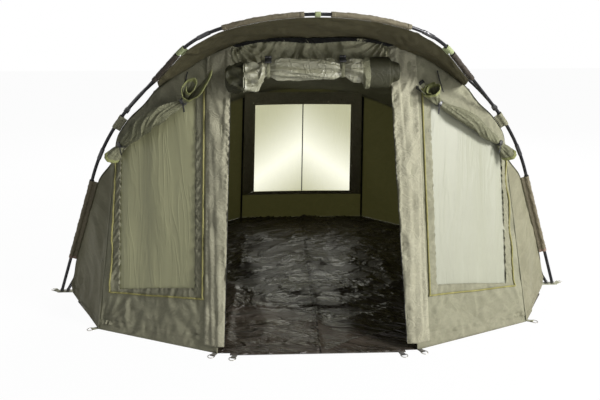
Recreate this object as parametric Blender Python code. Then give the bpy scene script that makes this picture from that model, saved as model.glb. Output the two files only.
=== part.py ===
"""A two-man fishing bivvy: two main hoops, a peak hoop, a dome of cloth, a windowed front and a groundsheet.

X runs to the right, Y into the tent and Z up. The origin is on the ground, midway between the pole feet.
Paired pieces are built on the left, at negative X, and mirrored to the right.
"""

import math

import bmesh
import bpy
from mathutils import Vector

# Cloth, film and seams, in metres
CLOTH = 0.002
FILM = 0.0012
FILM_SEAM = 0.0013
SLEEVE_CLOTH = 0.0016
GAP = 0.0003
SEAM = 0.0008
CORNER_SEAM = 0.0012
HEM_LIFT = 0.0008
LIP = 0.010

# Hoops, in metres and degrees
MAIN_HALF_SPAN = 1.525
MAIN_CROWN_R = 1.3117
MAIN_LEG_ANGLE = 68.6
MAIN_LEAN = 14.0
REAR_LEAN = -42.0
HOOP_NEST = 0.034
PEAK_LEG_ANGLE = 51.8
PEAK_ELBOW_ANGLE = 21.0
PEAK_ELBOW_R = 0.54
PEAK_CROWN_R = 1.20
PEAK_LEAN = 44.7
PEAK_PIVOT_FORWARD = 0.026
ARC_STEP = 5.5
LEG_STEPS = 5

# Poles and their fittings, in metres
POLE_R = 0.009
PEAK_POLE_R = 0.008
POLE_WALL = 0.0014
POLE_SIDES = 10
FERRULE_R = 0.0112
FERRULE_HALF = 0.034
FERRULE_CHAMFER = 0.0015
PEAK_FERRULE_X = 0.52
TIP_BALL_R = 0.011
TIP_COLLAR = 0.014
TIP_SPIGOT = 0.022

# Foot straps with their two eyelets, in metres
STRAP_THICK = 0.0025
STRAP_HALF_WIDTH = 0.022
STRAP_PAST_MAIN = 0.024
STRAP_PAST_REAR = 0.034
EYELET_HOLE_R = 0.0086
EYELET_R = 0.0135
EYELET_TOP = 0.0045
EYELET_SIDES = 20

# Peg rings and their webbing tabs, in metres and degrees
RING_WIRE_R = 0.0021
RING_WIRE_SIDES = 6
RING_HALF_WIDTH = 0.016
RING_REACH = 0.026
RING_ARC_STEPS = 8
TAB_HALF_WIDTH = 0.0125
TAB_LENGTH = 0.030
TAB_OVERLAP = 0.003
TAB_WALL = 0.0013
TAB_THICK = 0.0024
FOOT_TAB_TURN = 35.0

# Ground plan corners of the cloth, left side, in metres
FOOT_CLOTH_X = 1.452
FOOT_CLOTH_FRONT_Y = -0.030
REAR_FOOT_CLOTH_X = 1.430
REAR_FOOT_CLOTH_Y = 0.040
FRONT_SIDE_X = 1.156
FRONT_SIDE_Y = -0.547
DOOR_CORNER_X = 0.492
DOOR_CORNER_Y = -0.850
REAR_SIDE_X = 1.150
REAR_SIDE_Y = 0.980
REAR_CORNER_X = 0.523
REAR_CORNER_Y = 1.630

# Seams where the cloth meets the hoops, in metres
SEAM_INSET = 0.035
FOOT_CUT = 0.010
FERRULE_CUT = 0.036
JUNCTION_CUT = 0.012
CROWN_DROP = 0.028
CROWN_DROP_HALF = 0.40
DOOR_SEAM_X = 0.470
REAR_SEAM_X = 0.450
CANOPY_SAG = 0.035
CANOPY_ROWS = 6

# Sleeves on the hoops, with the peak hoop's as half-widths along it, in metres
PEAK_SIDE_SLEEVE = (0.800, 0.660)
PEAK_TOP_SLEEVE = (0.430, 0.060)
SLEEVE_END_CLEAR = 0.014
SLEEVE_CLEAR = 0.0022
SLEEVE_TURN_STEPS = 7
STRAP_LOOP_X = 0.013

# Peak hood cloth, in metres
PEAK_INSET = 0.022
PEAK_CUT = 0.014
PEAK_SAG = 0.012
PEAK_ROWS = 5

# Peak hinge fittings on the main hoop, in metres
COLLAR_R = 0.0135
COLLAR_HALF = 0.013
EAR_THICK = 0.006
EAR_R = 0.009
EYE_R = 0.0085
EYE_HALF = 0.007
PIVOT_R = 0.003
PIVOT_DEPTH = 0.011
EYE_NECK_R = 0.0062
EYE_NECK = 0.018
EYE_COLLAR = 0.006

# Windows, door, header and rolled flaps, in metres
PANE_LAP = 0.014
JAMB_STAND = 0.0028
JAMB_FOOT = 0.033
HEADER_TUCK = 0.008
HEADER_DEPTH = 0.2052
HEADER_RIPPLE = 0.004
HEADER_RIPPLES = 17
ROLL_STAND = 0.0088
ROLL_DEPTH = 0.046
TOGGLE_HALF_WIDTH = 0.011
TOGGLE_CLOTH = 0.0018
TOGGLE_CLEAR = 0.0004
TOGGLE_BARREL_R = 0.007
TOGGLE_BARREL = 0.034
TOGGLE_SET_SHARE = 0.9
TOGGLE_TAIL_UP = 0.035
TOGGLE_SEAT = 0.0008
ROLL_SIDES = 16
FLAP_STAND = 0.0022
FLAP_RADII = (0.040, 0.047, 0.036, 0.033, 0.028, 0.012, 0.020, 0.030)
ROLL_HALF_HEIGHTS = (0.050, 0.072, 0.076, 0.072, 0.056, 0.055, 0.056, 0.058, 0.058, 0.080, 0.080, 0.052, 0.046)
ROLL_DROPS = (0.072, 0.072, 0.072, 0.064, 0.034, 0.031, 0.031, 0.035, 0.035, 0.048, 0.048, 0.047, 0.047)
ROLL_HALF_SPAN = 0.440

# Rear window corners above the ground, in metres
REAR_PANE_LOW = 0.270
REAR_PANE_HIGH = 1.040
REAR_PANE_HALF = 0.425

# Groundsheet, in metres
SHEET_THICK = 0.0022
SHEET_INSET = 0.0036
SHEET_FOOT_X = 1.380
SHEET_LIP = 0.020
SHEET_RING_X = 0.445

# Places up the hoops, as shares of a hoop's height, and the ferrule's between the two sleeves beside it
LOW_SLEEVE_SHARES = (0.14613254, 0.46327125)
MID_SLEEVE_SHARES = (0.65915103, 0.69957067)
MAIN_FERRULE_SHARE = 0.51428571
REAR_FERRULE_SHARE = 0.57619160
PEAK_PIVOT_SHARE = 0.72755350
SEAM_START_SHARE = 0.03731044
SIDE_SEAM_SHARE = 0.62184060
PEAK_PANEL_SHARE = 0.82082959

# Shares of a wall's width or height, chosen by eye
PANE_LEFT_SHARES = (0.173, 0.110)
PANE_RIGHT_SHARES = (0.814, 0.803)
PANE_RISE_SHARES = (0.205, 0.872)
JAMB_OUTER_SHARES = (0.895, 0.880)
DOOR_EDGE_SHARES = (0.047, 0.0625)
TOP_SHARE = 0.997
FLAP_ALONG_SHARES = (0.83, 0.80, 0.70, 0.50, 0.25, 0.125, 0.090, 0.045)
FLAP_RISE_SHARES = (0.893, 0.890, 0.884, 0.884, 0.892, 0.898, 0.893, 0.880)
ROLL_ALONG_SHARES = (-1.0, -0.96, -0.80, -0.62, -0.57, -0.1, 0.37, 0.44, 0.53, 0.56, 0.84, 0.88, 0.96)
TOGGLE_SHARES = (-0.514, 0.316)

# Finishes: colour, roughness and metallic value
FINISHES = {
    "olive_cloth": ((0.125, 0.118, 0.078), 0.80, 0.0),
    "front_cloth": ((0.190, 0.185, 0.125), 0.80, 0.0),
    "jamb_cloth": ((0.310, 0.300, 0.225), 0.78, 0.0),
    "peak_cloth": ((0.060, 0.055, 0.034), 0.75, 0.0),
    "sleeve_cloth": ((0.115, 0.090, 0.065), 0.82, 0.0),
    "window_film": ((0.560, 0.600, 0.450), 0.35, 0.0),
    "groundsheet": ((0.022, 0.020, 0.016), 0.35, 0.0),
    "pole_metal": ((0.030, 0.030, 0.032), 0.38, 0.9),
    "fitting_plastic": ((0.015, 0.015, 0.015), 0.45, 0.0),
    "ring_steel": ((0.550, 0.530, 0.500), 0.30, 1.0),
    "webbing": ((0.260, 0.270, 0.190), 0.85, 0.0),
}
LEFT, RIGHT = -1, 1
SIDES = {"left": LEFT, "right": RIGHT}
SMOOTH_ANGLE = math.radians(35)
TINY_SHARE = 1e-9
NEAR_SHARE = 0.004
BORE_SHARE = math.cos(math.pi / POLE_SIDES)


class Hoop:
    """A bent pole in a leaning plane: straight legs, elbows and a crown arc, from its left foot to its right."""

    def __init__(self, half_span, angles, radii, lean, foot):
        leg_turn, elbow_turn = (math.radians(a) for a in angles)
        elbow_r, crown_r = radii
        arcs = elbow_r * (math.sin(leg_turn) - math.sin(elbow_turn)) + crown_r * math.sin(elbow_turn)
        leg = (half_span - arcs) / math.cos(leg_turn)
        elbow = elbow_r * (leg_turn - elbow_turn)
        crown = 2 * crown_r * elbow_turn
        self.half_span = half_span
        self.lean = math.radians(lean)
        self.foot = Vector(foot)
        self.up = Vector((0, -math.sin(self.lean), math.cos(self.lean)))
        self.back = Vector((0, math.cos(self.lean), math.sin(self.lean)))
        parts = [(leg, 0, leg_turn), (elbow, elbow_r, leg_turn), (crown, crown_r, elbow_turn)]
        parts += [(elbow, elbow_r, -elbow_turn), (leg, 0, -leg_turn)]
        self.parts = [part for part in parts if part[0] > 0]
        self.length = sum(part[0] for part in self.parts)
        self.rise = self.on_curve(self.length / 2, 0).y
        self.stops = self.make_stops()

    def make_stops(self):
        """Distances along the pole where its chain of straight lengths bends, and the steps of its legs."""
        stops, start = [0], 0
        for length, radius, _ in self.parts:
            steps = max(1, round(math.degrees(length / radius) / ARC_STEP)) if radius else LEG_STEPS
            stops += [start + length * (i + 1) / steps for i in range(steps)]
            start += length
        return stops

    def turn_at(self, along):
        """Direction of travel in the pole's plane, from the horizontal."""
        for length, radius, turn in self.parts:
            if along <= length:
                return turn - along / radius if radius else turn
            along -= length
        return self.parts[-1][2]

    def on_curve(self, along, inset):
        """Point (x, height) in the pole's plane, moved inwards by inset."""
        x, height, end = -self.half_span, 0, self.parts[0][2]
        for length, radius, turn in self.parts:
            run = min(along, length)
            end = turn - run / radius if radius else turn
            x += radius * (math.sin(turn) - math.sin(end)) if radius else run * math.cos(turn)
            height += radius * (math.cos(end) - math.cos(turn)) if radius else run * math.sin(turn)
            along -= run
            if along <= 0:
                break
        return Vector((x + inset * math.sin(end), height - inset * math.cos(end)))

    def flat(self, along, inset=0):
        """The same on the chain of straight lengths between stops, which every piece on the pole follows."""
        for low, high in zip(self.stops, self.stops[1:]):
            if along <= high:
                break
        share = (along - low) / (high - low)
        return self.on_curve(low, inset).lerp(self.on_curve(high, inset), share)

    def world(self, along, inset=0, back=0):
        x, height = self.flat(along, inset)
        return Vector((x, 0, 0)) + Vector((0, self.foot.y, self.foot.z)) + self.up * height + self.back * back

    def find(self, reached):
        """Distance along the left half where reached(x, height) turns true."""
        low, high = 0, self.length / 2
        for _ in range(60):
            middle = (low + high) / 2
            if reached(*self.on_curve(middle, 0)):
                high = middle
            else:
                low = middle
        return low

    def at_height(self, height):
        return self.find(lambda x, reached: reached >= height)

    def at_x(self, half_width):
        return self.find(lambda x, reached: x >= -half_width)

    def between(self, start, end):
        """The stops between two distances, with both ends."""
        near = self.length * TINY_SHARE
        return [start] + [s for s in self.stops if start + near < s < end - near] + [end]


FOOT_AXIS_Z = EYELET_TOP + math.sqrt((TIP_BALL_R + GAP) ** 2 - EYELET_HOLE_R**2)
FOOT_LEAN_SHARE = math.cos(math.radians(90 - MAIN_LEG_ANGLE))
REAR_HALF_SPAN = MAIN_HALF_SPAN - HOOP_NEST / FOOT_LEAN_SHARE
MAIN = Hoop(
    MAIN_HALF_SPAN,
    (MAIN_LEG_ANGLE, MAIN_LEG_ANGLE),
    (0, MAIN_CROWN_R),
    MAIN_LEAN,
    (MAIN_HALF_SPAN, 0, FOOT_AXIS_Z),
)
REAR = Hoop(
    REAR_HALF_SPAN,
    (MAIN_LEG_ANGLE, MAIN_LEG_ANGLE),
    (0, MAIN_CROWN_R - HOOP_NEST),
    REAR_LEAN,
    (REAR_HALF_SPAN, 0, FOOT_AXIS_Z),
)
LOW_SLEEVE = tuple(MAIN.rise * share for share in LOW_SLEEVE_SHARES)
MID_SLEEVE = tuple(MAIN.rise * share for share in MID_SLEEVE_SHARES)
MAIN_FERRULE_HEIGHT = LOW_SLEEVE[1] + (MID_SLEEVE[0] - LOW_SLEEVE[1]) * MAIN_FERRULE_SHARE
REAR_FERRULE_HEIGHT = REAR.rise * REAR_FERRULE_SHARE
PEAK_PANEL_HEIGHT = MAIN.rise * PEAK_PANEL_SHARE
SEAM_START = MAIN.rise * SEAM_START_SHARE
SIDE_SEAM_HEIGHT = MAIN.rise * SIDE_SEAM_SHARE
HEADER_LOW = FOOT_AXIS_Z + MAIN.rise * MAIN.up.z - HEADER_DEPTH
PIVOT = MAIN.world(MAIN.at_height(MAIN.rise * PEAK_PIVOT_SHARE), back=-PEAK_PIVOT_FORWARD)
PEAK = Hoop(
    -PIVOT.x,
    (PEAK_LEG_ANGLE, PEAK_ELBOW_ANGLE),
    (PEAK_ELBOW_R, PEAK_CROWN_R),
    PEAK_LEAN,
    (-PIVOT.x, PIVOT.y, PIVOT.z),
)
FOOT_AXIS = Vector((0, 0, FOOT_AXIS_Z))
PEAK_AXIS = Vector((0, PIVOT.y, PIVOT.z))
TAB_AXIS_Z = RING_WIRE_R + GAP + TAB_WALL
AXES = {}


def clear_scene():
    for obj in list(bpy.data.objects):
        bpy.data.objects.remove(obj, do_unlink=True)


def finish(name):
    """The named material, made once."""
    made = bpy.data.materials.get(name)
    if made:
        return made
    colour, roughness, metallic = FINISHES[name]
    made = bpy.data.materials.new(name)
    made.use_nodes = True
    made.diffuse_color = (*colour, 1)
    shader = made.node_tree.nodes["Principled BSDF"]
    shader.inputs["Base Color"].default_value = (*colour, 1)
    shader.inputs["Roughness"].default_value = roughness
    shader.inputs["Metallic"].default_value = metallic
    return made


def make_axis(name, place, parent=None):
    """An empty on a joint's axis, which carries the pieces that turn about it."""
    axis = bpy.data.objects.new(name, None)
    bpy.context.scene.collection.objects.link(axis)
    axis.parent = parent
    axis.location = place - (AXES[parent.name] if parent else Vector())
    AXES[name] = place.copy()
    return axis


def add_object(name, points, faces, finish_name, side=LEFT, carrier=None, origin=None, closed=True):
    """A mesh object from points in the tent's frame, mirrored for the right side, with its origin where asked."""
    origin = Vector(origin) if origin is not None else (AXES[carrier.name].copy() if carrier else Vector())
    if side == RIGHT:
        points = [Vector((-p.x, p.y, p.z)) for p in points]
        if carrier is None or origin != AXES[carrier.name]:
            origin = Vector((-origin.x, origin.y, origin.z))
    mesh = bpy.data.meshes.new(name)
    mesh.from_pydata([p - origin for p in points], [], faces)
    if closed:
        shape = bmesh.new()
        shape.from_mesh(mesh)
        bmesh.ops.recalc_face_normals(shape, faces=shape.faces)
        shape.to_mesh(mesh)
        shape.free()
    mesh.materials.append(finish(finish_name))
    mesh.shade_smooth()
    mesh.set_sharp_from_angle(angle=SMOOTH_ANGLE)
    obj = bpy.data.objects.new(name, mesh)
    bpy.context.scene.collection.objects.link(obj)
    obj.parent = carrier
    obj.location = origin - (AXES[carrier.name] if carrier else Vector())
    return obj


def add_helper(name, points, faces, side, carrier=None):
    """A hidden solid that a Boolean adds to a piece or cuts from it."""
    helper = add_object(name, points, faces, "webbing", side, carrier)
    helper.hide_render = True
    helper.display_type = "WIRE"
    return helper


def combine(obj, other, operation):
    boolean = obj.modifiers.new(other.name, "BOOLEAN")
    boolean.operation = operation
    boolean.solver = "EXACT"
    boolean.object = other


def grid_faces(rows, columns, skip=lambda i, j: False, wrap=False):
    """Quads of a grid of rows by columns points."""
    faces = []
    for i in range(rows - 1):
        for j in range(columns if wrap else columns - 1):
            if not skip(i, j):
                k = (j + 1) % columns
                faces.append((i * columns + j, i * columns + k, (i + 1) * columns + k, (i + 1) * columns + j))
    return faces


def cloth(name, grid, finish_name, side=LEFT, carrier=None, thickness=CLOTH, skip=lambda i, j: False):
    """A sheet of cloth over a grid of points, thickened evenly about its middle."""
    points = [p for row in grid for p in row]
    faces = grid_faces(len(grid), len(grid[0]), skip)
    used = sorted({corner for face in faces for corner in face})
    place = {corner: i for i, corner in enumerate(used)}
    faces = [tuple(place[corner] for corner in face) for face in faces]
    obj = add_object(name, [points[i] for i in used], faces, finish_name, side, carrier, closed=False)
    thick = obj.modifiers.new("thickness", "SOLIDIFY")
    thick.thickness = thickness
    thick.offset = 0
    thick.use_even_offset = True
    return obj


def ring_points(centre, first, second, radius, sides):
    turns = [2 * math.pi * i / sides for i in range(sides)]
    return [centre + first * (radius * math.cos(t)) + second * (radius * math.sin(t)) for t in turns]


def lofted(rings, ends=True):
    """Points and faces of a closed skin through rings of as many points each."""
    sides = len(rings[0])
    points = [p for ring in rings for p in ring]
    faces = grid_faces(len(rings), sides, wrap=True)
    if ends:
        faces.append(tuple(range(sides)))
        faces.append(tuple(range(len(points) - sides, len(points))))
    return points, faces


def square_to(direction):
    """Two unit vectors at right angles to a direction and to each other."""
    helper = Vector((0, 0, 1)) if abs(direction.z) < abs(direction.x) + abs(direction.y) else Vector((1, 0, 0))
    first = direction.cross(helper).normalized()
    return first, direction.cross(first).normalized()


def turned(start, direction, profile, sides=POLE_SIDES):
    """Points and faces of a turned solid: profile lists (distance, radius), with radius 0 only at its two ends."""
    first, second = square_to(direction)
    points, rings = [], []
    for distance, radius in profile:
        centre = start + direction * distance
        ring = [centre] if radius == 0 else ring_points(centre, first, second, radius, sides)
        rings.append(range(len(points), len(points) + len(ring)))
        points += ring
    faces = []
    for low, high in zip(rings, rings[1:]):
        for j in range(sides):
            k = (j + 1) % sides
            corners = (low[j % len(low)], low[k % len(low)], high[k % len(high)], high[j % len(high)])
            faces.append(tuple(dict.fromkeys(corners)))
    for ring in (rings[0], rings[-1]):
        if len(ring) > 1:
            faces.append(tuple(ring))
    return points, faces


def outline_solid(corners, low, high):
    """Points and faces of a flat plate with the given outline, as (x, y) corners."""
    points = [Vector((x, y, z)) for z in (low, high) for x, y in corners]
    count = len(corners)
    faces = [tuple(range(count)), tuple(range(count, 2 * count))]
    faces += [(i, (i + 1) % count, count + (i + 1) % count, count + i) for i in range(count)]
    return points, faces


def pole_tube(hoop, profile):
    """Points and faces of a pole section: profile lists (distance, outer radius, inner radius)."""
    stations = []
    for (start, outer, inner), (end, next_outer, next_inner) in zip(profile, profile[1:]):
        steady = outer == next_outer and inner == next_inner
        stops = hoop.between(start, end)[:-1] if steady else [start]
        stations += [(stop, outer, inner) for stop in stops]
    stations.append(profile[-1])
    across = Vector((1, 0, 0))
    outside, inside = [], []
    for along, outer, inner in stations:
        turn = hoop.turn_at(along)
        inward = across * math.sin(turn) - hoop.up * math.cos(turn)
        centre = hoop.world(along)
        outside.append(ring_points(centre, inward, hoop.back, outer, POLE_SIDES))
        inside.append(ring_points(centre, inward, hoop.back, inner, POLE_SIDES))
    rings = outside + inside[::-1] + outside[:1]
    points, faces = lofted(rings, ends=False)
    count = len(rings[0]) * (len(rings) - 1)
    faces = [tuple(corner % count for corner in face) for face in faces]
    return points[:count], faces


def make_poles(prefix, hoop, radius, start, joint_at, carrier):
    """Two legs and a crown, whose swaged ferrules take the legs' ends."""
    bore = radius - POLE_WALL
    ferrule_r = FERRULE_R * radius / POLE_R
    leg = [(start, radius, bore), (joint_at - GAP, radius, bore)]
    for word, side in SIDES.items():
        points, faces = pole_tube(hoop, leg)
        add_object(f"{prefix}_pole_{word}", points, faces, "pole_metal", side, carrier)
    half = [
        (joint_at - FERRULE_HALF, ferrule_r, radius + GAP),
        (joint_at, ferrule_r, radius + GAP),
        (joint_at + GAP, ferrule_r, bore),
        (joint_at + FERRULE_HALF, ferrule_r, bore),
        (joint_at + FERRULE_HALF + FERRULE_CHAMFER, radius, bore),
    ]
    crown = half + [(hoop.length - along, outer, inner) for along, outer, inner in reversed(half)]
    points, faces = pole_tube(hoop, crown)
    add_object(f"{prefix}_pole_crown", points, faces, "pole_metal", LEFT, carrier)


def leg_direction(hoop):
    turn = hoop.turn_at(0)
    return Vector((math.cos(turn), 0, 0)) + hoop.up * math.sin(turn)


def make_tips(prefix, hoop, carrier):
    """Round foot plugs that turn in the strap's eyelets, each with a spigot up the pole's bore."""
    bore = (POLE_R - POLE_WALL) * BORE_SHARE - GAP
    turns = [math.radians(a) for a in (-90, -60, -30, 0, 30)]
    ball = [(TIP_BALL_R * math.sin(t), TIP_BALL_R * math.cos(t)) for t in turns]
    ball[0] = (-TIP_BALL_R, 0)
    neck = math.sqrt(TIP_BALL_R**2 - POLE_R**2)
    collar = [(neck, POLE_R), (TIP_COLLAR - GAP, POLE_R), (TIP_COLLAR - GAP, bore)]
    spigot = [(TIP_COLLAR + TIP_SPIGOT, bore), (TIP_COLLAR + TIP_SPIGOT, 0)]
    foot = Vector((-hoop.half_span, 0, FOOT_AXIS_Z))
    for word, side in SIDES.items():
        points, faces = turned(foot, leg_direction(hoop), ball + collar + spigot, sides=12)
        add_object(f"{prefix}_tip_{word}", points, faces, "fitting_plastic", side, carrier)


def tab_solid(hinge, outward):
    """Points and faces of a webbing tab on the ground, round its ring's bar, with its inner end let into the cloth."""
    across = Vector((-outward.y, outward.x, 0))
    top = 2 * TAB_AXIS_Z
    turns = [math.radians(a) for a in (-90, -60, -30, 0, 30, 60, 90)]
    nose = [(TAB_AXIS_Z * math.cos(t), TAB_AXIS_Z + TAB_AXIS_Z * math.sin(t)) for t in turns]
    root = -TAB_LENGTH - TAB_OVERLAP
    outline = [(root, 0)] + nose + [(-TAB_LENGTH / 3, top), (-2 * TAB_LENGTH / 3, TAB_THICK), (root, TAB_THICK)]
    ground = Vector((hinge.x, hinge.y, 0))
    rings = []
    for reach in (-TAB_HALF_WIDTH, TAB_HALF_WIDTH):
        base = ground + across * reach
        rings.append([base + outward * out + Vector((0, 0, up)) for out, up in outline])
    return lofted(rings)


def tab_bore(hinge, outward):
    across = Vector((-outward.y, outward.x, 0))
    reach = TAB_HALF_WIDTH + TAB_OVERLAP
    radius = RING_WIRE_R + GAP
    return turned(hinge - across * reach, across, [(0, radius), (2 * reach, radius)], sides=14)


def add_tab(obj, name, hinge, outward, side, carrier=None):
    """Sews a webbing tab to a cloth piece and opens the bore that its ring's bar lies in."""
    tab = add_helper(f"{name}_tab", *tab_solid(hinge, outward), side, carrier)
    bore = add_helper(f"{name}_bore", *tab_bore(hinge, outward), side, carrier)
    combine(obj, tab, "UNION")
    combine(obj, bore, "DIFFERENCE")


def hinge_beyond(place, outward):
    """A ring's hinge point, a tab's length beyond a place on the cloth's edge."""
    return Vector((place[0], place[1], TAB_AXIS_Z)) + outward * TAB_LENGTH


def hinge_beside(corner, other):
    """A ring's hinge point beside a ground corner of the left side, and its outward direction, square to the hem."""
    run = (Vector((other[0] - corner[0], other[1] - corner[1], 0))).normalized()
    outward = Vector((run.y, -run.x, 0))
    if outward.x > 0:
        outward = -outward
    root = Vector((corner[0], corner[1], 0)) + run * (TAB_HALF_WIDTH + TAB_OVERLAP)
    return hinge_beyond((root.x, root.y), outward), outward


def make_ring(name, hinge, outward, side, carrier=None):
    """A D-ring whose straight bar lies in its tab and whose bow droops to the ground."""
    droop = math.asin((TAB_AXIS_Z - RING_WIRE_R - GAP) / RING_REACH)
    across = Vector((-outward.y, outward.x, 0))
    lie = outward * math.cos(droop) - Vector((0, 0, math.sin(droop)))
    straight = RING_REACH - RING_HALF_WIDTH
    bow = [math.pi * (i / RING_ARC_STEPS - 0.5) for i in range(RING_ARC_STEPS + 1)]
    path = [(0, -RING_HALF_WIDTH)]
    path += [(straight + RING_HALF_WIDTH * math.cos(t), RING_HALF_WIDTH * math.sin(t)) for t in bow]
    path += [(0, RING_HALF_WIDTH)]
    centres = [lie * out + across * wide for out, wide in path]
    square = lie.cross(across)
    rings = []
    for i, centre in enumerate(centres):
        heading = (centres[(i + 1) % len(centres)] - centres[i - 1]).normalized()
        rings.append(ring_points(centre, square, heading.cross(square), RING_WIRE_R, RING_WIRE_SIDES))
    points, faces = lofted(rings + rings[:1], ends=False)
    count = len(centres) * RING_WIRE_SIDES
    faces = [tuple(corner % count for corner in face) for face in faces]
    points = [p + hinge for p in points[:count]]
    add_object(name, points, faces, "ring_steel", side, carrier, origin=hinge)


def heading(degrees):
    """A level direction on the left side, turned from straight outwards towards the back."""
    turn = math.radians(degrees)
    return Vector((-math.cos(turn), math.sin(turn), 0))


def make_foot_straps():
    """Webbing plates under the pole feet, with an eyelet for each hoop's tip and a ring beyond."""
    inner = -(REAR_HALF_SPAN - STRAP_PAST_REAR)
    outer = -(MAIN_HALF_SPAN + STRAP_PAST_MAIN)
    half = STRAP_HALF_WIDTH
    corners = [(outer, -half), (inner, -half), (inner, half), (outer, half)]
    outward = heading(FOOT_TAB_TURN)
    hinge = hinge_beyond((outer, 0), outward)
    up = Vector((0, 0, 1))
    for word, side in SIDES.items():
        strap = add_object(f"foot_strap_{word}", *outline_solid(corners, 0, STRAP_THICK), "webbing", side)
        for label, half_span in (("main", MAIN_HALF_SPAN), ("rear", REAR_HALF_SPAN)):
            base = Vector((-half_span, 0, STRAP_THICK / 2))
            rim = turned(base, up, [(0, EYELET_R), (EYELET_TOP - STRAP_THICK / 2, EYELET_R)], EYELET_SIDES)
            combine(strap, add_helper(f"{label}_eyelet_{word}", *rim, side), "UNION")
        add_tab(strap, f"foot_{word}", hinge, outward, side)
        for label, half_span in (("main", MAIN_HALF_SPAN), ("rear", REAR_HALF_SPAN)):
            base = Vector((-half_span, 0, -EYELET_TOP))
            hole = turned(base, up, [(0, EYELET_HOLE_R), (3 * EYELET_TOP, EYELET_HOLE_R)], EYELET_SIDES)
            combine(strap, add_helper(f"{label}_hole_{word}", *hole, side), "DIFFERENCE")
        make_ring(f"foot_ring_{word}", hinge, outward, side)


def mix(low, high, share):
    return low + (high - low) * share


def steps(count):
    return [i / count for i in range(count + 1)]


def sag(share):
    """A hanging curve that is 1 midway and 0 at both ends."""
    return 4 * share * (1 - share)


def bump(at, low, high):
    """A smooth rise from 0 at low to 1 midway and back to 0 at high."""
    if not low < at < high:
        return 0
    return math.sin(math.pi * (at - low) / (high - low)) ** 2


def main_inset(along):
    """How far the cloth's seam lies inside the main hoop: cut away between the sleeves, and level over the door."""
    x, height = MAIN.on_curve(along, 0)
    inset = SEAM_INSET
    inset += FOOT_CUT * bump(height, 0, LOW_SLEEVE[0])
    inset += FERRULE_CUT * bump(height, LOW_SLEEVE[1], MID_SLEEVE[0])
    inset += JUNCTION_CUT * bump(height, MID_SLEEVE[1], PEAK_PANEL_HEIGHT)
    inset += CROWN_DROP * bump(x, -CROWN_DROP_HALF, CROWN_DROP_HALF)
    return inset


class Seam:
    """The line on which cloth meets a hoop: straight lengths between stops, each stop at its own inset."""

    def __init__(self, hoop, stops, inset_at):
        self.hoop = hoop
        self.stops = stops
        self.inset_at = inset_at

    def point(self, along, deeper=0, back=0):
        for low, high in zip(self.stops, self.stops[1:]):
            if along <= high:
                break
        share = (along - low) / (high - low)
        ends = [self.hoop.world(stop, self.inset_at(stop) + deeper, back) for stop in (low, high)]
        return ends[0].lerp(ends[1], share)

    def between(self, start, end):
        near = self.hoop.length * NEAR_SHARE
        return [start] + [stop for stop in self.stops if start + near < stop < end - near] + [end]


def cut_stops():
    """Distances along the main hoop at which the cut of the cloth's edge is followed."""
    heights = [LOW_SLEEVE[0] / 2, LOW_SLEEVE[0]]
    heights += [mix(LOW_SLEEVE[1], MID_SLEEVE[0], share) for share in steps(4)]
    heights += [mix(MID_SLEEVE[1], PEAK_PANEL_HEIGHT, share) for share in steps(2)]
    start = MAIN.at_height(SEAM_START)
    left = [MAIN.at_height(height) for height in heights]
    both = left + [MAIN.length - stop for stop in left]
    near = MAIN.length * NEAR_SHARE
    both = [stop for stop in both if min(abs(stop - other) for other in MAIN.stops) > near]
    inner = sorted(both + [stop for stop in MAIN.stops if start < stop < MAIN.length - start])
    return [start] + [stop for stop in inner if start + near < stop < MAIN.length - start - near] + [
        MAIN.length - start
    ]


def rear_match(along):
    """The place on the rear hoop that matches one on the main hoop, part by part."""
    passed, reached = 0, 0
    for part, other in zip(MAIN.parts, REAR.parts):
        if along <= passed + part[0] or part is MAIN.parts[-1]:
            return reached + other[0] * (along - passed) / part[0]
        passed += part[0]
        reached += other[0]
    return reached


def front_top(along):
    """Top edge of the front walls, just under the canopy's front lip."""
    return FRONT_SEAM.point(along, CLOTH + SEAM, -LIP / 2)


def rear_top(along):
    """Top edge of the rear walls, just under the canopy's rear lip."""
    return REAR_SEAM.point(along, CLOTH + SEAM, LIP / 2)


def make_canopy(carrier):
    """The roof and side cloth between the two hoops, drawn straight across and sagging a little."""
    columns = []
    for ahead, behind in zip(FRONT_SEAM.stops, REAR_SEAM.stops):
        near, far = FRONT_SEAM.point(ahead), REAR_SEAM.point(behind)
        turn = MAIN.turn_at(ahead)
        inward = Vector((math.sin(turn), 0, -math.cos(turn)))
        depth = CANOPY_SAG * min(1, (far - near).length / MAIN_CROWN_R)
        column = [FRONT_SEAM.point(ahead, 0, -LIP)]
        column += [near.lerp(far, share) + inward * (depth * sag(share)) for share in steps(CANOPY_ROWS)]
        columns.append(column + [REAR_SEAM.point(behind, 0, LIP)])
    cloth("canopy", columns, "olive_cloth", LEFT, carrier)


def peak_inset(along):
    """How far the hood's edge lies inside the peak hoop, cut away where the pole runs bare."""
    x, _ = PEAK.on_curve(along, 0)
    return PEAK_INSET + PEAK_CUT * bump(abs(x), PEAK_TOP_SLEEVE[0], PEAK_SIDE_SLEEVE[1])


def make_peak_panel(carrier):
    """The hood's cloth, from the canopy's front lip up and out to the peak hoop."""
    start = MAIN.at_height(PEAK_PANEL_HEIGHT)
    edge_start = PEAK.at_x(PEAK_SIDE_SLEEVE[0])
    columns = []
    for along in FRONT_SEAM.between(start, MAIN.length - start):
        share = (along - start) / (MAIN.length - 2 * start)
        out = mix(edge_start, PEAK.length - edge_start, share)
        near = FRONT_SEAM.point(along, 0, -LIP - SEAM)
        far = PEAK.world(out, peak_inset(out))
        down = Vector((0, 0, -PEAK_SAG))
        columns.append([near.lerp(far, reach) + down * sag(reach) for reach in steps(PEAK_ROWS)])
    cloth("peak_panel", columns, "peak_cloth", LEFT, carrier)


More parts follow.
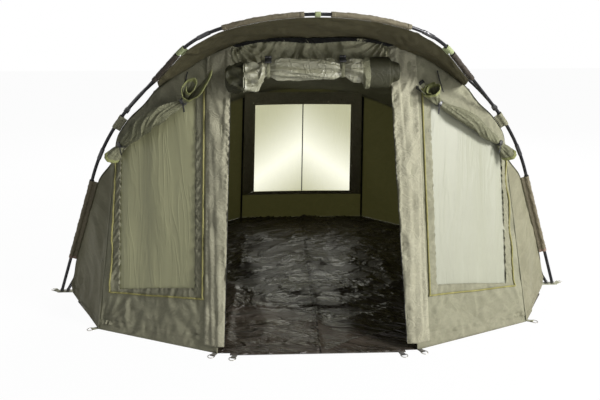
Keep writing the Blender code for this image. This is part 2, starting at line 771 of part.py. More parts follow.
def sleeve_grid(hoop, stops, tail, radius, behind):
    """Rows across a sleeve: from its tail on the cloth, round the pole and back beside itself."""
    middle = radius + SLEEVE_CLEAR
    across = Vector((1, 0, 0))
    rows = []
    for along in stops:
        turn = hoop.turn_at(along)
        inward = across * math.sin(turn) - hoop.up * math.cos(turn)
        centre = hoop.world(along)
        row = [hoop.world(along, tail(along), behind)]
        for i in range(SLEEVE_TURN_STEPS + 1):
            angle = math.radians(20 + 325 * i / SLEEVE_TURN_STEPS)
            back = hoop.back if behind < 0 else -hoop.back
            row.append(centre + inward * (middle * math.cos(angle)) - back * (middle * math.sin(angle)))
        rows.append(row)
    return rows


FRONT_SEAM = Seam(MAIN, cut_stops(), main_inset)
REAR_SEAM = Seam(REAR, [rear_match(stop) for stop in FRONT_SEAM.stops], lambda along: SEAM_INSET)
WINDOW_SEAM = (MAIN.at_height(SIDE_SEAM_HEIGHT) + CORNER_SEAM, MAIN.at_x(DOOR_SEAM_X))


def make_sleeves(front, peak, rear):
    """Sewn sleeves that hold the cloth to the hoops, with the poles bare between them."""

    def main_tail(along):
        return main_inset(along) - CLOTH / 2 - GAP

    def peak_tail(along):
        return peak_inset(along) - CLOTH / 2 - GAP

    def rear_tail(along):
        return SEAM_INSET - CLOTH / 2 - GAP

    for word, side in SIDES.items():
        for label, (low, high) in (("low", LOW_SLEEVE), ("mid", MID_SLEEVE)):
            stops = MAIN.between(MAIN.at_height(low), MAIN.at_height(high))
            grid = sleeve_grid(MAIN, stops, main_tail, POLE_R, -LIP / 4)
            cloth(f"{label}_sleeve_{word}", grid, "sleeve_cloth", side, front, SLEEVE_CLOTH)
        for label, (wide, narrow) in (("side", PEAK_SIDE_SLEEVE), ("top", PEAK_TOP_SLEEVE)):
            stops = PEAK.between(PEAK.at_x(wide), PEAK.at_x(narrow))
            grid = sleeve_grid(PEAK, stops, peak_tail, PEAK_POLE_R, 0)
            cloth(f"peak_{label}_sleeve_{word}", grid, "sleeve_cloth", side, peak, SLEEVE_CLOTH)
    middle = PEAK.length / 2
    stops = PEAK.between(middle - STRAP_LOOP_X, middle + STRAP_LOOP_X)
    grid = sleeve_grid(PEAK, stops, peak_tail, PEAK_POLE_R, 0)
    cloth("peak_centre_strap", grid, "webbing", LEFT, peak, SLEEVE_CLOTH)
    start = REAR.at_height(REAR_FERRULE_HEIGHT) + FERRULE_HALF + FERRULE_CHAMFER + SLEEVE_END_CLEAR
    grid = sleeve_grid(REAR, REAR.between(start, REAR.length - start), rear_tail, POLE_R, LIP / 4)
    cloth("rear_sleeve", grid, "sleeve_cloth", LEFT, rear, SLEEVE_CLOTH)


def make_peak_hinges(front, peak):
    """A collar and ear on the main hoop at each side, and the eye plug in the peak pole's end that turns on it."""
    out = Vector((1, 0, 0))
    ear_x = PIVOT.x - EYE_HALF - GAP - EAR_THICK / 2
    along = MAIN.at_x(-ear_x)
    centre = MAIN.world(along)
    hub = Vector((ear_x, PIVOT.y, PIVOT.z))
    wall_middle = (POLE_R + GAP + COLLAR_R) / 2
    root = Vector((ear_x, centre.y, centre.z)) - MAIN.back * wall_middle
    lead = (hub - root).normalized()
    across = lead.cross(out)
    turns = [math.radians(a) for a in range(-90, 91, 30)]
    rim = [hub + lead * (EAR_R * math.cos(t)) + across * (EAR_R * math.sin(t)) for t in turns]
    rim += [root + MAIN.up * EAR_R, root - MAIN.up * EAR_R]
    ear = lofted([[p + out * (EAR_THICK * share) for p in rim] for share in (-0.5, 0.5)])
    collar = pole_tube(
        MAIN, [(along - COLLAR_HALF, COLLAR_R, POLE_R + GAP), (along + COLLAR_HALF, COLLAR_R, POLE_R + GAP)]
    )
    pin = turned(hub, out, [(0, PIVOT_R), (EAR_THICK / 2 + GAP + PIVOT_DEPTH, PIVOT_R)], 14)
    leg = leg_direction(PEAK)
    barrel_start = Vector((PIVOT.x - EYE_HALF, PIVOT.y, PIVOT.z))
    barrel = turned(barrel_start, out, [(0, EYE_R), (2 * EYE_HALF, EYE_R)], 16)
    socket_end = EYE_HALF + PIVOT_DEPTH + GAP
    socket = turned(barrel_start - out * EYE_HALF, out, [(0, PIVOT_R + GAP), (socket_end, PIVOT_R + GAP)], 14)
    spigot_r = (PEAK_POLE_R - POLE_WALL) * BORE_SHARE - GAP
    collar_end = EYE_NECK + EYE_COLLAR
    neck_start = EYE_R / 2
    profile = [(0, EYE_NECK_R), (EYE_NECK - neck_start, PEAK_POLE_R), (collar_end - neck_start, PEAK_POLE_R)]
    profile += [(collar_end - neck_start, spigot_r), (collar_end - neck_start + TIP_SPIGOT, spigot_r)]
    neck = turned(PIVOT + leg * neck_start, leg, profile, 12)
    for word, side in SIDES.items():
        bracket = add_object(f"peak_bracket_{word}", *collar, "fitting_plastic", side, front)
        combine(bracket, add_helper(f"bracket_ear_{word}", *ear, side, front), "UNION")
        combine(bracket, add_helper(f"bracket_pin_{word}", *pin, side, front), "UNION")
        eye = add_object(f"peak_eye_{word}", *barrel, "fitting_plastic", side, peak)
        combine(eye, add_helper(f"eye_neck_{word}", *neck, side, peak), "UNION")
        combine(eye, add_helper(f"eye_socket_{word}", *socket, side, peak), "DIFFERENCE")
    return collar_end + GAP


def wall_point(low, high, rise):
    """A point on a wall's straight thread from its hem to its top seam."""
    return low.lerp(high, rise)


def hem(x, y):
    return Vector((x, y, HEM_LIFT))


def side_wall_threads():
    """Threads of the side wall, from the pole foot to the front side corner."""
    foot = hem(-FOOT_CLOTH_X, FOOT_CLOTH_FRONT_Y)
    corner = hem(-FRONT_SIDE_X, FRONT_SIDE_Y)
    corner = corner + (foot - corner).normalized() * CORNER_SEAM
    start, end = MAIN.at_height(SEAM_START), MAIN.at_height(SIDE_SEAM_HEIGHT) - CORNER_SEAM
    stops = FRONT_SEAM.between(start, end)
    return [(foot.lerp(corner, (stop - start) / (end - start)), front_top(stop)) for stop in stops]


def window_wall_thread(along):
    """Thread of the window wall at a share of its width, from the side corner to the door corner."""
    first = hem(-FRONT_SIDE_X, FRONT_SIDE_Y)
    last = hem(-DOOR_CORNER_X, DOOR_CORNER_Y)
    inset = (last - first).normalized() * CORNER_SEAM
    return (first + inset).lerp(last - inset, along), front_top(mix(*WINDOW_SEAM, along))


def window_point(along, rise, stand=0):
    """A point on the window wall, moved off its outer face by stand."""
    place = wall_point(*window_wall_thread(along), rise)
    if not stand:
        return place
    near = 0.01
    across = wall_point(*window_wall_thread(along + near), rise) - wall_point(*window_wall_thread(along - near), rise)
    low, high = window_wall_thread(along)
    return place + across.cross(high - low).normalized() * stand


def door_point(along, rise, stand=0):
    """A point on the door's face: along runs from the left door corner to the right."""
    low = hem(mix(-DOOR_CORNER_X, DOOR_CORNER_X, along), DOOR_CORNER_Y)
    start = WINDOW_SEAM[1]
    high = front_top(mix(start, MAIN.length - start, along))
    slope = (high - low).normalized()
    return low.lerp(high, rise) + Vector((0, -slope.z, slope.y)) * stand


def door_rise(along, height):
    """The rise on the door's face at a height above the ground."""
    low, high = door_point(along, 0).z, door_point(along, 1).z
    return (height - low) / (high - low)


def window_columns(count):
    """Upright grid lines of a wall with a window, as zones and shares of them, count lengths in all."""
    columns = [("left", share / 2) for share in range(2)]
    columns += [("pane", share / (count - 4)) for share in range(count - 4)]
    return columns + [("right", share) for share in steps(2)]


def window_rises(low, high, counts):
    """Rises of a wall's rows below, beside and above its window."""
    below, beside, above = counts
    rises = [mix(0, low, share) for share in steps(below)[:-1]]
    rises += [mix(low, high, share) for share in steps(beside)[:-1]]
    return rises + [mix(high, 1, share) for share in steps(above)]


def along_share(column, rise):
    """Share of the window wall's width of one grid line at a height."""
    zone, share = column
    height_share = (rise - PANE_RISE_SHARES[0]) / (PANE_RISE_SHARES[1] - PANE_RISE_SHARES[0])
    pane_left = mix(*PANE_LEFT_SHARES, height_share)
    pane_right = mix(*PANE_RIGHT_SHARES, height_share)
    ends = {"left": (0, pane_left), "pane": (pane_left, pane_right), "right": (pane_right, 1)}
    return mix(*ends[zone], share)


def make_front_walls(carrier):
    """Side walls and window walls, with the window film seated behind each opening."""
    foot = (-FOOT_CLOTH_X, FOOT_CLOTH_FRONT_Y)
    side_corner = (-FRONT_SIDE_X, FRONT_SIDE_Y)
    side_hinge, side_out = hinge_beside(side_corner, foot)
    door_hinge, door_out = hinge_beside((-DOOR_CORNER_X, DOOR_CORNER_Y), side_corner)
    tops = FRONT_SEAM.between(*WINDOW_SEAM)
    columns = window_columns(len(tops) - 1)
    rises = window_rises(*PANE_RISE_SHARES, (2, 6, 2))
    grid = []
    for column, top in zip(columns, tops):
        line = [window_point(along_share(column, rise), rise) for rise in rises[:-1]]
        grid.append(line + [front_top(top)])

    def in_window(i, j):
        return columns[i][0] == "pane" and 2 <= j < 8

    threads = side_wall_threads()
    side_grid = [[low.lerp(high, rise) for rise in steps(5)] for low, high in threads]
    low, high = (window_point(0, rise) for rise in PANE_RISE_SHARES)
    lap_rise = PANE_LAP / (high - low).length * (PANE_RISE_SHARES[1] - PANE_RISE_SHARES[0])
    width = (window_point(PANE_RIGHT_SHARES[0], 0) - window_point(PANE_LEFT_SHARES[0], 0)).length
    lap_along = PANE_LAP / width * (PANE_RIGHT_SHARES[0] - PANE_LEFT_SHARES[0])
    behind = -(CLOTH + FILM) / 2 - FILM_SEAM
    pane = []
    for across in steps(5):
        line = []
        for up in steps(6):
            rise = mix(PANE_RISE_SHARES[0] - lap_rise, PANE_RISE_SHARES[1] + lap_rise, up)
            start = along_share(("pane", 0), rise) - lap_along
            end = along_share(("pane", 1), rise) + lap_along
            line.append(window_point(mix(start, end, across), rise, behind))
        pane.append(line)
    for word, side in SIDES.items():
        wall = cloth(f"side_wall_{word}", side_grid, "olive_cloth", side, carrier)
        add_tab(wall, f"side_{word}", side_hinge, side_out, side, carrier)
        make_ring(f"side_ring_{word}", side_hinge, side_out, side, carrier)
        wall = cloth(f"window_wall_{word}", grid, "front_cloth", side, carrier, skip=in_window)
        add_tab(wall, f"door_{word}", door_hinge, door_out, side, carrier)
        make_ring(f"door_ring_{word}", door_hinge, door_out, side, carrier)
        cloth(f"window_film_{word}", pane, "window_film", side, carrier, FILM)


def make_jambs(carrier):
    """The pale zip strips that fold round each door corner."""
    grid = []
    low_rise = JAMB_FOOT / (door_point(0, 1) - door_point(0, 0)).length
    for share in steps(8):
        rise = mix(low_rise, TOP_SHARE, share)
        outer = mix(*JAMB_OUTER_SHARES, rise)
        edge = mix(*DOOR_EDGE_SHARES, rise)
        grid.append(
            [
                window_point(outer, rise, JAMB_STAND),
                window_point(mix(outer, 1, 0.5), rise, JAMB_STAND),
                window_point(1, rise, JAMB_STAND).lerp(door_point(0, rise, JAMB_STAND), 0.5),
                door_point(edge / 2, rise, JAMB_STAND),
                door_point(edge, rise, JAMB_STAND),
            ]
        )
    for word, side in SIDES.items():
        cloth(f"door_jamb_{word}", grid, "jamb_cloth", side, carrier)


def header_stand(along, up):
    """How far the gathered band stands off the door's face at a share of its height."""
    edge = header_edge()
    share = (along - edge) / (1 - 2 * edge)
    ease = min(1, HEADER_RIPPLES * min(share, 1 - share) / 2)
    return HEADER_RIPPLE * math.sin(math.pi * share * HEADER_RIPPLES) * (1 - up) * ease


def header_edge():
    """Share of the door's width at which the header ends, tucked behind the jamb."""
    return DOOR_EDGE_SHARES[1] - HEADER_TUCK / (2 * DOOR_CORNER_X)


def make_header(carrier):
    """The gathered band above the door."""
    edge = header_edge()
    grid = []
    for share in steps(2 * HEADER_RIPPLES):
        along = mix(edge, 1 - edge, share)
        low = door_rise(along, HEADER_LOW)
        grid.append([door_point(along, mix(low, 1, up), header_stand(along, up)) for up in steps(3)])
    cloth("door_header", grid, "front_cloth", LEFT, carrier)


def roll_along(share):
    """Share of the door's width at a share of the roll's half span."""
    width = -door_point(0, door_rise(0, HEADER_LOW)).x
    return 0.5 + share * ROLL_HALF_SPAN / (2 * width)


def roll_section(i, grow):
    """Points round the rolled door at one of its listed places, grown outwards by grow."""
    half = ROLL_HALF_HEIGHTS[i]
    along = roll_along(ROLL_ALONG_SHARES[i])
    centre = door_point(along, door_rise(along, HEADER_LOW - ROLL_DROPS[i]), ROLL_STAND + ROLL_DEPTH)
    slope = (door_point(along, 1) - door_point(along, 0)).normalized()
    out = Vector((0, -slope.z, slope.y))
    turns = [2 * math.pi * turn / ROLL_SIDES for turn in range(ROLL_SIDES)]
    depth, height = ROLL_DEPTH + grow, half + grow
    return [centre + out * (depth * math.cos(t)) + slope * (height * math.sin(t)) for t in turns]


def toggle_tail(share):
    """Where a toggle strap's inner end lies on the header."""
    along = roll_along(share)
    rise, low = door_rise(along, HEADER_LOW + TOGGLE_TAIL_UP), door_rise(along, HEADER_LOW)
    stand = header_stand(along, (rise - low) / (1 - low)) + (CLOTH + TOGGLE_CLOTH) / 2 + TOGGLE_SEAT
    return door_point(along, rise, stand)


def roll_ring(share, grow):
    """Points round the rolled door at any share of its half span, on the faces between its listed places."""
    for i in range(len(ROLL_ALONG_SHARES) - 2):
        if share <= ROLL_ALONG_SHARES[i + 1]:
            break
    part = (share - ROLL_ALONG_SHARES[i]) / (ROLL_ALONG_SHARES[i + 1] - ROLL_ALONG_SHARES[i])
    return [low.lerp(high, part) for low, high in zip(roll_section(i, grow), roll_section(i + 1, grow))]


def make_door_roll(carrier):
    """The door, rolled up under its header, and the two toggle straps that hold it."""
    rings = [roll_section(i, 0) for i in range(len(ROLL_ALONG_SHARES))]
    add_object("door_roll", *lofted(rings), "front_cloth", LEFT, carrier)
    grow = TOGGLE_CLEAR + TOGGLE_CLOTH / 2
    half = TOGGLE_HALF_WIDTH / ROLL_HALF_SPAN
    for word, share in zip(SIDES, TOGGLE_SHARES):
        grid = []
        for place in (share - half, share + half):
            ring = roll_ring(place, grow)
            grid.append([toggle_tail(place)] + [ring[i % ROLL_SIDES] for i in range(-9, 6)])
        strap = cloth(f"door_toggle_{word}", grid, "fitting_plastic", LEFT, carrier, TOGGLE_CLOTH)
        front = roll_ring(share, grow + TOGGLE_BARREL_R * TOGGLE_SET_SHARE)[2]
        start = front - Vector((TOGGLE_BARREL / 2, 0, 0))
        profile = [(0, TOGGLE_BARREL_R / 2), (TOGGLE_BARREL_R, TOGGLE_BARREL_R)]
        profile += [(TOGGLE_BARREL - at, radius) for at, radius in reversed(profile)]
        barrel = turned(start, Vector((1, 0, 0)), profile, 10)
        combine(strap, add_helper(f"toggle_barrel_{word}", *barrel, LEFT, carrier), "UNION")


def make_flaps(carrier):
    """The window flaps, rolled up and tied along the top of each window."""
    rings = []
    centres = []
    for along, rise, radius in zip(FLAP_ALONG_SHARES, FLAP_RISE_SHARES, FLAP_RADII):
        centres.append(window_point(along, rise, radius + CLOTH / 2 + FLAP_STAND))
    for i, centre in enumerate(centres):
        run = (centres[min(i + 1, len(centres) - 1)] - centres[max(i - 1, 0)]).normalized()
        first, second = square_to(run)
        rings.append(ring_points(centre, first, second, FLAP_RADII[i], 12))
    for word, side in SIDES.items():
        add_object(f"window_flap_{word}", *lofted(rings), "front_cloth", side, carrier)


def make_rear_walls(carrier):
    """The rear wall with its window, and the side walls that run round from it to the pole feet."""
    start = REAR_SEAM.stops[0]
    end = REAR.at_x(REAR_SEAM_X)
    foot = hem(-REAR_FOOT_CLOTH_X, REAR_FOOT_CLOTH_Y)
    side = hem(-REAR_SIDE_X, REAR_SIDE_Y)
    corner = hem(-REAR_CORNER_X, REAR_CORNER_Y)
    last = corner + (side - corner).normalized() * CORNER_SEAM
    bend = (side - foot).length / ((side - foot).length + (last - side).length)
    tops = REAR_SEAM.between(start, end - CORNER_SEAM)
    places = [((top - start) / (end - CORNER_SEAM - start), top) for top in tops]
    nearest = min(range(len(places)), key=lambda i: abs(places[i][0] - bend))
    scale = [bend / places[nearest][0], (1 - bend) / (1 - places[nearest][0])]
    grid = []
    for share, top in places:
        if share <= places[nearest][0]:
            low = foot.lerp(side, share * scale[0] / bend)
        else:
            low = last.lerp(side, (1 - share) * scale[1] / (1 - bend))
        grid.append([low.lerp(rear_top(top), rise) for rise in steps(5)])
    hinge, out = hinge_beside((-REAR_CORNER_X, REAR_CORNER_Y), (-REAR_SIDE_X, REAR_SIDE_Y))
    for word, hand in SIDES.items():
        wall = cloth(f"rear_side_wall_{word}", grid, "olive_cloth", hand, carrier)
        add_tab(wall, f"rear_{word}", hinge, out, hand, carrier)
        make_ring(f"rear_ring_{word}", hinge, out, hand, carrier)
    ends = (end + CORNER_SEAM, REAR.length - end - CORNER_SEAM)

    def rear_point(along, rise, stand=0):
        low = hem(mix(CORNER_SEAM - REAR_CORNER_X, REAR_CORNER_X - CORNER_SEAM, along), REAR_CORNER_Y)
        high = rear_top(mix(*ends, along))
        slope = (high - low).normalized()
        return low.lerp(high, rise) + Vector((0, slope.z, -slope.y)) * stand

    def rear_rise(along, height):
        low, high = rear_point(along, 0).z, rear_point(along, 1).z
        return (height - low) / (high - low)

    half_share = REAR_PANE_HALF / (2 * REAR_CORNER_X)
    zones = {"left": (0, 0.5 - half_share), "pane": (0.5 - half_share, 0.5 + half_share)}
    zones["right"] = (0.5 + half_share, 1)
    tops = REAR_SEAM.between(*ends)
    columns = window_columns(len(tops) - 1)
    wall_grid = []
    for (zone, share), top in zip(columns, tops):
        along = mix(*zones[zone], share)
        rises = window_rises(rear_rise(along, REAR_PANE_LOW), rear_rise(along, REAR_PANE_HIGH), (2, 4, 1))
        wall_grid.append([rear_point(along, rise) for rise in rises[:-1]] + [rear_top(top)])
    opened = [i for i, column in enumerate(columns) if column[0] == "pane"]
    cloth("rear_wall", wall_grid, "olive_cloth", LEFT, carrier, skip=lambda i, j: i in opened and 2 <= j < 6)
    pane = []
    lap_share = PANE_LAP / (2 * REAR_CORNER_X)
    behind = -(CLOTH + FILM) / 2 - FILM_SEAM
    for share in steps(5):
        along = mix(zones["pane"][0] - lap_share, zones["pane"][1] + lap_share, share)
        low, high = rear_rise(along, REAR_PANE_LOW - PANE_LAP), rear_rise(along, REAR_PANE_HIGH + PANE_LAP)
        pane.append([rear_point(along, mix(low, high, up), behind) for up in steps(4)])
    cloth("rear_window_film", pane, "window_film", LEFT, carrier, FILM)


def inset_outline(corners, inset):
    """The corners of a counter-clockwise outline moved inwards."""
    moved = []
    for i, corner in enumerate(corners):
        before = (corner - corners[i - 1]).normalized()
        after = (corners[(i + 1) % len(corners)] - corner).normalized()
        first, second = Vector((-before.y, before.x)), Vector((-after.y, after.x))
        moved.append(corner + (first + second) * (inset / (1 + first.dot(second))))
    return moved


def make_groundsheet():
    """The separate floor sheet inside the walls, which shows past the door, with a peg ring at each door corner."""
    half = [
        Vector((DOOR_CORNER_X, DOOR_CORNER_Y)),
        Vector((FRONT_SIDE_X, FRONT_SIDE_Y)),
        Vector((FOOT_CLOTH_X, FOOT_CLOTH_FRONT_Y)),
        Vector((REAR_FOOT_CLOTH_X, REAR_FOOT_CLOTH_Y)),
        Vector((REAR_SIDE_X, REAR_SIDE_Y)),
        Vector((REAR_CORNER_X, REAR_CORNER_Y)),
    ]
    outline = half + [Vector((-p.x, p.y)) for p in reversed(half)]
    inner = inset_outline(outline, SHEET_INSET)
    inner = [Vector((max(-SHEET_FOOT_X, min(SHEET_FOOT_X, p.x)), p.y)) for p in inner]
    lip_y = DOOR_CORNER_Y - SHEET_LIP
    door = SHEET_RING_X - TAB_HALF_WIDTH
    lip = [Vector((-door, inner[0].y)), Vector((-door, lip_y)), Vector((door, lip_y)), Vector((door, inner[0].y))]
    corners = [(p.x, p.y) for p in inner + lip]
    sheet = add_object("groundsheet", *outline_solid(corners, 0, SHEET_THICK), "groundsheet", LEFT)
    for word, side in SIDES.items():
        out = heading(-75)
        hinge = hinge_beyond((-door + 2 * TAB_HALF_WIDTH, lip_y), out)
        add_tab(sheet, f"sheet_{word}", hinge, out, side)
        make_ring(f"sheet_ring_{word}", hinge, out, side)


def main():
    clear_scene()
    rear = make_axis("rear_frame_axis", FOOT_AXIS)
    front = make_axis("front_frame_axis", FOOT_AXIS, rear)
    peak = make_axis("peak_frame_axis", PEAK_AXIS, front)
    main_ferrule = MAIN.at_height(MAIN_FERRULE_HEIGHT)
    make_poles("main", MAIN, POLE_R, TIP_COLLAR, main_ferrule, front)
    make_tips("main", MAIN, front)
    make_poles("rear", REAR, POLE_R, TIP_COLLAR, REAR.at_height(REAR_FERRULE_HEIGHT), rear)
    make_tips("rear", REAR, rear)
    peak_start = make_peak_hinges(front, peak)
    make_poles("peak", PEAK, PEAK_POLE_R, peak_start, PEAK.at_x(PEAK_FERRULE_X), peak)
    make_foot_straps()
    make_canopy(rear)
    make_peak_panel(front)
    make_sleeves(front, peak, rear)
    make_front_walls(front)
    make_jambs(front)
    make_header(front)
    make_door_roll(front)
    make_flaps(front)
    make_rear_walls(None)
    make_groundsheet()


main()
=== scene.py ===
"""The dressed scene of a two-man fishing bivvy: cloth, poles, fittings, floor, light and camera.

X runs to the right, Y into the tent and Z up, in metres. The origin is on the ground, midway between the pole feet.
Paired pieces are worked out on the left, at negative X, and mirrored to the right with folds of their own.
"""

from __future__ import annotations

import logging
import math
from dataclasses import dataclass, field
from enum import Enum
from typing import Callable, Sequence

import bmesh
import bpy
import numpy as np
from mathutils import Matrix, Vector


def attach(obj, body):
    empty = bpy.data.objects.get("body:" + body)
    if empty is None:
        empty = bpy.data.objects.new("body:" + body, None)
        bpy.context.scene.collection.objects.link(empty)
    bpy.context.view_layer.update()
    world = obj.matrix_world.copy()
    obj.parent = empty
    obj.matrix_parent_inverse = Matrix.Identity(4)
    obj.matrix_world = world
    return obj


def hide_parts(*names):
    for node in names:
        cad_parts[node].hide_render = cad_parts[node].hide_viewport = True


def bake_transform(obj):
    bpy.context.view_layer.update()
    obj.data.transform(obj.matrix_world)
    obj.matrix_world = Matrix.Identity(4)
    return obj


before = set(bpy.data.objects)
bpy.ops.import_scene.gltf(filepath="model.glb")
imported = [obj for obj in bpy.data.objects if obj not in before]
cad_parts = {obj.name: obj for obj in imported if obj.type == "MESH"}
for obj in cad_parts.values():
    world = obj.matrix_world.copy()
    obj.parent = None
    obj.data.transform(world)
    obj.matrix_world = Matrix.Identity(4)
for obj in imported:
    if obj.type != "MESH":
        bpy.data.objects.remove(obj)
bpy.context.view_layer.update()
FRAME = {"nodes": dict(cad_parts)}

log = logging.getLogger("bivvy")
Array = np.ndarray
Faces = list[tuple[int, ...]]
Skin = tuple[Array, Faces]
TAU = 2 * math.pi


# ---------------------------------------------------------------- measures and small helpers


class Side(Enum):
    """The two hands of a paired piece."""

    LEFT = -1
    RIGHT = 1

    @property
    def word(self) -> str:
        """The side's name in piece names."""
        return self.name.lower()

    @property
    def short(self) -> str:
        """The side's letter in body names."""
        return self.word[0]


class Body(Enum):
    """The bodies that pieces ride on."""

    BASE = "base"
    REAR = "rear_frame"
    FRONT = "front_frame"
    PEAK = "peak_frame"


# Thicknesses and gaps of the cloth and its seams.
CLOTH = 0.002
LIP = 0.010
SEAM = 0.0008
CORNER_SEAM = 0.0012
HEM_LIFT = 0.0008
SEAM_INSET = 0.035
TAIL_GAP = 0.0003

# Pole radii, and the height of the axis that both big hoops turn about.
MAIN_RADIUS = 0.009
PEAK_RADIUS = 0.008
FOOT_AXIS_Z = 0.0045 + math.sqrt(0.0113**2 - 0.0086**2)

# Corners of the cloth at the ground, on the left, and the width of the rear wall.
FOOT_HEM = (-1.452, -0.030)
SIDE_CORNER = (-1.156, -0.547)
DOOR_CORNER = (-0.492, -0.850)
REAR_FOOT_HEM = (-1.430, 0.040)
REAR_SIDE_CORNER = (-1.150, 0.980)
REAR_CORNER = (-0.523, 1.630)
REAR_WIDTH = -2 * REAR_CORNER[0]

# The rear window's opening: its lower and upper edge, half its width and the film's lap behind the cloth.
REAR_OPENING = (0.270, 1.040)
REAR_HALF = 0.425 / REAR_WIDTH
REAR_LAP = 0.014

# Grid lines that lie on the edges of the openings, across and up each wall.
WINDOW_COLUMNS, WINDOW_ROWS = (12, 61), (16, 89)
REAR_COLUMNS, REAR_ROWS = (7, 66), (19, 68)


def vec(x: float, y: float, z: float) -> Array:
    """A point or direction."""
    return np.array((x, y, z), float)


def unit(v: Array) -> Array:
    """The same directions with length 1."""
    return v / np.maximum(np.linalg.norm(v, axis=-1, keepdims=True), 1e-12)


def mix(low: float | Array, high: float | Array, share: float | Array) -> float | Array:
    """The value a share of the way from low to high."""
    return low + (high - low) * share


def ease(at: float | Array, low: float = 0.0, high: float = 1.0) -> Array:
    """A smooth step from 0 at low to 1 at high."""
    t = np.clip((at - low) / (high - low), 0, 1)
    return t * t * (3 - 2 * t)


def bump(at: float, low: float, high: float) -> float:
    """A smooth rise from 0 at low to 1 midway and back to 0 at high."""
    return math.sin(math.pi * (at - low) / (high - low)) ** 2 if low < at < high else 0.0


def spaced(low: float, high: float, step: float, least: int = 2) -> Array:
    """Evenly spaced places from low to high, about step apart."""
    return np.linspace(low, high, max(least, round(abs(high - low) / step)) + 1)


# ---------------------------------------------------------------- hoops and seams


@dataclass
class Hoop:
    """A bent pole in a leaning plane: straight legs, elbows and a crown arc, from its left foot to its right.

    Args:
        half_span: half the distance between its feet.
        angles: the leg's and the elbow's end angle, in degrees.
        radii: the elbow's and the crown's radius.
        lean: degrees that the plane leans forward.
        foot: y and z of its feet.
    """

    half_span: float
    angles: tuple[float, float]
    radii: tuple[float, float]
    lean: float
    foot: tuple[float, float]

    def __post_init__(self) -> None:
        """Works out the lengths of the parts and the plane's directions."""
        leg_turn, elbow_turn = (math.radians(a) for a in self.angles)
        elbow_r, crown_r = self.radii
        arcs = elbow_r * (math.sin(leg_turn) - math.sin(elbow_turn)) + crown_r * math.sin(elbow_turn)
        leg = (self.half_span - arcs) / math.cos(leg_turn)
        elbow = elbow_r * (leg_turn - elbow_turn)
        parts = [(leg, 0.0, leg_turn), (elbow, elbow_r, leg_turn), (2 * crown_r * elbow_turn, crown_r, elbow_turn)]
        parts += [(elbow, elbow_r, -elbow_turn), (leg, 0.0, -leg_turn)]
        self.parts = [part for part in parts if part[0] > 0]
        self.length = sum(part[0] for part in self.parts)
        tilt = math.radians(self.lean)
        self.up = vec(0, -math.sin(tilt), math.cos(tilt))
        self.back = vec(0, math.cos(tilt), math.sin(tilt))

    def turn_at(self, along: float) -> float:
        """Direction of travel in the pole's plane, from the horizontal."""
        for length, radius, turn in self.parts:
            if along <= length:
                return turn - along / radius if radius else turn
            along -= length
        return self.parts[-1][2]

    def flat(self, along: float, inset: float = 0.0) -> tuple[float, float]:
        """Point (x, height) in the pole's plane, moved inwards by inset."""
        x, height, end = -self.half_span, 0.0, self.parts[0][2]
        for length, radius, turn in self.parts:
            run = min(along, length)
            end = turn - run / radius if radius else turn
            x += radius * (math.sin(turn) - math.sin(end)) if radius else run * math.cos(turn)
            height += radius * (math.cos(end) - math.cos(turn)) if radius else run * math.sin(turn)
            along -= run
            if along <= 0:
                break
        return x + inset * math.sin(end), height - inset * math.cos(end)

    def world(self, along: float, inset: float = 0.0, back: float = 0.0) -> Array:
        """The same point in the tent's frame, moved back square to the pole's plane."""
        x, height = self.flat(along, inset)
        return vec(x, self.foot[0], self.foot[1]) + self.up * height + self.back * back

    def inward(self, along: float) -> Array:
        """Direction square to the pole, in its plane, towards the inside."""
        turn = self.turn_at(along)
        return vec(math.sin(turn), 0, 0) - self.up * math.cos(turn)

    def find(self, reached: Callable[[float, float], bool]) -> float:
        """Distance along the left half at which reached(x, height) turns true."""
        low, high = 0.0, self.length / 2
        for _ in range(50):
            middle = (low + high) / 2
            low, high = (low, middle) if reached(*self.flat(middle)) else (middle, high)
        return low

    def at_height(self, height: float) -> float:
        """Distance along the left half at a height in the plane."""
        return self.find(lambda x, reached: reached >= height)

    def at_x(self, half_width: float) -> float:
        """Distance along the left half at a half width."""
        return self.find(lambda x, reached: x >= -half_width)


MAIN = Hoop(1.525, (68.6, 68.6), (0.0, 1.3117), 14.0, (0.0, FOOT_AXIS_Z))
REAR = Hoop(1.525 - 0.034 / math.cos(math.radians(21.4)), (68.6, 68.6), (0.0, 1.2777), -42.0, (0.0, FOOT_AXIS_Z))
PIVOT = MAIN.world(MAIN.at_height(1.17), back=-0.026)
PEAK = Hoop(-PIVOT[0], (51.8, 21.0), (0.54, 1.20), 44.7, (PIVOT[1], PIVOT[2]))
PEAK_AXIS = vec(0, PIVOT[1], PIVOT[2])
SEAM_START = MAIN.at_height(0.060)
SIDE_SEAM = MAIN.at_height(1.0)
WINDOW_SEAM = (SIDE_SEAM + CORNER_SEAM, MAIN.at_x(0.470))
FERRULE_REAR = REAR.at_height(0.907)
REAR_END = REAR.at_x(0.450)


def main_inset(along: float) -> float:
    """How far the cloth's seam lies inside the main hoop: cut away between the sleeves, and level over the door."""
    x, height = MAIN.flat(along)
    inset = SEAM_INSET + 0.010 * bump(height, 0, 0.235) + 0.036 * bump(height, 0.745, 1.060)
    return inset + 0.012 * bump(height, 1.125, 1.320) + 0.028 * bump(x, -0.40, 0.40)


def peak_inset(along: float) -> float:
    """How far the hood's edge lies inside the peak hoop, cut away where the pole runs bare."""
    return 0.019 + 0.006 * bump(abs(PEAK.flat(along)[0]), 0.43, 0.66)


def front_seam(along: float, deeper: float = 0.0, back: float = 0.0) -> Array:
    """A point on the seam inside the main hoop."""
    return MAIN.world(along, main_inset(along) + deeper, back)


def front_top(along: float) -> Array:
    """Top edge of the front walls, just under the canopy's front lip."""
    return front_seam(along, CLOTH + SEAM, -LIP / 2)


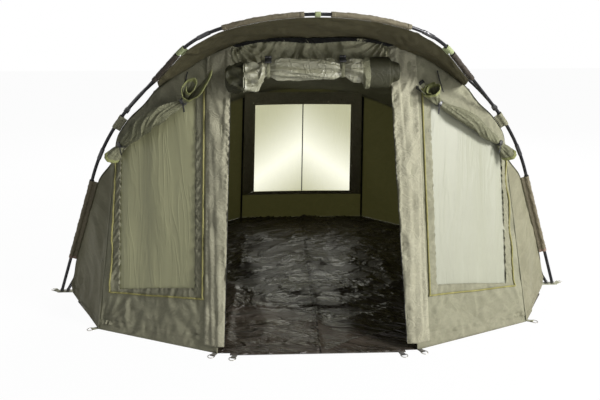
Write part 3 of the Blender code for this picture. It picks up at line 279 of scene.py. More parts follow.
def rear_match(along: float) -> float:
    """The place on the rear hoop that matches one on the main hoop, part by part."""
    passed = reached = 0.0
    for part, other in zip(MAIN.parts, REAR.parts):
        if along <= passed + part[0] or part is MAIN.parts[-1]:
            return reached + other[0] * (along - passed) / part[0]
        passed += part[0]
        reached += other[0]
    return reached


def rear_top(along: float) -> Array:
    """Top edge of the rear walls, just under the canopy's rear lip."""
    return REAR.world(along, SEAM_INSET + CLOTH + SEAM, LIP / 2)


def hem(x: float, y: float) -> Array:
    """A point on the cloth's edge at the ground."""
    return vec(x, y, HEM_LIFT)


def window_thread(along: float) -> tuple[Array, Array]:
    """Ends of the window wall's thread at a share of its width, from the side corner to the door corner."""
    first, last = hem(*SIDE_CORNER), hem(*DOOR_CORNER)
    inset = unit(last - first) * CORNER_SEAM
    return mix(first + inset, last - inset, along), front_top(mix(*WINDOW_SEAM, along))


def window_point(along: float, rise: float, stand: float = 0.0) -> Array:
    """A point on the window wall, moved off its outer face by stand."""
    low, high = window_thread(along)
    place = mix(low, high, rise)
    if not stand:
        return place
    near = 0.01
    across = mix(*window_thread(along + near), rise) - mix(*window_thread(along - near), rise)
    return place + unit(np.cross(across, high - low)) * stand


def door_point(along: float, rise: float, stand: float = 0.0) -> Array:
    """A point on the door's face: along runs from the left door corner to the right."""
    low = hem(mix(DOOR_CORNER[0], -DOOR_CORNER[0], along), DOOR_CORNER[1])
    high = front_top(mix(WINDOW_SEAM[1], MAIN.length - WINDOW_SEAM[1], along))
    slope = unit(high - low)
    return mix(low, high, rise) + vec(0, -slope[2], slope[1]) * stand


def door_rise(along: float, height: float) -> float:
    """The rise on the door's face at a height above the ground."""
    low, high = door_point(along, 0)[2], door_point(along, 1)[2]
    return (height - low) / (high - low)


def rear_point(along: float, rise: float, stand: float = 0.0) -> Array:
    """A point on the rear wall, moved off its outer face by stand."""
    reach = -REAR_CORNER[0] - CORNER_SEAM
    low = hem(mix(-reach, reach, along), REAR_CORNER[1])
    high = rear_top(mix(REAR_END + CORNER_SEAM, REAR.length - REAR_END - CORNER_SEAM, along))
    slope = unit(high - low)
    return mix(low, high, rise) + vec(0, slope[2], -slope[1]) * stand


def rear_rise(along: float, height: float) -> float:
    """The rise on the rear wall at a height above the ground."""
    low, high = rear_point(along, 0)[2], rear_point(along, 1)[2]
    return (height - low) / (high - low)


# ---------------------------------------------------------------- folds in cloth


@dataclass(frozen=True)
class Undulation:
    """Slow, smooth swells all over a sheet.

    Args:
        depth: their height.
        size: their usual length.
        seed: picks one pattern.
        stretch: lengthens them across or up the sheet.
    """

    depth: float
    size: float
    seed: int
    stretch: tuple[float, float] = (1.0, 1.0)

    def height(self, s: Array, t: Array) -> Array:
        """Height off the sheet at places s across and t up, in metres."""
        rng = np.random.default_rng(self.seed)
        total = np.zeros_like(s)
        count = 10
        for _ in range(count):
            angle, phase, scale = rng.uniform(0, TAU), rng.uniform(0, TAU), rng.uniform(0.6, 1.5)
            run = s / self.stretch[0] * math.cos(angle) + t / self.stretch[1] * math.sin(angle)
            total += np.sin(TAU * run / (self.size * scale) + phase)
        return total * self.depth / math.sqrt(count / 2)


@dataclass(frozen=True)
class Fan:
    """Folds that spread from one pulled point and fade out.

    Args:
        at: the pulled point, metres across and up the sheet.
        aim: degrees of the fan's middle, from across to up.
        spread: degrees to each side.
        folds: how many ridges.
        reach: how far they run.
        depth: their height.
        seed: makes them uneven.
    """

    at: tuple[float, float]
    aim: float
    spread: float
    folds: int
    reach: float
    depth: float
    seed: int = 0

    def height(self, s: Array, t: Array) -> Array:
        """Height off the sheet at places s across and t up, in metres."""
        rng = np.random.default_rng(self.seed + 31)
        ds, dt = s - self.at[0], t - self.at[1]
        away = np.hypot(ds, dt)
        angle = np.degrees(np.arctan2(dt, ds)) - self.aim
        angle = (angle + 180) % 360 - 180
        share = angle / self.spread
        wobble = 0.25 * np.sin(away / self.reach * 5 + rng.uniform(0, TAU))
        ridge = 1 - 2 * np.abs(np.sin(math.pi * self.folds * (share + wobble / self.folds) / 2 + rng.uniform(0, 3)))
        near = ease(away, 0, self.reach * 0.12)
        return self.depth * ridge * near * np.exp(-((away / self.reach) ** 1.6)) * (1 - ease(np.abs(share), 0.6, 1.0))


@dataclass(frozen=True)
class Creases:
    """Many short, sharp creases with a common lie.

    Args:
        count: how many.
        lie: their usual direction in degrees, from across to up.
        spread: how far they turn from it, in degrees.
        length: their usual length.
        width: how wide their flanks are.
        depth: their height.
        seed: picks one pattern.
        area: (s low, t low, s high, t high) that they lie in, or None for the whole sheet.
    """

    count: int
    lie: float
    spread: float
    length: float
    width: float
    depth: float
    seed: int
    area: tuple[float, float, float, float] | None = None

    def height(self, s: Array, t: Array) -> Array:
        """Height off the sheet at places s across and t up, in metres."""
        rng = np.random.default_rng(self.seed)
        low_s, low_t, high_s, high_t = self.area or (s.min(), t.min(), s.max(), t.max())
        total = np.zeros_like(s)
        for _ in range(self.count):
            centre = rng.uniform(low_s, high_s), rng.uniform(low_t, high_t)
            angle = math.radians(self.lie + rng.normal() * self.spread)
            half = self.length * rng.uniform(0.5, 1.4) / 2
            width = self.width * rng.uniform(0.6, 1.5)
            bow = rng.normal() * 0.16
            ds, dt = s - centre[0], t - centre[1]
            run = ds * math.cos(angle) + dt * math.sin(angle)
            off = -ds * math.sin(angle) + dt * math.cos(angle) + bow * (run * run / half - half / 2)
            ends = 1 - ease(np.abs(run) / half, 0.35, 1.0)
            flank = np.exp(-np.abs(off) / width) - 0.55 * np.exp(-((off / width - 2.1) ** 2))
            total += rng.choice((-1.0, 1.0)) * rng.uniform(0.5, 1.0) * ends * flank
        return total * self.depth


@dataclass(frozen=True)
class Ruffle:
    """Gathers that run square to a line, as beside elastic or a gathered seam.

    Args:
        start: one end of the line, metres across and up the sheet.
        end: its other end.
        reach: how far the gathers run from the line.
        pitch: the distance between ridges.
        depth: their height.
        seed: makes them uneven.
        lean: how far they slant, in metres along the line for each metre away from it.
    """

    start: tuple[float, float]
    end: tuple[float, float]
    reach: float
    pitch: float
    depth: float
    seed: int
    lean: float = 0.0

    def height(self, s: Array, t: Array) -> Array:
        """Height off the sheet at places s across and t up, in metres."""
        rng = np.random.default_rng(self.seed)
        ds, dt = self.end[0] - self.start[0], self.end[1] - self.start[1]
        length = math.hypot(ds, dt)
        ds, dt = ds / length, dt / length
        run = (s - self.start[0]) * ds + (t - self.start[1]) * dt
        off = np.abs(-(s - self.start[0]) * dt + (t - self.start[1]) * ds)
        run_slanted = run + off * self.lean
        phase = TAU * run_slanted / self.pitch
        for size in (2.7, 5.3, 9.1):
            phase = phase + 1.1 * np.sin(phase / size + rng.uniform(0, TAU))
        ridge = np.sin(phase) + 0.35 * np.sin(1.9 * phase + 1)
        inside = ease(run, -0.01, 0.02) * (1 - ease(run, length - 0.02, length + 0.01))
        return self.depth * ridge * inside * (1 - ease(off, 0.25 * self.reach, self.reach))


Fold = Undulation | Fan | Creases | Ruffle


# ---------------------------------------------------------------- meshes


@dataclass
class Panel:
    """A sheet of cloth as a grid of points, n across by m up, with cells cut away where it is open.

    Args:
        points: the grid, of shape (n, m, 3), before any folds.
        opened: which cells are cut away, of shape (n - 1, m - 1).
        centre: the point that the sheet's outer face looks away from.
    """

    points: Array
    opened: Array | None = None
    centre: tuple[float, float, float] = (0.0, 0.4, 0.45)

    def __post_init__(self) -> None:
        """Measures the sheet before folds are added."""
        p = self.points
        n, m, _ = p.shape
        self.s = np.zeros((n, m))
        self.t = np.zeros((n, m))
        self.s[1:] = np.cumsum(np.linalg.norm(np.diff(p, axis=0), axis=2), axis=0)
        self.t[:, 1:] = np.cumsum(np.linalg.norm(np.diff(p, axis=1), axis=2), axis=1)
        self.size = float(self.s[-1].max()), float(self.t[:, -1].max())
        across, up = p[1:, :-1] - p[:-1, :-1], p[:-1, 1:] - p[:-1, :-1]
        cells = np.linalg.norm(np.cross(across, up), axis=2)
        self.area = float(cells.sum() if self.opened is None else cells[~self.opened].sum())
        self.normal = self.normals()

    def normals(self) -> Array:
        """Outward directions at the grid's points."""
        across = np.gradient(self.points, axis=0)
        up = np.gradient(self.points, axis=1)
        out = unit(np.cross(across, up))
        away = self.points - np.array(self.centre)
        return out if (out * away).sum() > 0 else -out

    def edge_mask(self, pins: tuple[float, float, float, float]) -> Array:
        """1 on the free sheet and 0 on its edges, over the given reaches from s low, s high, t low and t high."""
        mask = np.ones_like(self.s)
        gaps = (self.s, self.s[-1:] - self.s, self.t, self.t[:, -1:] - self.t)
        for gap, reach in zip(gaps, pins):
            if reach > 0:
                mask *= ease(gap, 0, reach)
        return mask

    def fold(
        self,
        folds: Sequence[Fold],
        pins: tuple[float, float, float, float] = (0.03, 0.03, 0.03, 0.03),
        mask: Array | float = 1.0,
        floor: float | None = None,
    ) -> Panel:
        """Moves the points off the sheet by the sum of some folds.

        Args:
            folds: the folds to add.
            pins: reaches over which the edges hold the sheet still.
            mask: a further share of the folds at each point.
            floor: the lowest height that a point may be moved to.

        Returns:
            The panel itself.
        """
        height = sum(fold.height(self.s, self.t) for fold in folds)
        self.points = self.points + self.normal * (height * self.edge_mask(pins) * mask)[..., None]
        if floor is not None:
            self.points[..., 2] = np.maximum(self.points[..., 2], floor)
        return self

    def mesh(self, name: str, side: Side = Side.LEFT) -> bpy.types.Mesh:
        """A mesh of the grid, mirrored for the right side, with its cut size in metres as UVs."""
        n, m, _ = self.points.shape
        index = np.arange(n * m).reshape(n, m)
        quads = np.stack([index[:-1, :-1], index[1:, :-1], index[1:, 1:], index[:-1, 1:]], axis=-1)
        quads = quads[~self.opened] if self.opened is not None else quads.reshape(-1, 4)
        points = self.points.reshape(-1, 3) * ((-1, 1, 1) if side is Side.RIGHT else (1, 1, 1))
        one = points[quads[len(quads) // 2]]
        facing = np.cross(one[1] - one[0], one[3] - one[0]) @ (one[0] - np.array(self.centre))
        if facing < 0:
            quads = quads[:, ::-1]
        used, flat = np.unique(quads, return_inverse=True)
        made = bpy.data.meshes.new(name)
        made.from_pydata(points[used].tolist(), [], flat.reshape(-1, 4).tolist())
        layer = made.uv_layers.new(name="cut")
        cut = np.stack([self.s.reshape(-1), self.t.reshape(-1)], axis=1)[quads.reshape(-1)]
        layer.data.foreach_set("uv", cut.astype(np.float32).reshape(-1))
        made.shade_smooth()
        return made


def solid(name: str, points: Array, faces: Faces, side: Side = Side.LEFT) -> bpy.types.Mesh:
    """A mesh from points and faces, mirrored for the right side, with its faces turned outwards."""
    made = bpy.data.meshes.new(name)
    points = np.asarray(points, float) * ((-1, 1, 1) if side is Side.RIGHT else (1, 1, 1))
    made.from_pydata(points.tolist(), [], [tuple(int(c) for c in face) for face in faces])
    shape = bmesh.new()
    shape.from_mesh(made)
    bmesh.ops.recalc_face_normals(shape, faces=shape.faces)
    shape.to_mesh(made)
    shape.free()
    made.shade_smooth()
    made.set_sharp_from_angle(angle=math.radians(38))
    return made


def lofted(rings: Array, closed: bool = False) -> Skin:
    """Points and faces of a skin through rings of shape (n, sides, 3), closed on itself or capped at both ends."""
    n, sides, _ = rings.shape
    faces: Faces = []
    for i in range(n if closed else n - 1):
        a, b = i * sides, (i + 1) % n * sides
        faces += [(a + j, a + (j + 1) % sides, b + (j + 1) % sides, b + j) for j in range(sides)]
    if not closed:
        faces += [tuple(range(sides)), tuple(range((n - 1) * sides, n * sides))]
    return rings.reshape(-1, 3), faces


def frames(path: Array, closed: bool = False, hint: Array | None = None) -> tuple[Array, Array]:
    """Two directions square to a path at each of its points, carried along it without twist."""
    if closed:
        tangents = unit(np.roll(path, -1, axis=0) - np.roll(path, 1, axis=0))
    else:
        tangents = unit(np.gradient(path, axis=0))
    start = hint if hint is not None else (vec(0, 0, 1) if abs(tangents[0][2]) < 0.9 else vec(1, 0, 0))
    firsts = []
    for tangent in tangents:
        start = unit(start - tangent * (start @ tangent))
        firsts.append(start)
    first = np.array(firsts)
    return first, np.cross(tangents, first)


def tube(
    path: Array,
    radius: float | Array,
    sides: int = 12,
    closed: bool = False,
    flat: float = 1.0,
    hint: Array | None = None,
) -> Skin:
    """A tube or flattened cord along a path.

    Args:
        path: the points that it follows.
        radius: its radius, or one for each point.
        sides: how many points round it.
        closed: whether it joins its own start.
        flat: its thickness along hint as a share of its width.
        hint: the direction that it is flattened along, at its start.

    Returns:
        Points and faces.
    """
    first, second = frames(path, closed, hint)
    turns = np.linspace(0, TAU, sides, endpoint=False)
    radii = np.broadcast_to(np.asarray(radius, float), (len(path),))[:, None, None]
    around = first[:, None] * (np.cos(turns) * flat)[None, :, None] + second[:, None] * np.sin(turns)[None, :, None]
    return lofted(path[:, None] + around * radii, closed)


def turned(start: Array, axis: Array, profile: Sequence[tuple[float, float]], sides: int = 24) -> Array:
    """Rings of a turned solid: profile lists (distance, radius)."""
    axis = unit(axis)
    first = unit(np.cross(axis, vec(0, 0, 1) if abs(axis[2]) < 0.9 else vec(1, 0, 0)))
    second = np.cross(axis, first)
    turns = np.linspace(0, TAU, sides, endpoint=False)
    around = first * np.cos(turns)[:, None] + second * np.sin(turns)[:, None]
    return np.array([start + axis * d + around * max(r, 1e-5) for d, r in profile])


def block(size: tuple[float, float, float], round_share: float = 0.25, sides: int = 28) -> Array:
    """Rings of a moulded block about the origin, long in x, with rounded edges and softened ends."""
    length, width, height = size
    turns = np.linspace(0, TAU, sides, endpoint=False)
    power = 0.42
    y = np.sign(np.cos(turns)) * np.abs(np.cos(turns)) ** power
    z = np.sign(np.sin(turns)) * np.abs(np.sin(turns)) ** power
    rings = []
    soft = round_share * height
    for x, shrink in ((0, 1.0), (soft * 0.3, 0.4), (soft, 0.0)):
        rings.append((-length / 2 + x, shrink * soft))
    rings += [(-x, cut) for x, cut in reversed(rings)]
    made = [
        np.stack([np.full(sides, x), y * (width / 2 - cut), z * (height / 2 - cut)], axis=1) for x, cut in rings
    ]
    return np.array(made)


def set_on(points: Array, place: Array, along: Array, out: Array) -> Array:
    """Points made about the origin, set at a place with x along one direction and z as near as can be to another."""
    along = unit(along)
    out = unit(out - along * (out @ along))
    return place + points[..., :1] * along + points[..., 1:2] * np.cross(out, along) + points[..., 2:3] * out


# ---------------------------------------------------------------- node groups that several finishes share

Value = float | tuple | bpy.types.NodeSocket


class Nodes:
    """Places nodes in one tree and joins them."""

    def __init__(self, tree: bpy.types.NodeTree) -> None:
        """Starts from an empty tree."""
        self.tree = tree
        tree.nodes.clear()

    def add(self, kind: str, inputs: dict[str | int, Value] | None = None, **props: object) -> bpy.types.Node:
        """A node with its settings, and each input set to a value or joined to a socket."""
        made = self.tree.nodes.new(kind)
        for name, value in props.items():
            setattr(made, name, value)
        for name, value in (inputs or {}).items():
            if isinstance(value, bpy.types.NodeSocket):
                self.tree.links.new(value, made.inputs[name])
            else:
                made.inputs[name].default_value = value
        made.location = (220 * (len(self.tree.nodes) % 9), -260 * (len(self.tree.nodes) // 9))
        return made

    def math(
        self, operation: str, a: Value, b: Value = 0.5, c: Value = 0.0, clamp: bool = False
    ) -> bpy.types.NodeSocket:
        """The result of one sum."""
        made = self.add("ShaderNodeMath", {0: a, 1: b, 2: c}, operation=operation, use_clamp=clamp)
        return made.outputs[0]

    def blend(self, share: Value, a: Value, b: Value) -> bpy.types.NodeSocket:
        """A colour a share of the way from a to b."""
        made = self.add("ShaderNodeMix", data_type="RGBA")
        for name, value in (("Factor_Float", share), ("A_Color", a), ("B_Color", b)):
            socket = next(s for s in made.inputs if s.identifier == name)
            if isinstance(value, bpy.types.NodeSocket):
                self.tree.links.new(value, socket)
            else:
                socket.default_value = value
        return next(s for s in made.outputs if s.identifier == "Result_Color")

    def span(
        self, value: Value, low: float, high: float, to_low: float = 0.0, to_high: float = 1.0
    ) -> bpy.types.NodeSocket:
        """A value read from low..high on to another span, smoothly and without going past it."""
        made = self.add(
            "ShaderNodeMapRange",
            {"Value": value, "From Min": low, "From Max": high, "To Min": to_low, "To Max": to_high},
            interpolation_type="SMOOTHSTEP",
        )
        return made.outputs["Result"]

    def noise(
        self, vector: Value, scale: Value, detail: float = 4.0, rough: float = 0.55, twist: float = 0.0
    ) -> bpy.types.NodeSocket:
        """Smooth noise from 0 to 1."""
        made = self.add(
            "ShaderNodeTexNoise",
            {"Vector": vector, "Scale": scale, "Detail": detail, "Roughness": rough, "Distortion": twist},
        )
        return made.outputs["Fac"]

    def bump(
        self, strength: float, distance: float, height: Value, normal: Value | None = None
    ) -> bpy.types.NodeSocket:
        """The normal of a surface with a relief on it, laid over a coarser one if that is given."""
        inputs = {"Strength": strength, "Distance": distance, "Height": height}
        if normal is not None:
            inputs["Normal"] = normal
        return self.add("ShaderNodeBump", inputs).outputs["Normal"]


class Effect(Enum):
    """The node groups, each built once."""

    WEAVE = "thread_weave"
    CREASE = "small_creases"
    MOTTLE = "uneven_dye"
    DUST = "ground_dust"
    WEAR = "handling_wear"


def new_group(
    effect: Effect, inputs: dict[str, tuple[str, Value]], outputs: dict[str, str]
) -> tuple[bpy.types.NodeTree, Nodes, bpy.types.Node]:
    """An empty group with named sockets.

    Args:
        effect: which group.
        inputs: socket kind and default value by name.
        outputs: socket kind by name.

    Returns:
        The group, a node placer for it, and its input node.
    """
    tree = bpy.data.node_groups.new(effect.value, "ShaderNodeTree")
    for name, (kind, value) in inputs.items():
        socket = tree.interface.new_socket(name, in_out="INPUT", socket_type=kind)
        if kind != "NodeSocketVector":
            socket.default_value = value
    for name, kind in outputs.items():
        tree.interface.new_socket(name, in_out="OUTPUT", socket_type=kind)
    nodes = Nodes(tree)
    return tree, nodes, nodes.add("NodeGroupInput")


FLOAT, COLOR, VECTOR = "NodeSocketFloat", "NodeSocketColor", "NodeSocketVector"


class Groups:
    """Builds the shared node groups and places them in materials."""

    def __init__(self) -> None:
        """Builds every group once."""
        self.trees = {
            Effect.WEAVE: self.weave(),
            Effect.CREASE: self.crease(),
            Effect.MOTTLE: self.mottle(),
            Effect.DUST: self.dust(),
            Effect.WEAR: self.wear(),
        }

    def place(self, nodes: Nodes, effect: Effect, inputs: dict[str, Value]) -> bpy.types.Node:
        """A shared group placed in a material's tree with its own values."""
        return nodes.add("ShaderNodeGroup", inputs, node_tree=self.trees[effect])

    def weave(self) -> bpy.types.NodeTree:
        """Crossed threads: Vector in metres along the cloth, Pitch the distance between threads."""
        tree, nodes, given = new_group(
            Effect.WEAVE, {"Vector": (VECTOR, 0), "Pitch": (FLOAT, 0.001)}, {"Height": FLOAT, "Thread": FLOAT}
        )
        split = nodes.add("ShaderNodeSeparateXYZ", {"Vector": given.outputs["Vector"]})
        turn = nodes.math("DIVIDE", math.pi, given.outputs["Pitch"])
        warp = nodes.math("SINE", nodes.math("MULTIPLY", split.outputs["X"], turn))
        weft = nodes.math("SINE", nodes.math("MULTIPLY", split.outputs["Y"], turn))
        height = nodes.math("MULTIPLY", warp, weft)
        slub = nodes.noise(given.outputs["Vector"], 90, 2)
        nodes.add(
            "NodeGroupOutput",
            {"Height": nodes.math("MULTIPLY_ADD", slub, 0.6, nodes.math("ABSOLUTE", height)), "Thread": slub},
        )
        return tree

    def crease(self) -> bpy.types.NodeTree:
        """Fine creases left from packing: Vector, Size the usual distance between them."""
        tree, nodes, given = new_group(
            Effect.CREASE, {"Vector": (VECTOR, 0), "Size": (FLOAT, 0.05)}, {"Height": FLOAT, "Ridge": FLOAT}
        )
        scale = nodes.math("DIVIDE", 1.0, given.outputs["Size"])
        field_a = nodes.noise(given.outputs["Vector"], scale, 3, 0.5, 0.8)
        ridge = nodes.math("ABSOLUTE", nodes.math("SUBTRACT", field_a, 0.5))
        ridge = nodes.span(ridge, 0.0, 0.09, 1.0, 0.0)
        soft = nodes.noise(given.outputs["Vector"], nodes.math("MULTIPLY", scale, 0.45), 2, 0.5, 0.3)
        height = nodes.math("ADD", nodes.math("MULTIPLY", ridge, 0.35), soft)
        nodes.add("NodeGroupOutput", {"Height": height, "Ridge": ridge})
        return tree

    def mottle(self) -> bpy.types.NodeTree:
        """Dye that is a little uneven: Colour and Shade mixed by Amount over patches of a Size."""
        tree, nodes, given = new_group(
            Effect.MOTTLE,
            {
                "Vector": (VECTOR, 0),
                "Size": (FLOAT, 0.2),
                "Amount": (FLOAT, 0.5),
                "Colour": (COLOR, (0.2, 0.2, 0.15, 1)),
                "Shade": (COLOR, (0.15, 0.15, 0.1, 1)),
            },
            {"Colour": COLOR, "Patch": FLOAT},
        )
        scale = nodes.math("DIVIDE", 1.0, given.outputs["Size"])
        broad = nodes.span(nodes.noise(given.outputs["Vector"], scale, 5, 0.6), 0.32, 0.68)
        fine = nodes.noise(given.outputs["Vector"], nodes.math("MULTIPLY", scale, 14), 2)
        share = nodes.math(
            "MULTIPLY", nodes.math("MULTIPLY_ADD", fine, 0.4, nodes.math("MULTIPLY", broad, 0.7)),
            given.outputs["Amount"], clamp=True
        )
        nodes.add(
            "NodeGroupOutput",
            {"Colour": nodes.blend(share, given.outputs["Colour"], given.outputs["Shade"]), "Patch": broad}
        )
        return tree

    def dust(self) -> bpy.types.NodeTree:
        """Dry dust that fades upwards from the ground: Place is the point in the tent's frame."""
        tree, nodes, given = new_group(
            Effect.DUST,
            {
                "Place": (VECTOR, 0),
                "Colour": (COLOR, (0.2, 0.2, 0.15, 1)),
                "Dust": (COLOR, (0.3, 0.27, 0.2, 1)),
                "Reach": (FLOAT, 0.15),
                "Amount": (FLOAT, 0.3),
            },
            {"Colour": COLOR, "Mask": FLOAT},
        )
        height = nodes.add("ShaderNodeSeparateXYZ", {"Vector": given.outputs["Place"]}).outputs["Z"]
        low = nodes.math("SUBTRACT", 1.0, nodes.math("DIVIDE", height, given.outputs["Reach"]), clamp=True)
        speck = nodes.span(nodes.noise(given.outputs["Place"], 26, 5, 0.7), 0.35, 0.75)
        mask = nodes.math("MULTIPLY", nodes.math("MULTIPLY", low, speck), given.outputs["Amount"], clamp=True)
        nodes.add(
            "NodeGroupOutput",
            {"Colour": nodes.blend(mask, given.outputs["Colour"], given.outputs["Dust"]), "Mask": mask}
        )
        return tree

    def wear(self) -> bpy.types.NodeTree:
        """Rubbed places and fine scratches on hard pieces: Size is the usual length of a rubbed place."""
        tree, nodes, given = new_group(
            Effect.WEAR,
            {"Vector": (VECTOR, 0), "Size": (FLOAT, 0.03), "Amount": (FLOAT, 0.5)},
            {"Rub": FLOAT, "Scratch": FLOAT},
        )
        scale = nodes.math("DIVIDE", 1.0, given.outputs["Size"])
        rub = nodes.span(nodes.noise(given.outputs["Vector"], scale, 6, 0.7), 0.5, 0.75)
        line = nodes.math(
            "ABSOLUTE",
            nodes.math(
                "SUBTRACT", nodes.noise(given.outputs["Vector"], nodes.math("MULTIPLY", scale, 6), 3, 0.5, 2.5), 0.5
            )
        )
        scratch = nodes.span(line, 0.0, 0.012, 1.0, 0.0)
        nodes.add(
            "NodeGroupOutput",
            {
                "Rub": nodes.math("MULTIPLY", rub, given.outputs["Amount"]),
                "Scratch": nodes.math("MULTIPLY", scratch, given.outputs["Amount"])
            },
        )
        return tree


# ---------------------------------------------------------------- finishes

Colour = tuple[float, float, float]


def solid_colour(colour: Colour, share: float = 1.0, lift: float = 0.0) -> tuple[float, float, float, float]:
    """The colour with full alpha, made darker or brighter by a share and a lift."""
    return (*(min(1.0, c * share + lift) for c in colour), 1.0)


class Coordinates(Enum):
    """Where a finish takes its place on the piece from."""

    CUT = "cut"
    TENT = "tent"


def start_material(name: str, coordinates: Coordinates) -> tuple[
    bpy.types.Material, Nodes, bpy.types.NodeSocket, bpy.types.NodeSocket
]:
    """An empty material, its node placer, the vector along the piece and the place in the tent."""
    made = bpy.data.materials.new(name)
    made.use_nodes = True
    nodes = Nodes(made.node_tree)
    place = nodes.add("ShaderNodeTexCoord").outputs["Object"]
    along = nodes.add("ShaderNodeUVMap", uv_map="cut").outputs["UV"] if coordinates is Coordinates.CUT else place
    return made, nodes, along, place


@dataclass(frozen=True)
class ClothFinish:
    """Woven, coated tent cloth.

    Args:
        name: the material's name.
        colour: the cloth's colour.
        shade: the colour of its darker patches.
        roughness: how dull it is.
        pitch: distance between threads.
        crease: depth of the fine creases.
        crease_size: distance between them.
        glow: share of light that comes through.
        dust: how dusty it is near the ground.
        shine: strength of its reflections.
        coordinates: cut lengths for sheets, or the tent's frame for CAD nodes.
    """

    name: str
    colour: Colour
    shade: Colour
    roughness: float = 0.70
    pitch: float = 0.0011
    crease: float = 0.0030
    crease_size: float = 0.12
    glow: float = 0.0
    dust: float = 0.25
    shine: float = 0.25
    coordinates: Coordinates = Coordinates.CUT

    def build(self, groups: Groups) -> bpy.types.Material:
        """The finished material."""
        made, nodes, along, place = start_material(self.name, self.coordinates)
        dye = groups.place(
            nodes,
            Effect.MOTTLE,
            {
                "Vector": place, "Size": 0.32, "Amount": 0.8, "Colour": solid_colour(self.colour),
                "Shade": solid_colour(self.shade)
            },
        )
        fold = groups.place(nodes, Effect.CREASE, {"Vector": along, "Size": self.crease_size})
        weave = groups.place(nodes, Effect.WEAVE, {"Vector": along, "Pitch": self.pitch})
        # Painted highlight: the colour is made paler along the fine crease ridges.
        binding_finish_and_ridge_highlight = nodes.blend(
            nodes.math("MULTIPLY", fold.outputs["Ridge"], 0.16), dye.outputs["Colour"],
            solid_colour(self.colour, 1.5, 0.02)
        )
        thread = nodes.blend(
            nodes.span(weave.outputs["Thread"], 0.3, 0.7, 0.0, 0.22), binding_finish_and_ridge_highlight, solid_colour(self.shade, 0.72)
        )
        dusty = groups.place(
            nodes, Effect.DUST,
            {"Place": place, "Colour": thread, "Amount": self.dust, "Reach": 0.16, "Dust": (0.30, 0.27, 0.20, 1)}
        )
        rough = nodes.math("MULTIPLY_ADD", dye.outputs["Patch"], 0.08, self.roughness - 0.04, clamp=True)
        relief = nodes.bump(1.0, self.crease, fold.outputs["Height"])
        relief = nodes.bump(0.5, 0.0003, weave.outputs["Height"], relief)
        shader = nodes.add(
            "ShaderNodeBsdfPrincipled",
            {
                "Base Color": dusty.outputs["Colour"],
                "Roughness": rough,
                "Normal": relief,
                "Specular IOR Level": self.shine,
            },
        )
        surface = shader.outputs[0]
        if self.glow:
            through = nodes.add("ShaderNodeBsdfTranslucent", {"Color": solid_colour(self.colour, 2.6)})
            surface = nodes.add("ShaderNodeMixShader", {0: self.glow, 1: surface, 2: through.outputs[0]}).outputs[0]
        nodes.add("ShaderNodeOutputMaterial", {"Surface": surface})
        return made


@dataclass(frozen=True)
class FilmFinish:
    """Clear or frosted window film.

    Args:
        name: the material's name.
        colour: the film's tint.
        haze: colour of its upright streaks, a painted highlight.
        alpha: how solid it is.
        roughness: how dull it is.
        streak: strength of the upright streaks of painted highlight.
        lit: colour of the painted glow that it gives off as emission, standing for daylight behind it.
        light: strength of that painted glow.
    """

    name: str
    colour: Colour
    haze: Colour
    alpha: float
    roughness: float = 0.30
    streak: float = 0.6
    lit: Colour = (0.0, 0.0, 0.0)
    light: float = 0.0

    def build(self, groups: Groups) -> bpy.types.Material:
        """The finished material."""
        made, nodes, along, place = start_material(self.name, Coordinates.CUT)
        stretched = nodes.add("ShaderNodeMapping", {"Vector": along, "Scale": (9.0, 1.1, 1.0)}).outputs[0]
        streak = nodes.span(nodes.noise(stretched, 3.0, 5, 0.6, 0.6), 0.52, 0.78, 0.0, self.streak)
        dye = groups.place(
            nodes,
            Effect.MOTTLE,
            {
                "Vector": place, "Size": 0.5, "Amount": 0.5, "Colour": solid_colour(self.colour),
                "Shade": solid_colour(self.colour, 0.82)
            },
        )
        fold = groups.place(nodes, Effect.CREASE, {"Vector": stretched, "Size": 0.5})
        # Painted highlight: pale upright streaks over the film's colour.
        colour = nodes.blend(streak, dye.outputs["Colour"], solid_colour(self.haze))
        rough = nodes.math("MULTIPLY_ADD", streak, 0.25, self.roughness, clamp=True)
        relief = nodes.bump(0.6, 0.004, fold.outputs["Height"])
        shader = nodes.add(
            "ShaderNodeBsdfPrincipled",
            {"Base Color": colour, "Roughness": rough, "Normal": relief, "Alpha": self.alpha, "IOR": 1.45},
        )
        # Painted glow: an emission stands for daylight through the film, cream along a slanted band and dimmer away
        # from it, on the face that looks into the tent.
        if self.light:
            up = nodes.add("ShaderNodeSeparateXYZ", {"Vector": place}).outputs
            slant = nodes.math("MULTIPLY_ADD", nodes.math("ABSOLUTE", up["X"]), 0.75, up["Z"])
            fade = nodes.math("ABSOLUTE", nodes.math("SUBTRACT", slant, 0.68))
            away = nodes.math("POWER", nodes.span(fade, 0.0, 0.55), 0.6)
            painted_glow_dim = tuple(c * share for c, share in zip(self.lit, (0.42, 0.42, 0.30)))
            painted_glow_colour = nodes.blend(away, solid_colour(self.lit), solid_colour(painted_glow_dim))
            facing = nodes.add("ShaderNodeNewGeometry").outputs["Normal"]
            inside = nodes.math("LESS_THAN", nodes.add("ShaderNodeSeparateXYZ", {"Vector": facing}).outputs["Y"], 0.0)
            nodes.tree.links.new(nodes.blend(inside, (0, 0, 0, 1), painted_glow_colour), shader.inputs["Emission Color"])
            shader.inputs["Emission Strength"].default_value = self.light
        nodes.add("ShaderNodeOutputMaterial", {"Surface": shader.outputs[0]})
        return made


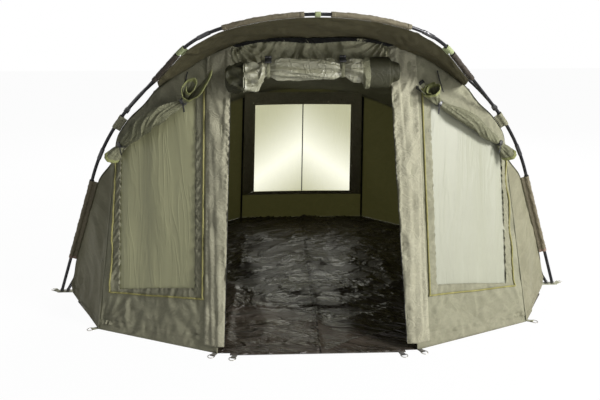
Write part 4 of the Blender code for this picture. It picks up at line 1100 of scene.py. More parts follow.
@dataclass(frozen=True)
class SheetFinish:
    """Coated, glossy groundsheet cloth.

    Args:
        name: the material's name.
        colour: its colour.
        scuff: colour of its scuffed places.
    """

    name: str
    colour: Colour
    scuff: Colour

    def build(self, groups: Groups) -> bpy.types.Material:
        """The finished material."""
        made, nodes, along, place = start_material(self.name, Coordinates.CUT)
        stretched = nodes.add("ShaderNodeMapping", {"Vector": along, "Scale": (0.75, 1.0, 1.0)}).outputs[0]
        fold = groups.place(nodes, Effect.CREASE, {"Vector": stretched, "Size": 0.20})
        small = groups.place(nodes, Effect.CREASE, {"Vector": stretched, "Size": 0.055})
        weave = groups.place(nodes, Effect.WEAVE, {"Vector": along, "Pitch": 0.004})
        scuff = nodes.span(nodes.noise(stretched, 9, 6, 0.7), 0.55, 0.78, 0.0, 0.3)
        drift = nodes.add("ShaderNodeTexNoise", {"Vector": stretched, "Scale": 5.0, "Detail": 3.0}).outputs["Color"]
        wander = nodes.blend(0.12, stretched, drift)
        wander = nodes.add("ShaderNodeMapping", {"Vector": wander, "Scale": (0.55, 1.0, 1.0)}).outputs[0]
        large = nodes.add("ShaderNodeTexVoronoi", {"Vector": wander, "Scale": 5.0}, feature="F1").outputs["Distance"]
        facet = nodes.add("ShaderNodeTexVoronoi", {"Vector": wander, "Scale": 15.0}, feature="F1").outputs["Distance"]
        middle = nodes.math(
            "ABSOLUTE",
            nodes.math("SUBTRACT", nodes.add("ShaderNodeSeparateXYZ", {"Vector": place}).outputs["X"], 0.006)
        )
        crumple = nodes.math(
            "ADD", nodes.math("MULTIPLY_ADD", facet, 0.30, large), nodes.span(middle, 0.0, 0.012, 0.0, 0.4)
        )
        colour = nodes.blend(scuff, solid_colour(self.colour), solid_colour(self.scuff))
        dull = nodes.span(nodes.noise(stretched, 4.5, 5, 0.65, 0.8), 0.47, 0.58)
        rough = nodes.math("MULTIPLY_ADD", dull, 0.36, 0.13, clamp=True)
        relief = nodes.bump(1.0, 0.030, crumple)
        relief = nodes.bump(1.0, 0.030, fold.outputs["Height"], relief)
        relief = nodes.bump(1.0, 0.006, small.outputs["Height"], relief)
        relief = nodes.bump(0.4, 0.0003, weave.outputs["Height"], relief)
        shader = nodes.add(
            "ShaderNodeBsdfPrincipled",
            {
                "Base Color": colour, "Roughness": rough, "Normal": relief, "Coat Weight": 0.12, "Coat Roughness": 0.14,
                "Specular IOR Level": 0.35
            },
        )
        nodes.add("ShaderNodeOutputMaterial", {"Surface": shader.outputs[0]})
        return made


@dataclass(frozen=True)
class HardFinish:
    """Anodised tube, moulded plastic or steel wire.

    Args:
        name: the material's name.
        colour: its colour.
        rubbed: colour where it is rubbed.
        roughness: how dull it is.
        metallic: 1 for bare metal, 0 for plastic.
        coat: strength of a clear skin.
        grain: depth of the moulded or brushed grain.
    """

    name: str
    colour: Colour
    rubbed: Colour
    roughness: float
    metallic: float = 0.0
    coat: float = 0.0
    grain: float = 0.0002

    def build(self, groups: Groups) -> bpy.types.Material:
        """The finished material."""
        made, nodes, _, place = start_material(self.name, Coordinates.TENT)
        wear = groups.place(nodes, Effect.WEAR, {"Vector": place, "Size": 0.05, "Amount": 0.5})
        marks = nodes.math("MAXIMUM", wear.outputs["Rub"], wear.outputs["Scratch"])
        colour = nodes.blend(marks, solid_colour(self.colour), solid_colour(self.rubbed))
        rough = nodes.math("MULTIPLY_ADD", wear.outputs["Rub"], 0.3, self.roughness, clamp=True)
        grain = nodes.noise(place, 900, 2)
        relief = nodes.bump(0.4, self.grain, grain)
        shader = nodes.add(
            "ShaderNodeBsdfPrincipled",
            {
                "Base Color": colour,
                "Roughness": rough,
                "Metallic": self.metallic,
                "Normal": relief,
                "Coat Weight": self.coat,
                "Coat Roughness": 0.12,
            },
        )
        nodes.add("ShaderNodeOutputMaterial", {"Surface": shader.outputs[0]})
        return made


@dataclass(frozen=True)
class WebbingFinish:
    """Ribbed woven tape.

    Args:
        name: the material's name.
        colour: its colour.
        shade: colour between its ribs.
        rib: distance between ribs.
    """

    name: str
    colour: Colour
    shade: Colour
    rib: float = 0.0016

    def build(self, groups: Groups) -> bpy.types.Material:
        """The finished material."""
        made, nodes, _, place = start_material(self.name, Coordinates.TENT)
        wave = nodes.add(
            "ShaderNodeTexWave", {"Vector": place, "Scale": 0.05 / self.rib, "Distortion": 0.4, "Detail": 1.0},
            wave_type="BANDS", bands_direction="DIAGONAL"
        )
        dye = groups.place(
            nodes,
            Effect.MOTTLE,
            {
                "Vector": place, "Size": 0.05, "Amount": 0.7, "Colour": solid_colour(self.colour),
                "Shade": solid_colour(self.shade)
            },
        )
        colour = nodes.blend(
            nodes.span(wave.outputs["Fac"], 0, 1, 0.0, 0.45), dye.outputs["Colour"], solid_colour(self.shade)
        )
        dusty = groups.place(nodes, Effect.DUST, {"Place": place, "Colour": colour, "Amount": 0.5, "Reach": 0.06})
        relief = nodes.bump(0.7, 0.0005, wave.outputs["Fac"])
        shader = nodes.add(
            "ShaderNodeBsdfPrincipled",
            {"Base Color": dusty.outputs["Colour"], "Roughness": 0.82, "Normal": relief, "Sheen Weight": 0.15},
        )
        nodes.add("ShaderNodeOutputMaterial", {"Surface": shader.outputs[0]})
        return made


class Finish(Enum):
    """Every finish on the tent."""

    CANOPY = ClothFinish("canopy_cloth", (0.150, 0.146, 0.086), (0.118, 0.113, 0.066), glow=0.10)
    WALL = ClothFinish("side_wall_cloth", (0.215, 0.205, 0.135), (0.165, 0.156, 0.100), glow=0.10)
    FRONT = ClothFinish("front_wall_cloth", (0.240, 0.234, 0.160), (0.182, 0.176, 0.116), glow=0.06)
    REAR = ClothFinish("rear_wall_cloth", (0.150, 0.146, 0.080), (0.115, 0.110, 0.060), glow=0.30)
    # Painted light: the header's colour is far paler than the front walls' cloth that it is cut from, to brighten it in
    # the hood's shadow.
    HEADER = ClothFinish("header_cloth", (0.400, 0.390, 0.262), (0.300, 0.290, 0.192), crease=0.004, crease_size=0.06)
    HOOD = ClothFinish("hood_cloth", (0.085, 0.076, 0.040), (0.060, 0.053, 0.028), glow=0.12, dust=0.0)
    JAMB = ClothFinish("jamb_cloth", (0.300, 0.288, 0.205), (0.245, 0.234, 0.163), crease=0.0030, crease_size=0.05)
    BAND = ClothFinish("gathered_band_cloth", (0.012, 0.012, 0.010), (0.007, 0.007, 0.006), roughness=0.6, dust=0.1)
    SLEEVE = ClothFinish(
        "sleeve_cloth", (0.160, 0.140, 0.090), (0.110, 0.092, 0.060), crease=0.003, crease_size=0.04, dust=0.1
    )
    SLEEVE_END = ClothFinish(
        "sleeve_end_cloth", (0.240, 0.170, 0.130), (0.170, 0.118, 0.090), crease=0.001, crease_size=0.03
    )
    DARK_SLEEVE = ClothFinish(
        "peak_sleeve_cloth", (0.050, 0.040, 0.030), (0.032, 0.026, 0.019), crease=0.003, crease_size=0.04, dust=0.0
    )
    SURROUND = ClothFinish(
        "rear_window_binding", (0.110, 0.102, 0.062), (0.075, 0.069, 0.042), crease=0.002, crease_size=0.04, dust=0.0
    )
    # Painted light: the binding's inner face is made far paler than its outer face, standing for daylight coming
    # through the wall.
    GATHERS = ClothFinish(
        "rear_window_gathers", (0.340, 0.316, 0.200), (0.250, 0.230, 0.146), crease=0.002, crease_size=0.04, dust=0.0
    )
    PIPING = ClothFinish(
        "piping_cloth", (0.250, 0.232, 0.085), (0.190, 0.175, 0.062), pitch=0.0008, crease=0.0004, dust=0.2,
        coordinates=Coordinates.TENT
    )
    EDGING = ClothFinish(
        "flap_edging", (0.205, 0.215, 0.085), (0.150, 0.158, 0.062), pitch=0.0008, crease=0.0004,
        coordinates=Coordinates.TENT
    )
    FLAP = ClothFinish(
        "rolled_flap_cloth", (0.185, 0.185, 0.115), (0.090, 0.088, 0.052), crease=0.006, crease_size=0.05,
        coordinates=Coordinates.TENT
    )
    ROLL = ClothFinish(
        "rolled_door_cloth", (0.290, 0.285, 0.195), (0.150, 0.145, 0.095), roughness=0.36, shine=0.7, crease=0.006,
        crease_size=0.05, coordinates=Coordinates.TENT
    )
    DARK_ROLL = ClothFinish(
        "rolled_door_lining", (0.036, 0.035, 0.018), (0.018, 0.018, 0.010), roughness=0.55, shine=0.15, crease=0.002,
        crease_size=0.06, coordinates=Coordinates.TENT
    )
    # Painted light and shade: both side windows have one film, given a paler colour on the left and a darker one on the
    # right, each with its own streaks, to match how the light falls on it.
    LEFT_FILM = FilmFinish("left_window_film", (0.345, 0.340, 0.195), (0.44, 0.435, 0.30), 0.93, 0.42, 0.13)
    RIGHT_FILM = FilmFinish("right_window_film", (0.285, 0.288, 0.215), (0.37, 0.38, 0.30), 0.93, 0.50, 0.24)
    # Painted glow: the rear film gives off cream light of strength 1, standing for the daylight behind it.
    REAR_FILM = FilmFinish(
        "rear_window_film", (0.50, 0.49, 0.34), (0.56, 0.55, 0.40), 0.72, 0.45, 0.2, (1.0, 1.0, 0.84), 1.0
    )
    GROUND = SheetFinish("groundsheet_cloth", (0.044, 0.035, 0.026), (0.085, 0.070, 0.055))
    POLE = HardFinish("pole_tube", (0.020, 0.020, 0.022), (0.16, 0.155, 0.15), 0.32, 0.85)
    FERRULE = HardFinish("pole_ferrule", (0.055, 0.055, 0.058), (0.30, 0.29, 0.28), 0.28, 0.9)
    PLASTIC = HardFinish("moulded_plastic", (0.014, 0.014, 0.014), (0.05, 0.05, 0.048), 0.42, coat=0.1)
    STEEL = HardFinish("ring_wire", (0.42, 0.40, 0.36), (0.60, 0.58, 0.54), 0.30, 1.0)
    BRASS = HardFinish("grommet_metal", (0.10, 0.095, 0.085), (0.30, 0.28, 0.24), 0.35, 0.9)
    TAPE = WebbingFinish("pale_webbing", (0.330, 0.335, 0.225), (0.230, 0.232, 0.150))
    GREEN_TAPE = WebbingFinish("green_webbing", (0.300, 0.340, 0.170), (0.215, 0.245, 0.115))
    BLACK_TAPE = WebbingFinish("black_webbing", (0.016, 0.016, 0.015), (0.008, 0.008, 0.008))
    THREAD = HardFinish("stitching_thread", (0.20, 0.19, 0.12), (0.28, 0.26, 0.18), 0.8)


class Wardrobe:
    """Builds each finish once and hands it out."""

    def __init__(self) -> None:
        """Starts with the shared groups and no material."""
        self.groups = Groups()
        self.made: dict[Finish, bpy.types.Material] = {}

    def get(self, finish: Finish) -> bpy.types.Material:
        """The finish's material."""
        if finish not in self.made:
            self.made[finish] = finish.value.build(self.groups)
        return self.made[finish]


@dataclass
class SubAssembly:
    """What every sub-assembly shares: finishes, and ways to put a piece on the tent."""

    wardrobe: Wardrobe

    def put(
        self,
        made: bpy.types.Mesh,
        finish: Finish,
        body: str | None,
        replaces: Sequence[str] = (),
        slot: str | None = None,
        thickness: float = 0.0,
    ) -> bpy.types.Object:
        """An object from a mesh, dressed, thickened if it is cloth, and riding on a body.

        Args:
            made: the mesh, named as the piece.
            finish: its finish.
            body: the body it rides on, or None for a piece that rides on none.
            replaces: CAD nodes it stands for.
            slot: not used.
            thickness: the cloth's thickness, or 0 for a solid piece.

        Returns:
            The object.
        """
        name = made.name
        obj = bpy.data.objects.new(name, made)
        bpy.context.scene.collection.objects.link(obj)
        made.materials.append(self.wardrobe.get(finish))
        if thickness:
            thick = obj.modifiers.new("thickness", "SOLIDIFY")
            thick.thickness = thickness
            thick.offset = 0
        if body:
            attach(obj, body)
        if replaces:
            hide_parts(*replaces)
        log.info("%s: %d faces, %s", name, len(made.polygons), finish.name.lower())
        return obj

    def shape(
        self,
        name: str,
        skin: Skin,
        finish: Finish,
        body: str | None,
        slot: str,
        side: Side = Side.LEFT,
        replaces: Sequence[str] = (),
    ) -> bpy.types.Object:
        """A piece from the points and faces of its skin.

        Args:
            name: the piece.
            skin: its points and faces.
            finish: its finish.
            body: the body it rides on, or None for a piece that rides on none.
            slot: passed on to put, which does not use it.
            side: the hand that it is made for.
            replaces: CAD nodes it stands for.

        Returns:
            The object.
        """
        return self.put(solid(name, *skin, side), finish, body, replaces, slot)

    def sheet(
        self,
        panel: Panel,
        name: str,
        side: Side,
        finish: Finish,
        body: str | None,
        held: str,
        rests_on: Sequence[str],
        replaces: Sequence[str] = (),
        slot: str | None = None,
        thickness: float = 0.0012,
        cut: tuple[float, float] | None = None,
    ) -> bpy.types.Object:
        """A sheet of cloth from a panel.

        Args:
            panel: the sheet's grid.
            name: the piece.
            side: the hand that it is made for.
            finish: its finish.
            body: the body it rides on, or None for a piece that rides on none.
            held: not used.
            rests_on: not used.
            replaces: CAD nodes it stands for.
            slot: passed on to put, which does not use it.
            thickness: the cloth's thickness.
            cut: not used.

        Returns:
            The object.
        """
        obj = self.put(panel.mesh(name, side), finish, body, replaces, slot, thickness)
        return obj

    def bend(self, obj: bpy.types.Object, low: str, high: str, weights: Array, span: tuple[Array, Array]) -> None:
        """Bakes a piece's place into its mesh.

        Args:
            obj: the piece.
            low: not used.
            high: not used.
            weights: not used.
            span: not used.
        """
        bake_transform(obj)


def angle_weights(obj: bpy.types.Object, axis: Array, start: float, end: float) -> Array:
    """Smooth shares that grow as the angle about a joint's axis goes from start to end, in degrees from upright."""
    places = np.array([v.co for v in obj.data.vertices], float).reshape(-1, 3)
    angle = np.degrees(np.arctan2(places[:, 1] - axis[1], places[:, 2] - axis[2]))
    return ease((angle - start) / (end - start))


FOOT_AXIS = vec(0, 0, FOOT_AXIS_Z)
CANOPY_SPAN = (42.0, -14.0)
REAR_SPAN = (90.0, 42.0)
HOOD_SPAN = (-14.0, -44.7)


# ---------------------------------------------------------------- roof and hood


def swept(columns: Sequence[Sequence[Array]]) -> Array:
    """A grid from columns of points."""
    return np.array([[np.asarray(p) for p in column] for column in columns])


@dataclass
class Canopy(SubAssembly):
    """The roof and side cloth between the two hoops, with its sewn seams.

    Args:
        step: distance between grid lines.
        sag_depth: how far the widest place hangs in.
        seam_half: half the width of the felled seams.
        seams: shares of the way round the hoops at which they lie.
    """

    step: float = 0.017
    sag_depth: float = 0.035
    seam_half: float = 0.007
    seams: tuple[float, ...] = (0.30, 0.5, 0.70)

    def column(self, ahead: float, stand: float = 0.0) -> list[Array]:
        """Points from the front lip to the rear lip beside one place on the front hoop."""
        behind = rear_match(ahead)
        near, far = front_seam(ahead), REAR.world(behind, SEAM_INSET)
        turn = MAIN.turn_at(ahead)
        inward = vec(math.sin(turn), 0, -math.cos(turn))
        depth = self.sag_depth * min(1.0, float(np.linalg.norm(far - near)) / 1.3117)
        count = 92
        line = [front_seam(ahead, 0, -LIP), front_seam(ahead, 0, -LIP / 2)]
        line += [mix(near, far, s) + inward * (depth * 4 * s * (1 - s)) for s in np.linspace(0, 1, count)]
        line += [REAR.world(behind, SEAM_INSET, LIP / 2), REAR.world(behind, SEAM_INSET, LIP)]
        return [p - inward * stand for p in line]

    def panel(self) -> Panel:
        """The roof cloth with its folds: taut runs between the hoops, and puckers beside the sleeves."""
        stops = spaced(SEAM_START, MAIN.length - SEAM_START, self.step)
        panel = Panel(swept([self.column(stop) for stop in stops]))
        width, length = panel.size
        folds: list[Fold] = [
            Undulation(0.0070, 0.70, 3, (1.0, 1.8)),
            Undulation(0.0020, 0.17, 4, (1.0, 2.4)),
            Creases(56, 88, 16, 0.60, 0.022, 0.0070, 5),
            Creases(70, 60, 60, 0.24, 0.014, 0.0038, 6),
            Ruffle((0, 0.012), (width, 0.012), 0.10, 0.046, 0.0016, 7, 0.4),
        ]
        for i, share in enumerate((0.19, 0.29, 0.71, 0.81)):
            folds.append(Fan((width * share, 0.0), 90, 55, 7, 0.42, 0.0060, 8 + i))
        panel.fold(folds, (0.05, 0.05, 0.05, 0.04))
        return panel

    def make(self) -> None:
        """Builds the roof cloth and lays its seams over it."""
        panel = self.panel()
        cloth = self.sheet(
            panel, "canopy_cloth", Side.LEFT, Finish.CANOPY, None, "stretched", ["main_tube_crown", "rear_tube_crown"],
            ["canopy"], "olive_cloth"
        )
        self.bend(
            cloth, Body.REAR.value, Body.FRONT.value, angle_weights(cloth, FOOT_AXIS, *CANOPY_SPAN),
            (REAR.world(1.0), MAIN.world(1.0))
        )
        grid = panel.points
        normal = panel.normals()
        rows = slice(2, grid.shape[1] - 2)
        for i, share in enumerate(self.seams):
            k = share * (grid.shape[0] - 1)
            low = int(k)
            line = mix(grid[low, rows], grid[low + 1, rows], k - low)
            out = unit(mix(normal[low, rows], normal[low + 1, rows], k - low))
            skin = ribbon(line, out, self.seam_half, 0.0016, 0.0016)
            strip = self.shape(f"canopy_seam_{i + 1}", skin, Finish.CANOPY, None, "olive_cloth")
            give_cut(strip)
            self.bend(
                strip, Body.REAR.value, Body.FRONT.value, angle_weights(strip, FOOT_AXIS, *CANOPY_SPAN),
                (REAR.world(1.0), MAIN.world(1.0))
            )


def ribbon(line: Array, out: Array, half: float, thick: float, stand: float, across: Array | None = None) -> Skin:
    """Points and faces of a flat band with rounded edges that lies along a line.

    Args:
        line: the points it follows.
        out: the direction off the surface at each of them.
        half: half its width.
        thick: its thickness.
        stand: how far its middle stands off the line.
        across: the direction of its width, or None to work it out.

    Returns:
        Points and faces.
    """
    tangents = unit(np.gradient(line, axis=0))
    side = unit(np.cross(out, tangents)) if across is None else np.broadcast_to(unit(across), line.shape)
    section = ((-1, 0), (-0.86, 0.5), (0, 0.62), (0.86, 0.5), (1, 0), (0.86, -0.5), (0, -0.5), (-0.86, -0.5))
    rings = np.stack([line + side * (half * a) + out * (stand + thick * b) for a, b in section], axis=1)
    return lofted(rings)


def give_cut(obj: bpy.types.Object) -> None:
    """Gives a solid strip the cut lengths that the cloth finishes read, from its place in the tent."""
    made = obj.data
    places = np.array([v.co for v in made.vertices], float).reshape(-1, 3)
    layer = made.uv_layers.new(name="cut")
    corners = np.array([loop.vertex_index for loop in made.loops])
    cut = np.stack(
        [places[corners, 0] + 0.3 * places[corners, 1], places[corners, 2] + 0.7 * places[corners, 1]], axis=1
    )
    layer.data.foreach_set("uv", cut.astype(np.float32).reshape(-1))


@dataclass
class Hood(SubAssembly):
    """The peak's cloth, from the canopy's front lip up and out to the peak hoop.

    Args:
        step: distance between grid lines.
        sag_depth: how far it hangs midway.
    """

    step: float = 0.012
    sag_depth: float = 0.012

    def make(self) -> None:
        """Builds the hood's cloth with folds that run from the sleeves' ends."""
        start = MAIN.at_height(1.32)
        edge_start = PEAK.at_x(0.80)
        columns = []
        rows = 36
        for along in spaced(start, MAIN.length - start, self.step):
            share = (along - start) / (MAIN.length - 2 * start)
            out = mix(edge_start, PEAK.length - edge_start, share)
            near, far = front_seam(along, 0, -LIP - SEAM), PEAK.world(out, peak_inset(out))
            columns.append(
                [mix(near, far, s) + vec(0, 0, -self.sag_depth * 4 * s * (1 - s)) for s in np.linspace(0, 1, rows)]
            )
        panel = Panel(swept(columns), centre=(0, 0.2, -2.0))
        width, length = panel.size
        folds: list[Fold] = [
            Undulation(0.0050, 0.26, 21, (1.4, 1.0)),
            Undulation(0.0016, 0.09, 22),
            Creases(40, 90, 22, 0.22, 0.012, 0.0050, 23),
            Creases(30, 20, 30, 0.18, 0.010, 0.0036, 24),
            Ruffle((0.1, 0), (width - 0.1, 0), 0.09, 0.030, 0.0018, 25, 0.3),
            Ruffle((0, length), (width, length), 0.07, 0.034, 0.0014, 26, -0.3),
        ]
        for i, share in enumerate((0.10, 0.33, 0.67, 0.90)):
            folds.append(Fan((width * share, length), -90, 60, 6, 0.20, 0.0040, 27 + i))
        panel.fold(folds, (0.03, 0.03, 0.02, 0.02))
        cloth = self.sheet(
            panel, "hood_cloth", Side.LEFT, Finish.HOOD, None, "stretched", ["peak_tube_crown", "canopy_cloth"],
            ["peak_panel"], "peak_cloth"
        )
        self.bend(
            cloth, Body.FRONT.value, Body.PEAK.value, angle_weights(cloth, PEAK_AXIS, *HOOD_SPAN),
            (PIVOT, PEAK.world(PEAK.length / 2))
        )


# ---------------------------------------------------------------- front walls and windows

PANE_RISE = (0.205, 0.872)
PANE_LEFT = (0.173, 0.110)
PANE_RIGHT = (0.814, 0.803)
PIPING_LEFT = ((0.195, 0.092), (0.53, 0.070), (0.87, 0.050))
PIPING_RIGHT = ((0.172, 0.876), (0.50, 0.872), (0.89, 0.866))
PIPING_LOW = ((0.095, 0.192), (0.45, 0.176), (0.884, 0.170))


def pane_edges(rise: float) -> tuple[float, float]:
    """Shares of the window wall's width at which its opening starts and ends."""
    share = (rise - PANE_RISE[0]) / (PANE_RISE[1] - PANE_RISE[0])
    return mix(*PANE_LEFT, share), mix(*PANE_RIGHT, share)


def read(points: Sequence[tuple[float, float]], at: float | Array) -> float | Array:
    """A value read from a short list of places and values."""
    return np.interp(at, [p[0] for p in points], [p[1] for p in points])


@dataclass
class FrontWalls(SubAssembly):
    """Side walls, and window walls with their films, puckered bands, piping and hems.

    Args:
        step: distance between grid lines.
        lap: how far the film reaches behind the cloth.
        film_stand: how far the film lies behind the wall.
        piping_radius: the cord in the piping.
        seeds: the first seed of each hand's folds.
    """

    step: float = 0.012
    lap: float = 0.014
    film_stand: float = -0.0029
    piping_radius: float = 0.0046
    seeds: dict[Side, int] = field(default_factory=lambda: {Side.LEFT: 100, Side.RIGHT: 200})

    def side_panel(self, side: Side) -> Panel:
        """The wall from the pole foot to the front side corner."""
        foot, corner = hem(*FOOT_HEM), hem(*SIDE_CORNER)
        corner = corner + unit(foot - corner) * CORNER_SEAM
        end = SIDE_SEAM - CORNER_SEAM
        rises = np.linspace(0, 1, 84)
        columns = []
        for stop in spaced(SEAM_START, end, self.step):
            low, high = mix(foot, corner, (stop - SEAM_START) / (end - SEAM_START)), front_top(stop)
            columns.append([mix(low, high, rise) for rise in rises])
        panel = Panel(swept(columns))
        seed = self.seeds[side]
        width, height = panel.size
        folds: list[Fold] = [
            Undulation(0.0060, 0.36, seed, (1.0, 1.8)),
            Undulation(0.0016, 0.10, seed + 1, (1.0, 1.8)),
            Creases(34, 70, 18, 0.40, 0.016, 0.0060, seed + 2),
            Creases(34, 100, 60, 0.16, 0.009, 0.0030, seed + 3),
            Fan((width * 0.96, 0.01), 118, 38, 6, 0.40, 0.0090, seed + 4),
            Fan((width * 0.02, 0.01), 60, 40, 5, 0.30, 0.0070, seed + 5),
            Ruffle((0, 0.0), (width, 0.0), 0.05, 0.032, 0.0012, seed + 6),
        ]
        return panel.fold(folds, (0.035, 0.035, 0.02, 0.03), floor=0.0012)

    def window_panel(self, side: Side) -> Panel:
        """The wall with the window, as a grid whose lines keep to the opening's edges."""
        low, high = PANE_RISE
        rises = [*np.linspace(0, low, 17)[:-1], *np.linspace(low, high, 74)[:-1], *np.linspace(high, 1, 13)]
        zones = [("left", s) for s in np.linspace(0, 1, 13)[:-1]] + [("pane", s) for s in np.linspace(0, 1, 50)[:-1]]
        zones += [("right", s) for s in np.linspace(0, 1, 16)]

        def share(zone: str, s: float, rise: float) -> float:
            """Share of the wall's width of one grid line at a height."""
            left, right = pane_edges(rise)
            return float(mix(*{"left": (0.0, left), "pane": (left, right), "right": (right, 1.0)}[zone], s))

        shares = np.array([[share(zone, s, rise) for rise in rises] for zone, s in zones])
        points = np.array([[window_point(a, rise) for a, rise in zip(line, rises)] for line in shares])
        opened = np.zeros((len(zones) - 1, len(rises) - 1), bool)
        opened[slice(*WINDOW_COLUMNS), slice(*WINDOW_ROWS)] = True
        panel = Panel(points, opened)
        seed = self.seeds[side] + 20
        width, height = panel.size
        rise_grid = np.broadcast_to(np.array(rises), shares.shape)
        left, right = (panel.s[line].mean() for line in WINDOW_COLUMNS)
        bottom, top = (panel.t[:, line].mean() for line in WINDOW_ROWS)
        inside = ease(shares, read(PIPING_LEFT, rise_grid), read(PIPING_LEFT, rise_grid) + 0.02)
        inside *= 1 - ease(shares, read(PIPING_RIGHT, rise_grid) - 0.02, read(PIPING_RIGHT, rise_grid))
        inside *= ease(rise_grid, read(PIPING_LOW, shares), read(PIPING_LOW, shares) + 0.012)
        inside *= 1 - ease(rise_grid, 0.90, 0.93)
        puckers = [
            Ruffle((left, bottom), (left, top), 0.080, 0.040, 0.0050, seed, 1.6),
            Ruffle((right, bottom), (right, top), 0.090, 0.040, 0.0052, seed + 1, -1.3),
            Ruffle((left, bottom), (right, bottom), 0.060, 0.028, 0.0040, seed + 2, 0.5),
            Creases(44, 62, 30, 0.10, 0.006, 0.0036, seed + 3),
        ]
        panel.fold(puckers, (0.01, 0.01, 0.01, 0.02), mask=inside * (1 - ease(shares, 0.865, 0.885)))
        panel.normal = panel.normals()
        pulled = []
        for height_on_pole in (1.06, 1.125, 1.30):
            at = (MAIN.at_height(height_on_pole) - WINDOW_SEAM[0]) / (WINDOW_SEAM[1] - WINDOW_SEAM[0])
            pulled.append(int(np.argmin(np.abs(shares[:, -1] - at))))
        outer: list[Fold] = [
            Undulation(0.0050, 0.32, seed + 4),
            Undulation(0.0016, 0.09, seed + 5),
            Creases(40, 78, 30, 0.20, 0.011, 0.0052, seed + 6, (0, 0, width, bottom)),
            Creases(24, 10, 25, 0.20, 0.010, 0.0040, seed + 7, (0, 0, width, bottom)),
            Fan((width * 0.02, 0.01), 55, 45, 6, 0.28, 0.0080, seed + 8),
            Fan((width * 0.90, 0.01), 125, 45, 6, 0.28, 0.0080, seed + 9),
            Creases(34, 70, 25, 0.18, 0.010, 0.0050, seed + 10, (0, top, width, height)),
        ]
        for n, aim in zip(pulled, (-55, -60, -80)):
            outer.append(Fan((float(panel.s[n, -1]), float(panel.t[n, -1])), aim, 52, 8, 0.26, 0.0085, seed + 11 + n))
        under_jamb = 1 - ease(shares, 0.845, 0.885)
        panel.fold(outer, (0.025, 0.025, 0.012, 0.012), mask=(1 - 0.8 * inside) * under_jamb, floor=0.0012)
        self.shares, self.rises = shares, np.array(rises)
        return panel

    def on_wall(self, panel: Panel, outward: Array, along: float, rise: float, stand: float) -> Array:
        """A point that stands off the folded wall, along the outward directions of its grid."""
        j = float(np.interp(rise, self.rises, np.arange(len(self.rises))))
        j0 = min(int(j), len(self.rises) - 2)
        line = mix(self.shares[:, j0], self.shares[:, j0 + 1], j - j0)
        i = float(np.interp(along, line, np.arange(len(line))))
        i0 = min(int(i), len(line) - 2)
        a, b = i - i0, j - j0

        def at(grid: Array) -> Array:
            """The grid's value between its lines."""
            return mix(mix(grid[i0, j0], grid[i0 + 1, j0], a), mix(grid[i0, j0 + 1], grid[i0 + 1, j0 + 1], a), b)

        return at(panel.points) + unit(at(outward)) * stand

    def piping(self, panel: Panel, side: Side) -> None:
        """Corded piping up both sides of the window and along its foot, with its sewn flange."""
        runs = {
            "outer": [(float(read(PIPING_LEFT, r)), r) for r in np.linspace(0.192, 0.885, 90)],
            "inner": [(float(read(PIPING_RIGHT, r)), r) for r in np.linspace(0.170, 0.885, 90)],
            "low": [(a, float(read(PIPING_LOW, a))) for a in np.linspace(0.092, 0.885, 96)],
        }
        outward, stand = panel.normals(), self.piping_radius * 0.9 + 0.0006
        for word, places in runs.items():
            path = np.array([self.on_wall(panel, outward, a, r, stand) for a, r in places])
            skin = tube(path, self.piping_radius, 10)
            self.shape(f"window_piping_{word}_{side.word}", skin, Finish.PIPING, Body.FRONT.value, "front_cloth", side)

    def film(self, side: Side) -> None:
        """The window's film, sewn behind the opening."""
        low, high = PANE_RISE
        lap_rise = self.lap / 0.86 * (high - low)
        lap_along = self.lap / 0.47 * (PANE_RIGHT[0] - PANE_LEFT[0])
        columns = []
        rises = np.linspace(low - lap_rise, high + lap_rise, 70)
        for across in np.linspace(0, 1, 46):
            line = []
            for rise in rises:
                start, end = pane_edges(rise)
                line.append(
                    window_point(float(mix(start - lap_along, end + lap_along, across)), float(rise), self.film_stand)
                )
            columns.append(line)
        panel = Panel(swept(columns))
        seed = self.seeds[side] + 60
        folds: list[Fold] = [
            Undulation(0.0012, 0.30, seed, (0.8, 2.4)),
            Creases(12, 90, 5, 0.6, 0.014, 0.0010, seed + 1),
        ]
        panel.fold(folds, (0.03, 0.03, 0.03, 0.03))
        panel.points -= panel.normal * 0.0026
        finish = Finish.LEFT_FILM if side is Side.LEFT else Finish.RIGHT_FILM
        self.sheet(
            panel, f"window_pane_{side.word}", side, finish, Body.FRONT.value, "hung", [f"window_cloth_{side.word}"],
            [f"window_film_{side.word}"], "window_film", 0.0006
        )

    def make(self) -> None:
        """Builds both hands of every front wall."""
        for side in Side:
            panel = self.side_panel(side)
            self.sheet(
                panel, f"side_cloth_{side.word}", side, Finish.WALL, Body.FRONT.value, "hung", ["canopy_cloth"],
                [f"side_wall_{side.word}"], "olive_cloth"
            )
            self.hem_tape(panel, f"side_hem_{side.word}", side, Finish.WALL)
            panel = self.window_panel(side)
            self.sheet(
                panel, f"window_cloth_{side.word}", side, Finish.FRONT, Body.FRONT.value, "hung", ["canopy_cloth"],
                [f"window_wall_{side.word}"], "front_cloth"
            )
            self.hem_tape(panel, f"window_hem_{side.word}", side, Finish.FRONT)
            self.piping(panel, side)
            self.film(side)
            corner = np.array([window_point(0, r) for r in np.linspace(0.004, 0.996, 90)])
            out = np.broadcast_to(unit(vec(-0.86, -0.42, 0.25)), corner.shape)
            skin = ribbon(corner, out, 0.006, 0.0020, 0.0018)
            seam = self.shape(f"corner_seam_{side.word}", skin, Finish.FRONT, Body.FRONT.value, "front_cloth", side)
            give_cut(seam)

    def hem_tape(self, panel: Panel, name: str, side: Side, finish: Finish) -> None:
        """A turned-up hem sewn along a wall's lowest edge."""
        rows = 3
        tall = np.linalg.norm(panel.points[:, -1] - panel.points[:, 0], axis=1) > 0.45
        line = panel.points[tall, rows]
        out = panel.normals()[tall, rows]
        up = unit(panel.points[tall, rows + 2] - line)
        centre = line + up * 0.004
        skin = ribbon(centre, out, 0.011, 0.0014, 0.0014)
        obj = self.shape(name, skin, finish, Body.FRONT.value, "front_cloth", side)
        give_cut(obj)


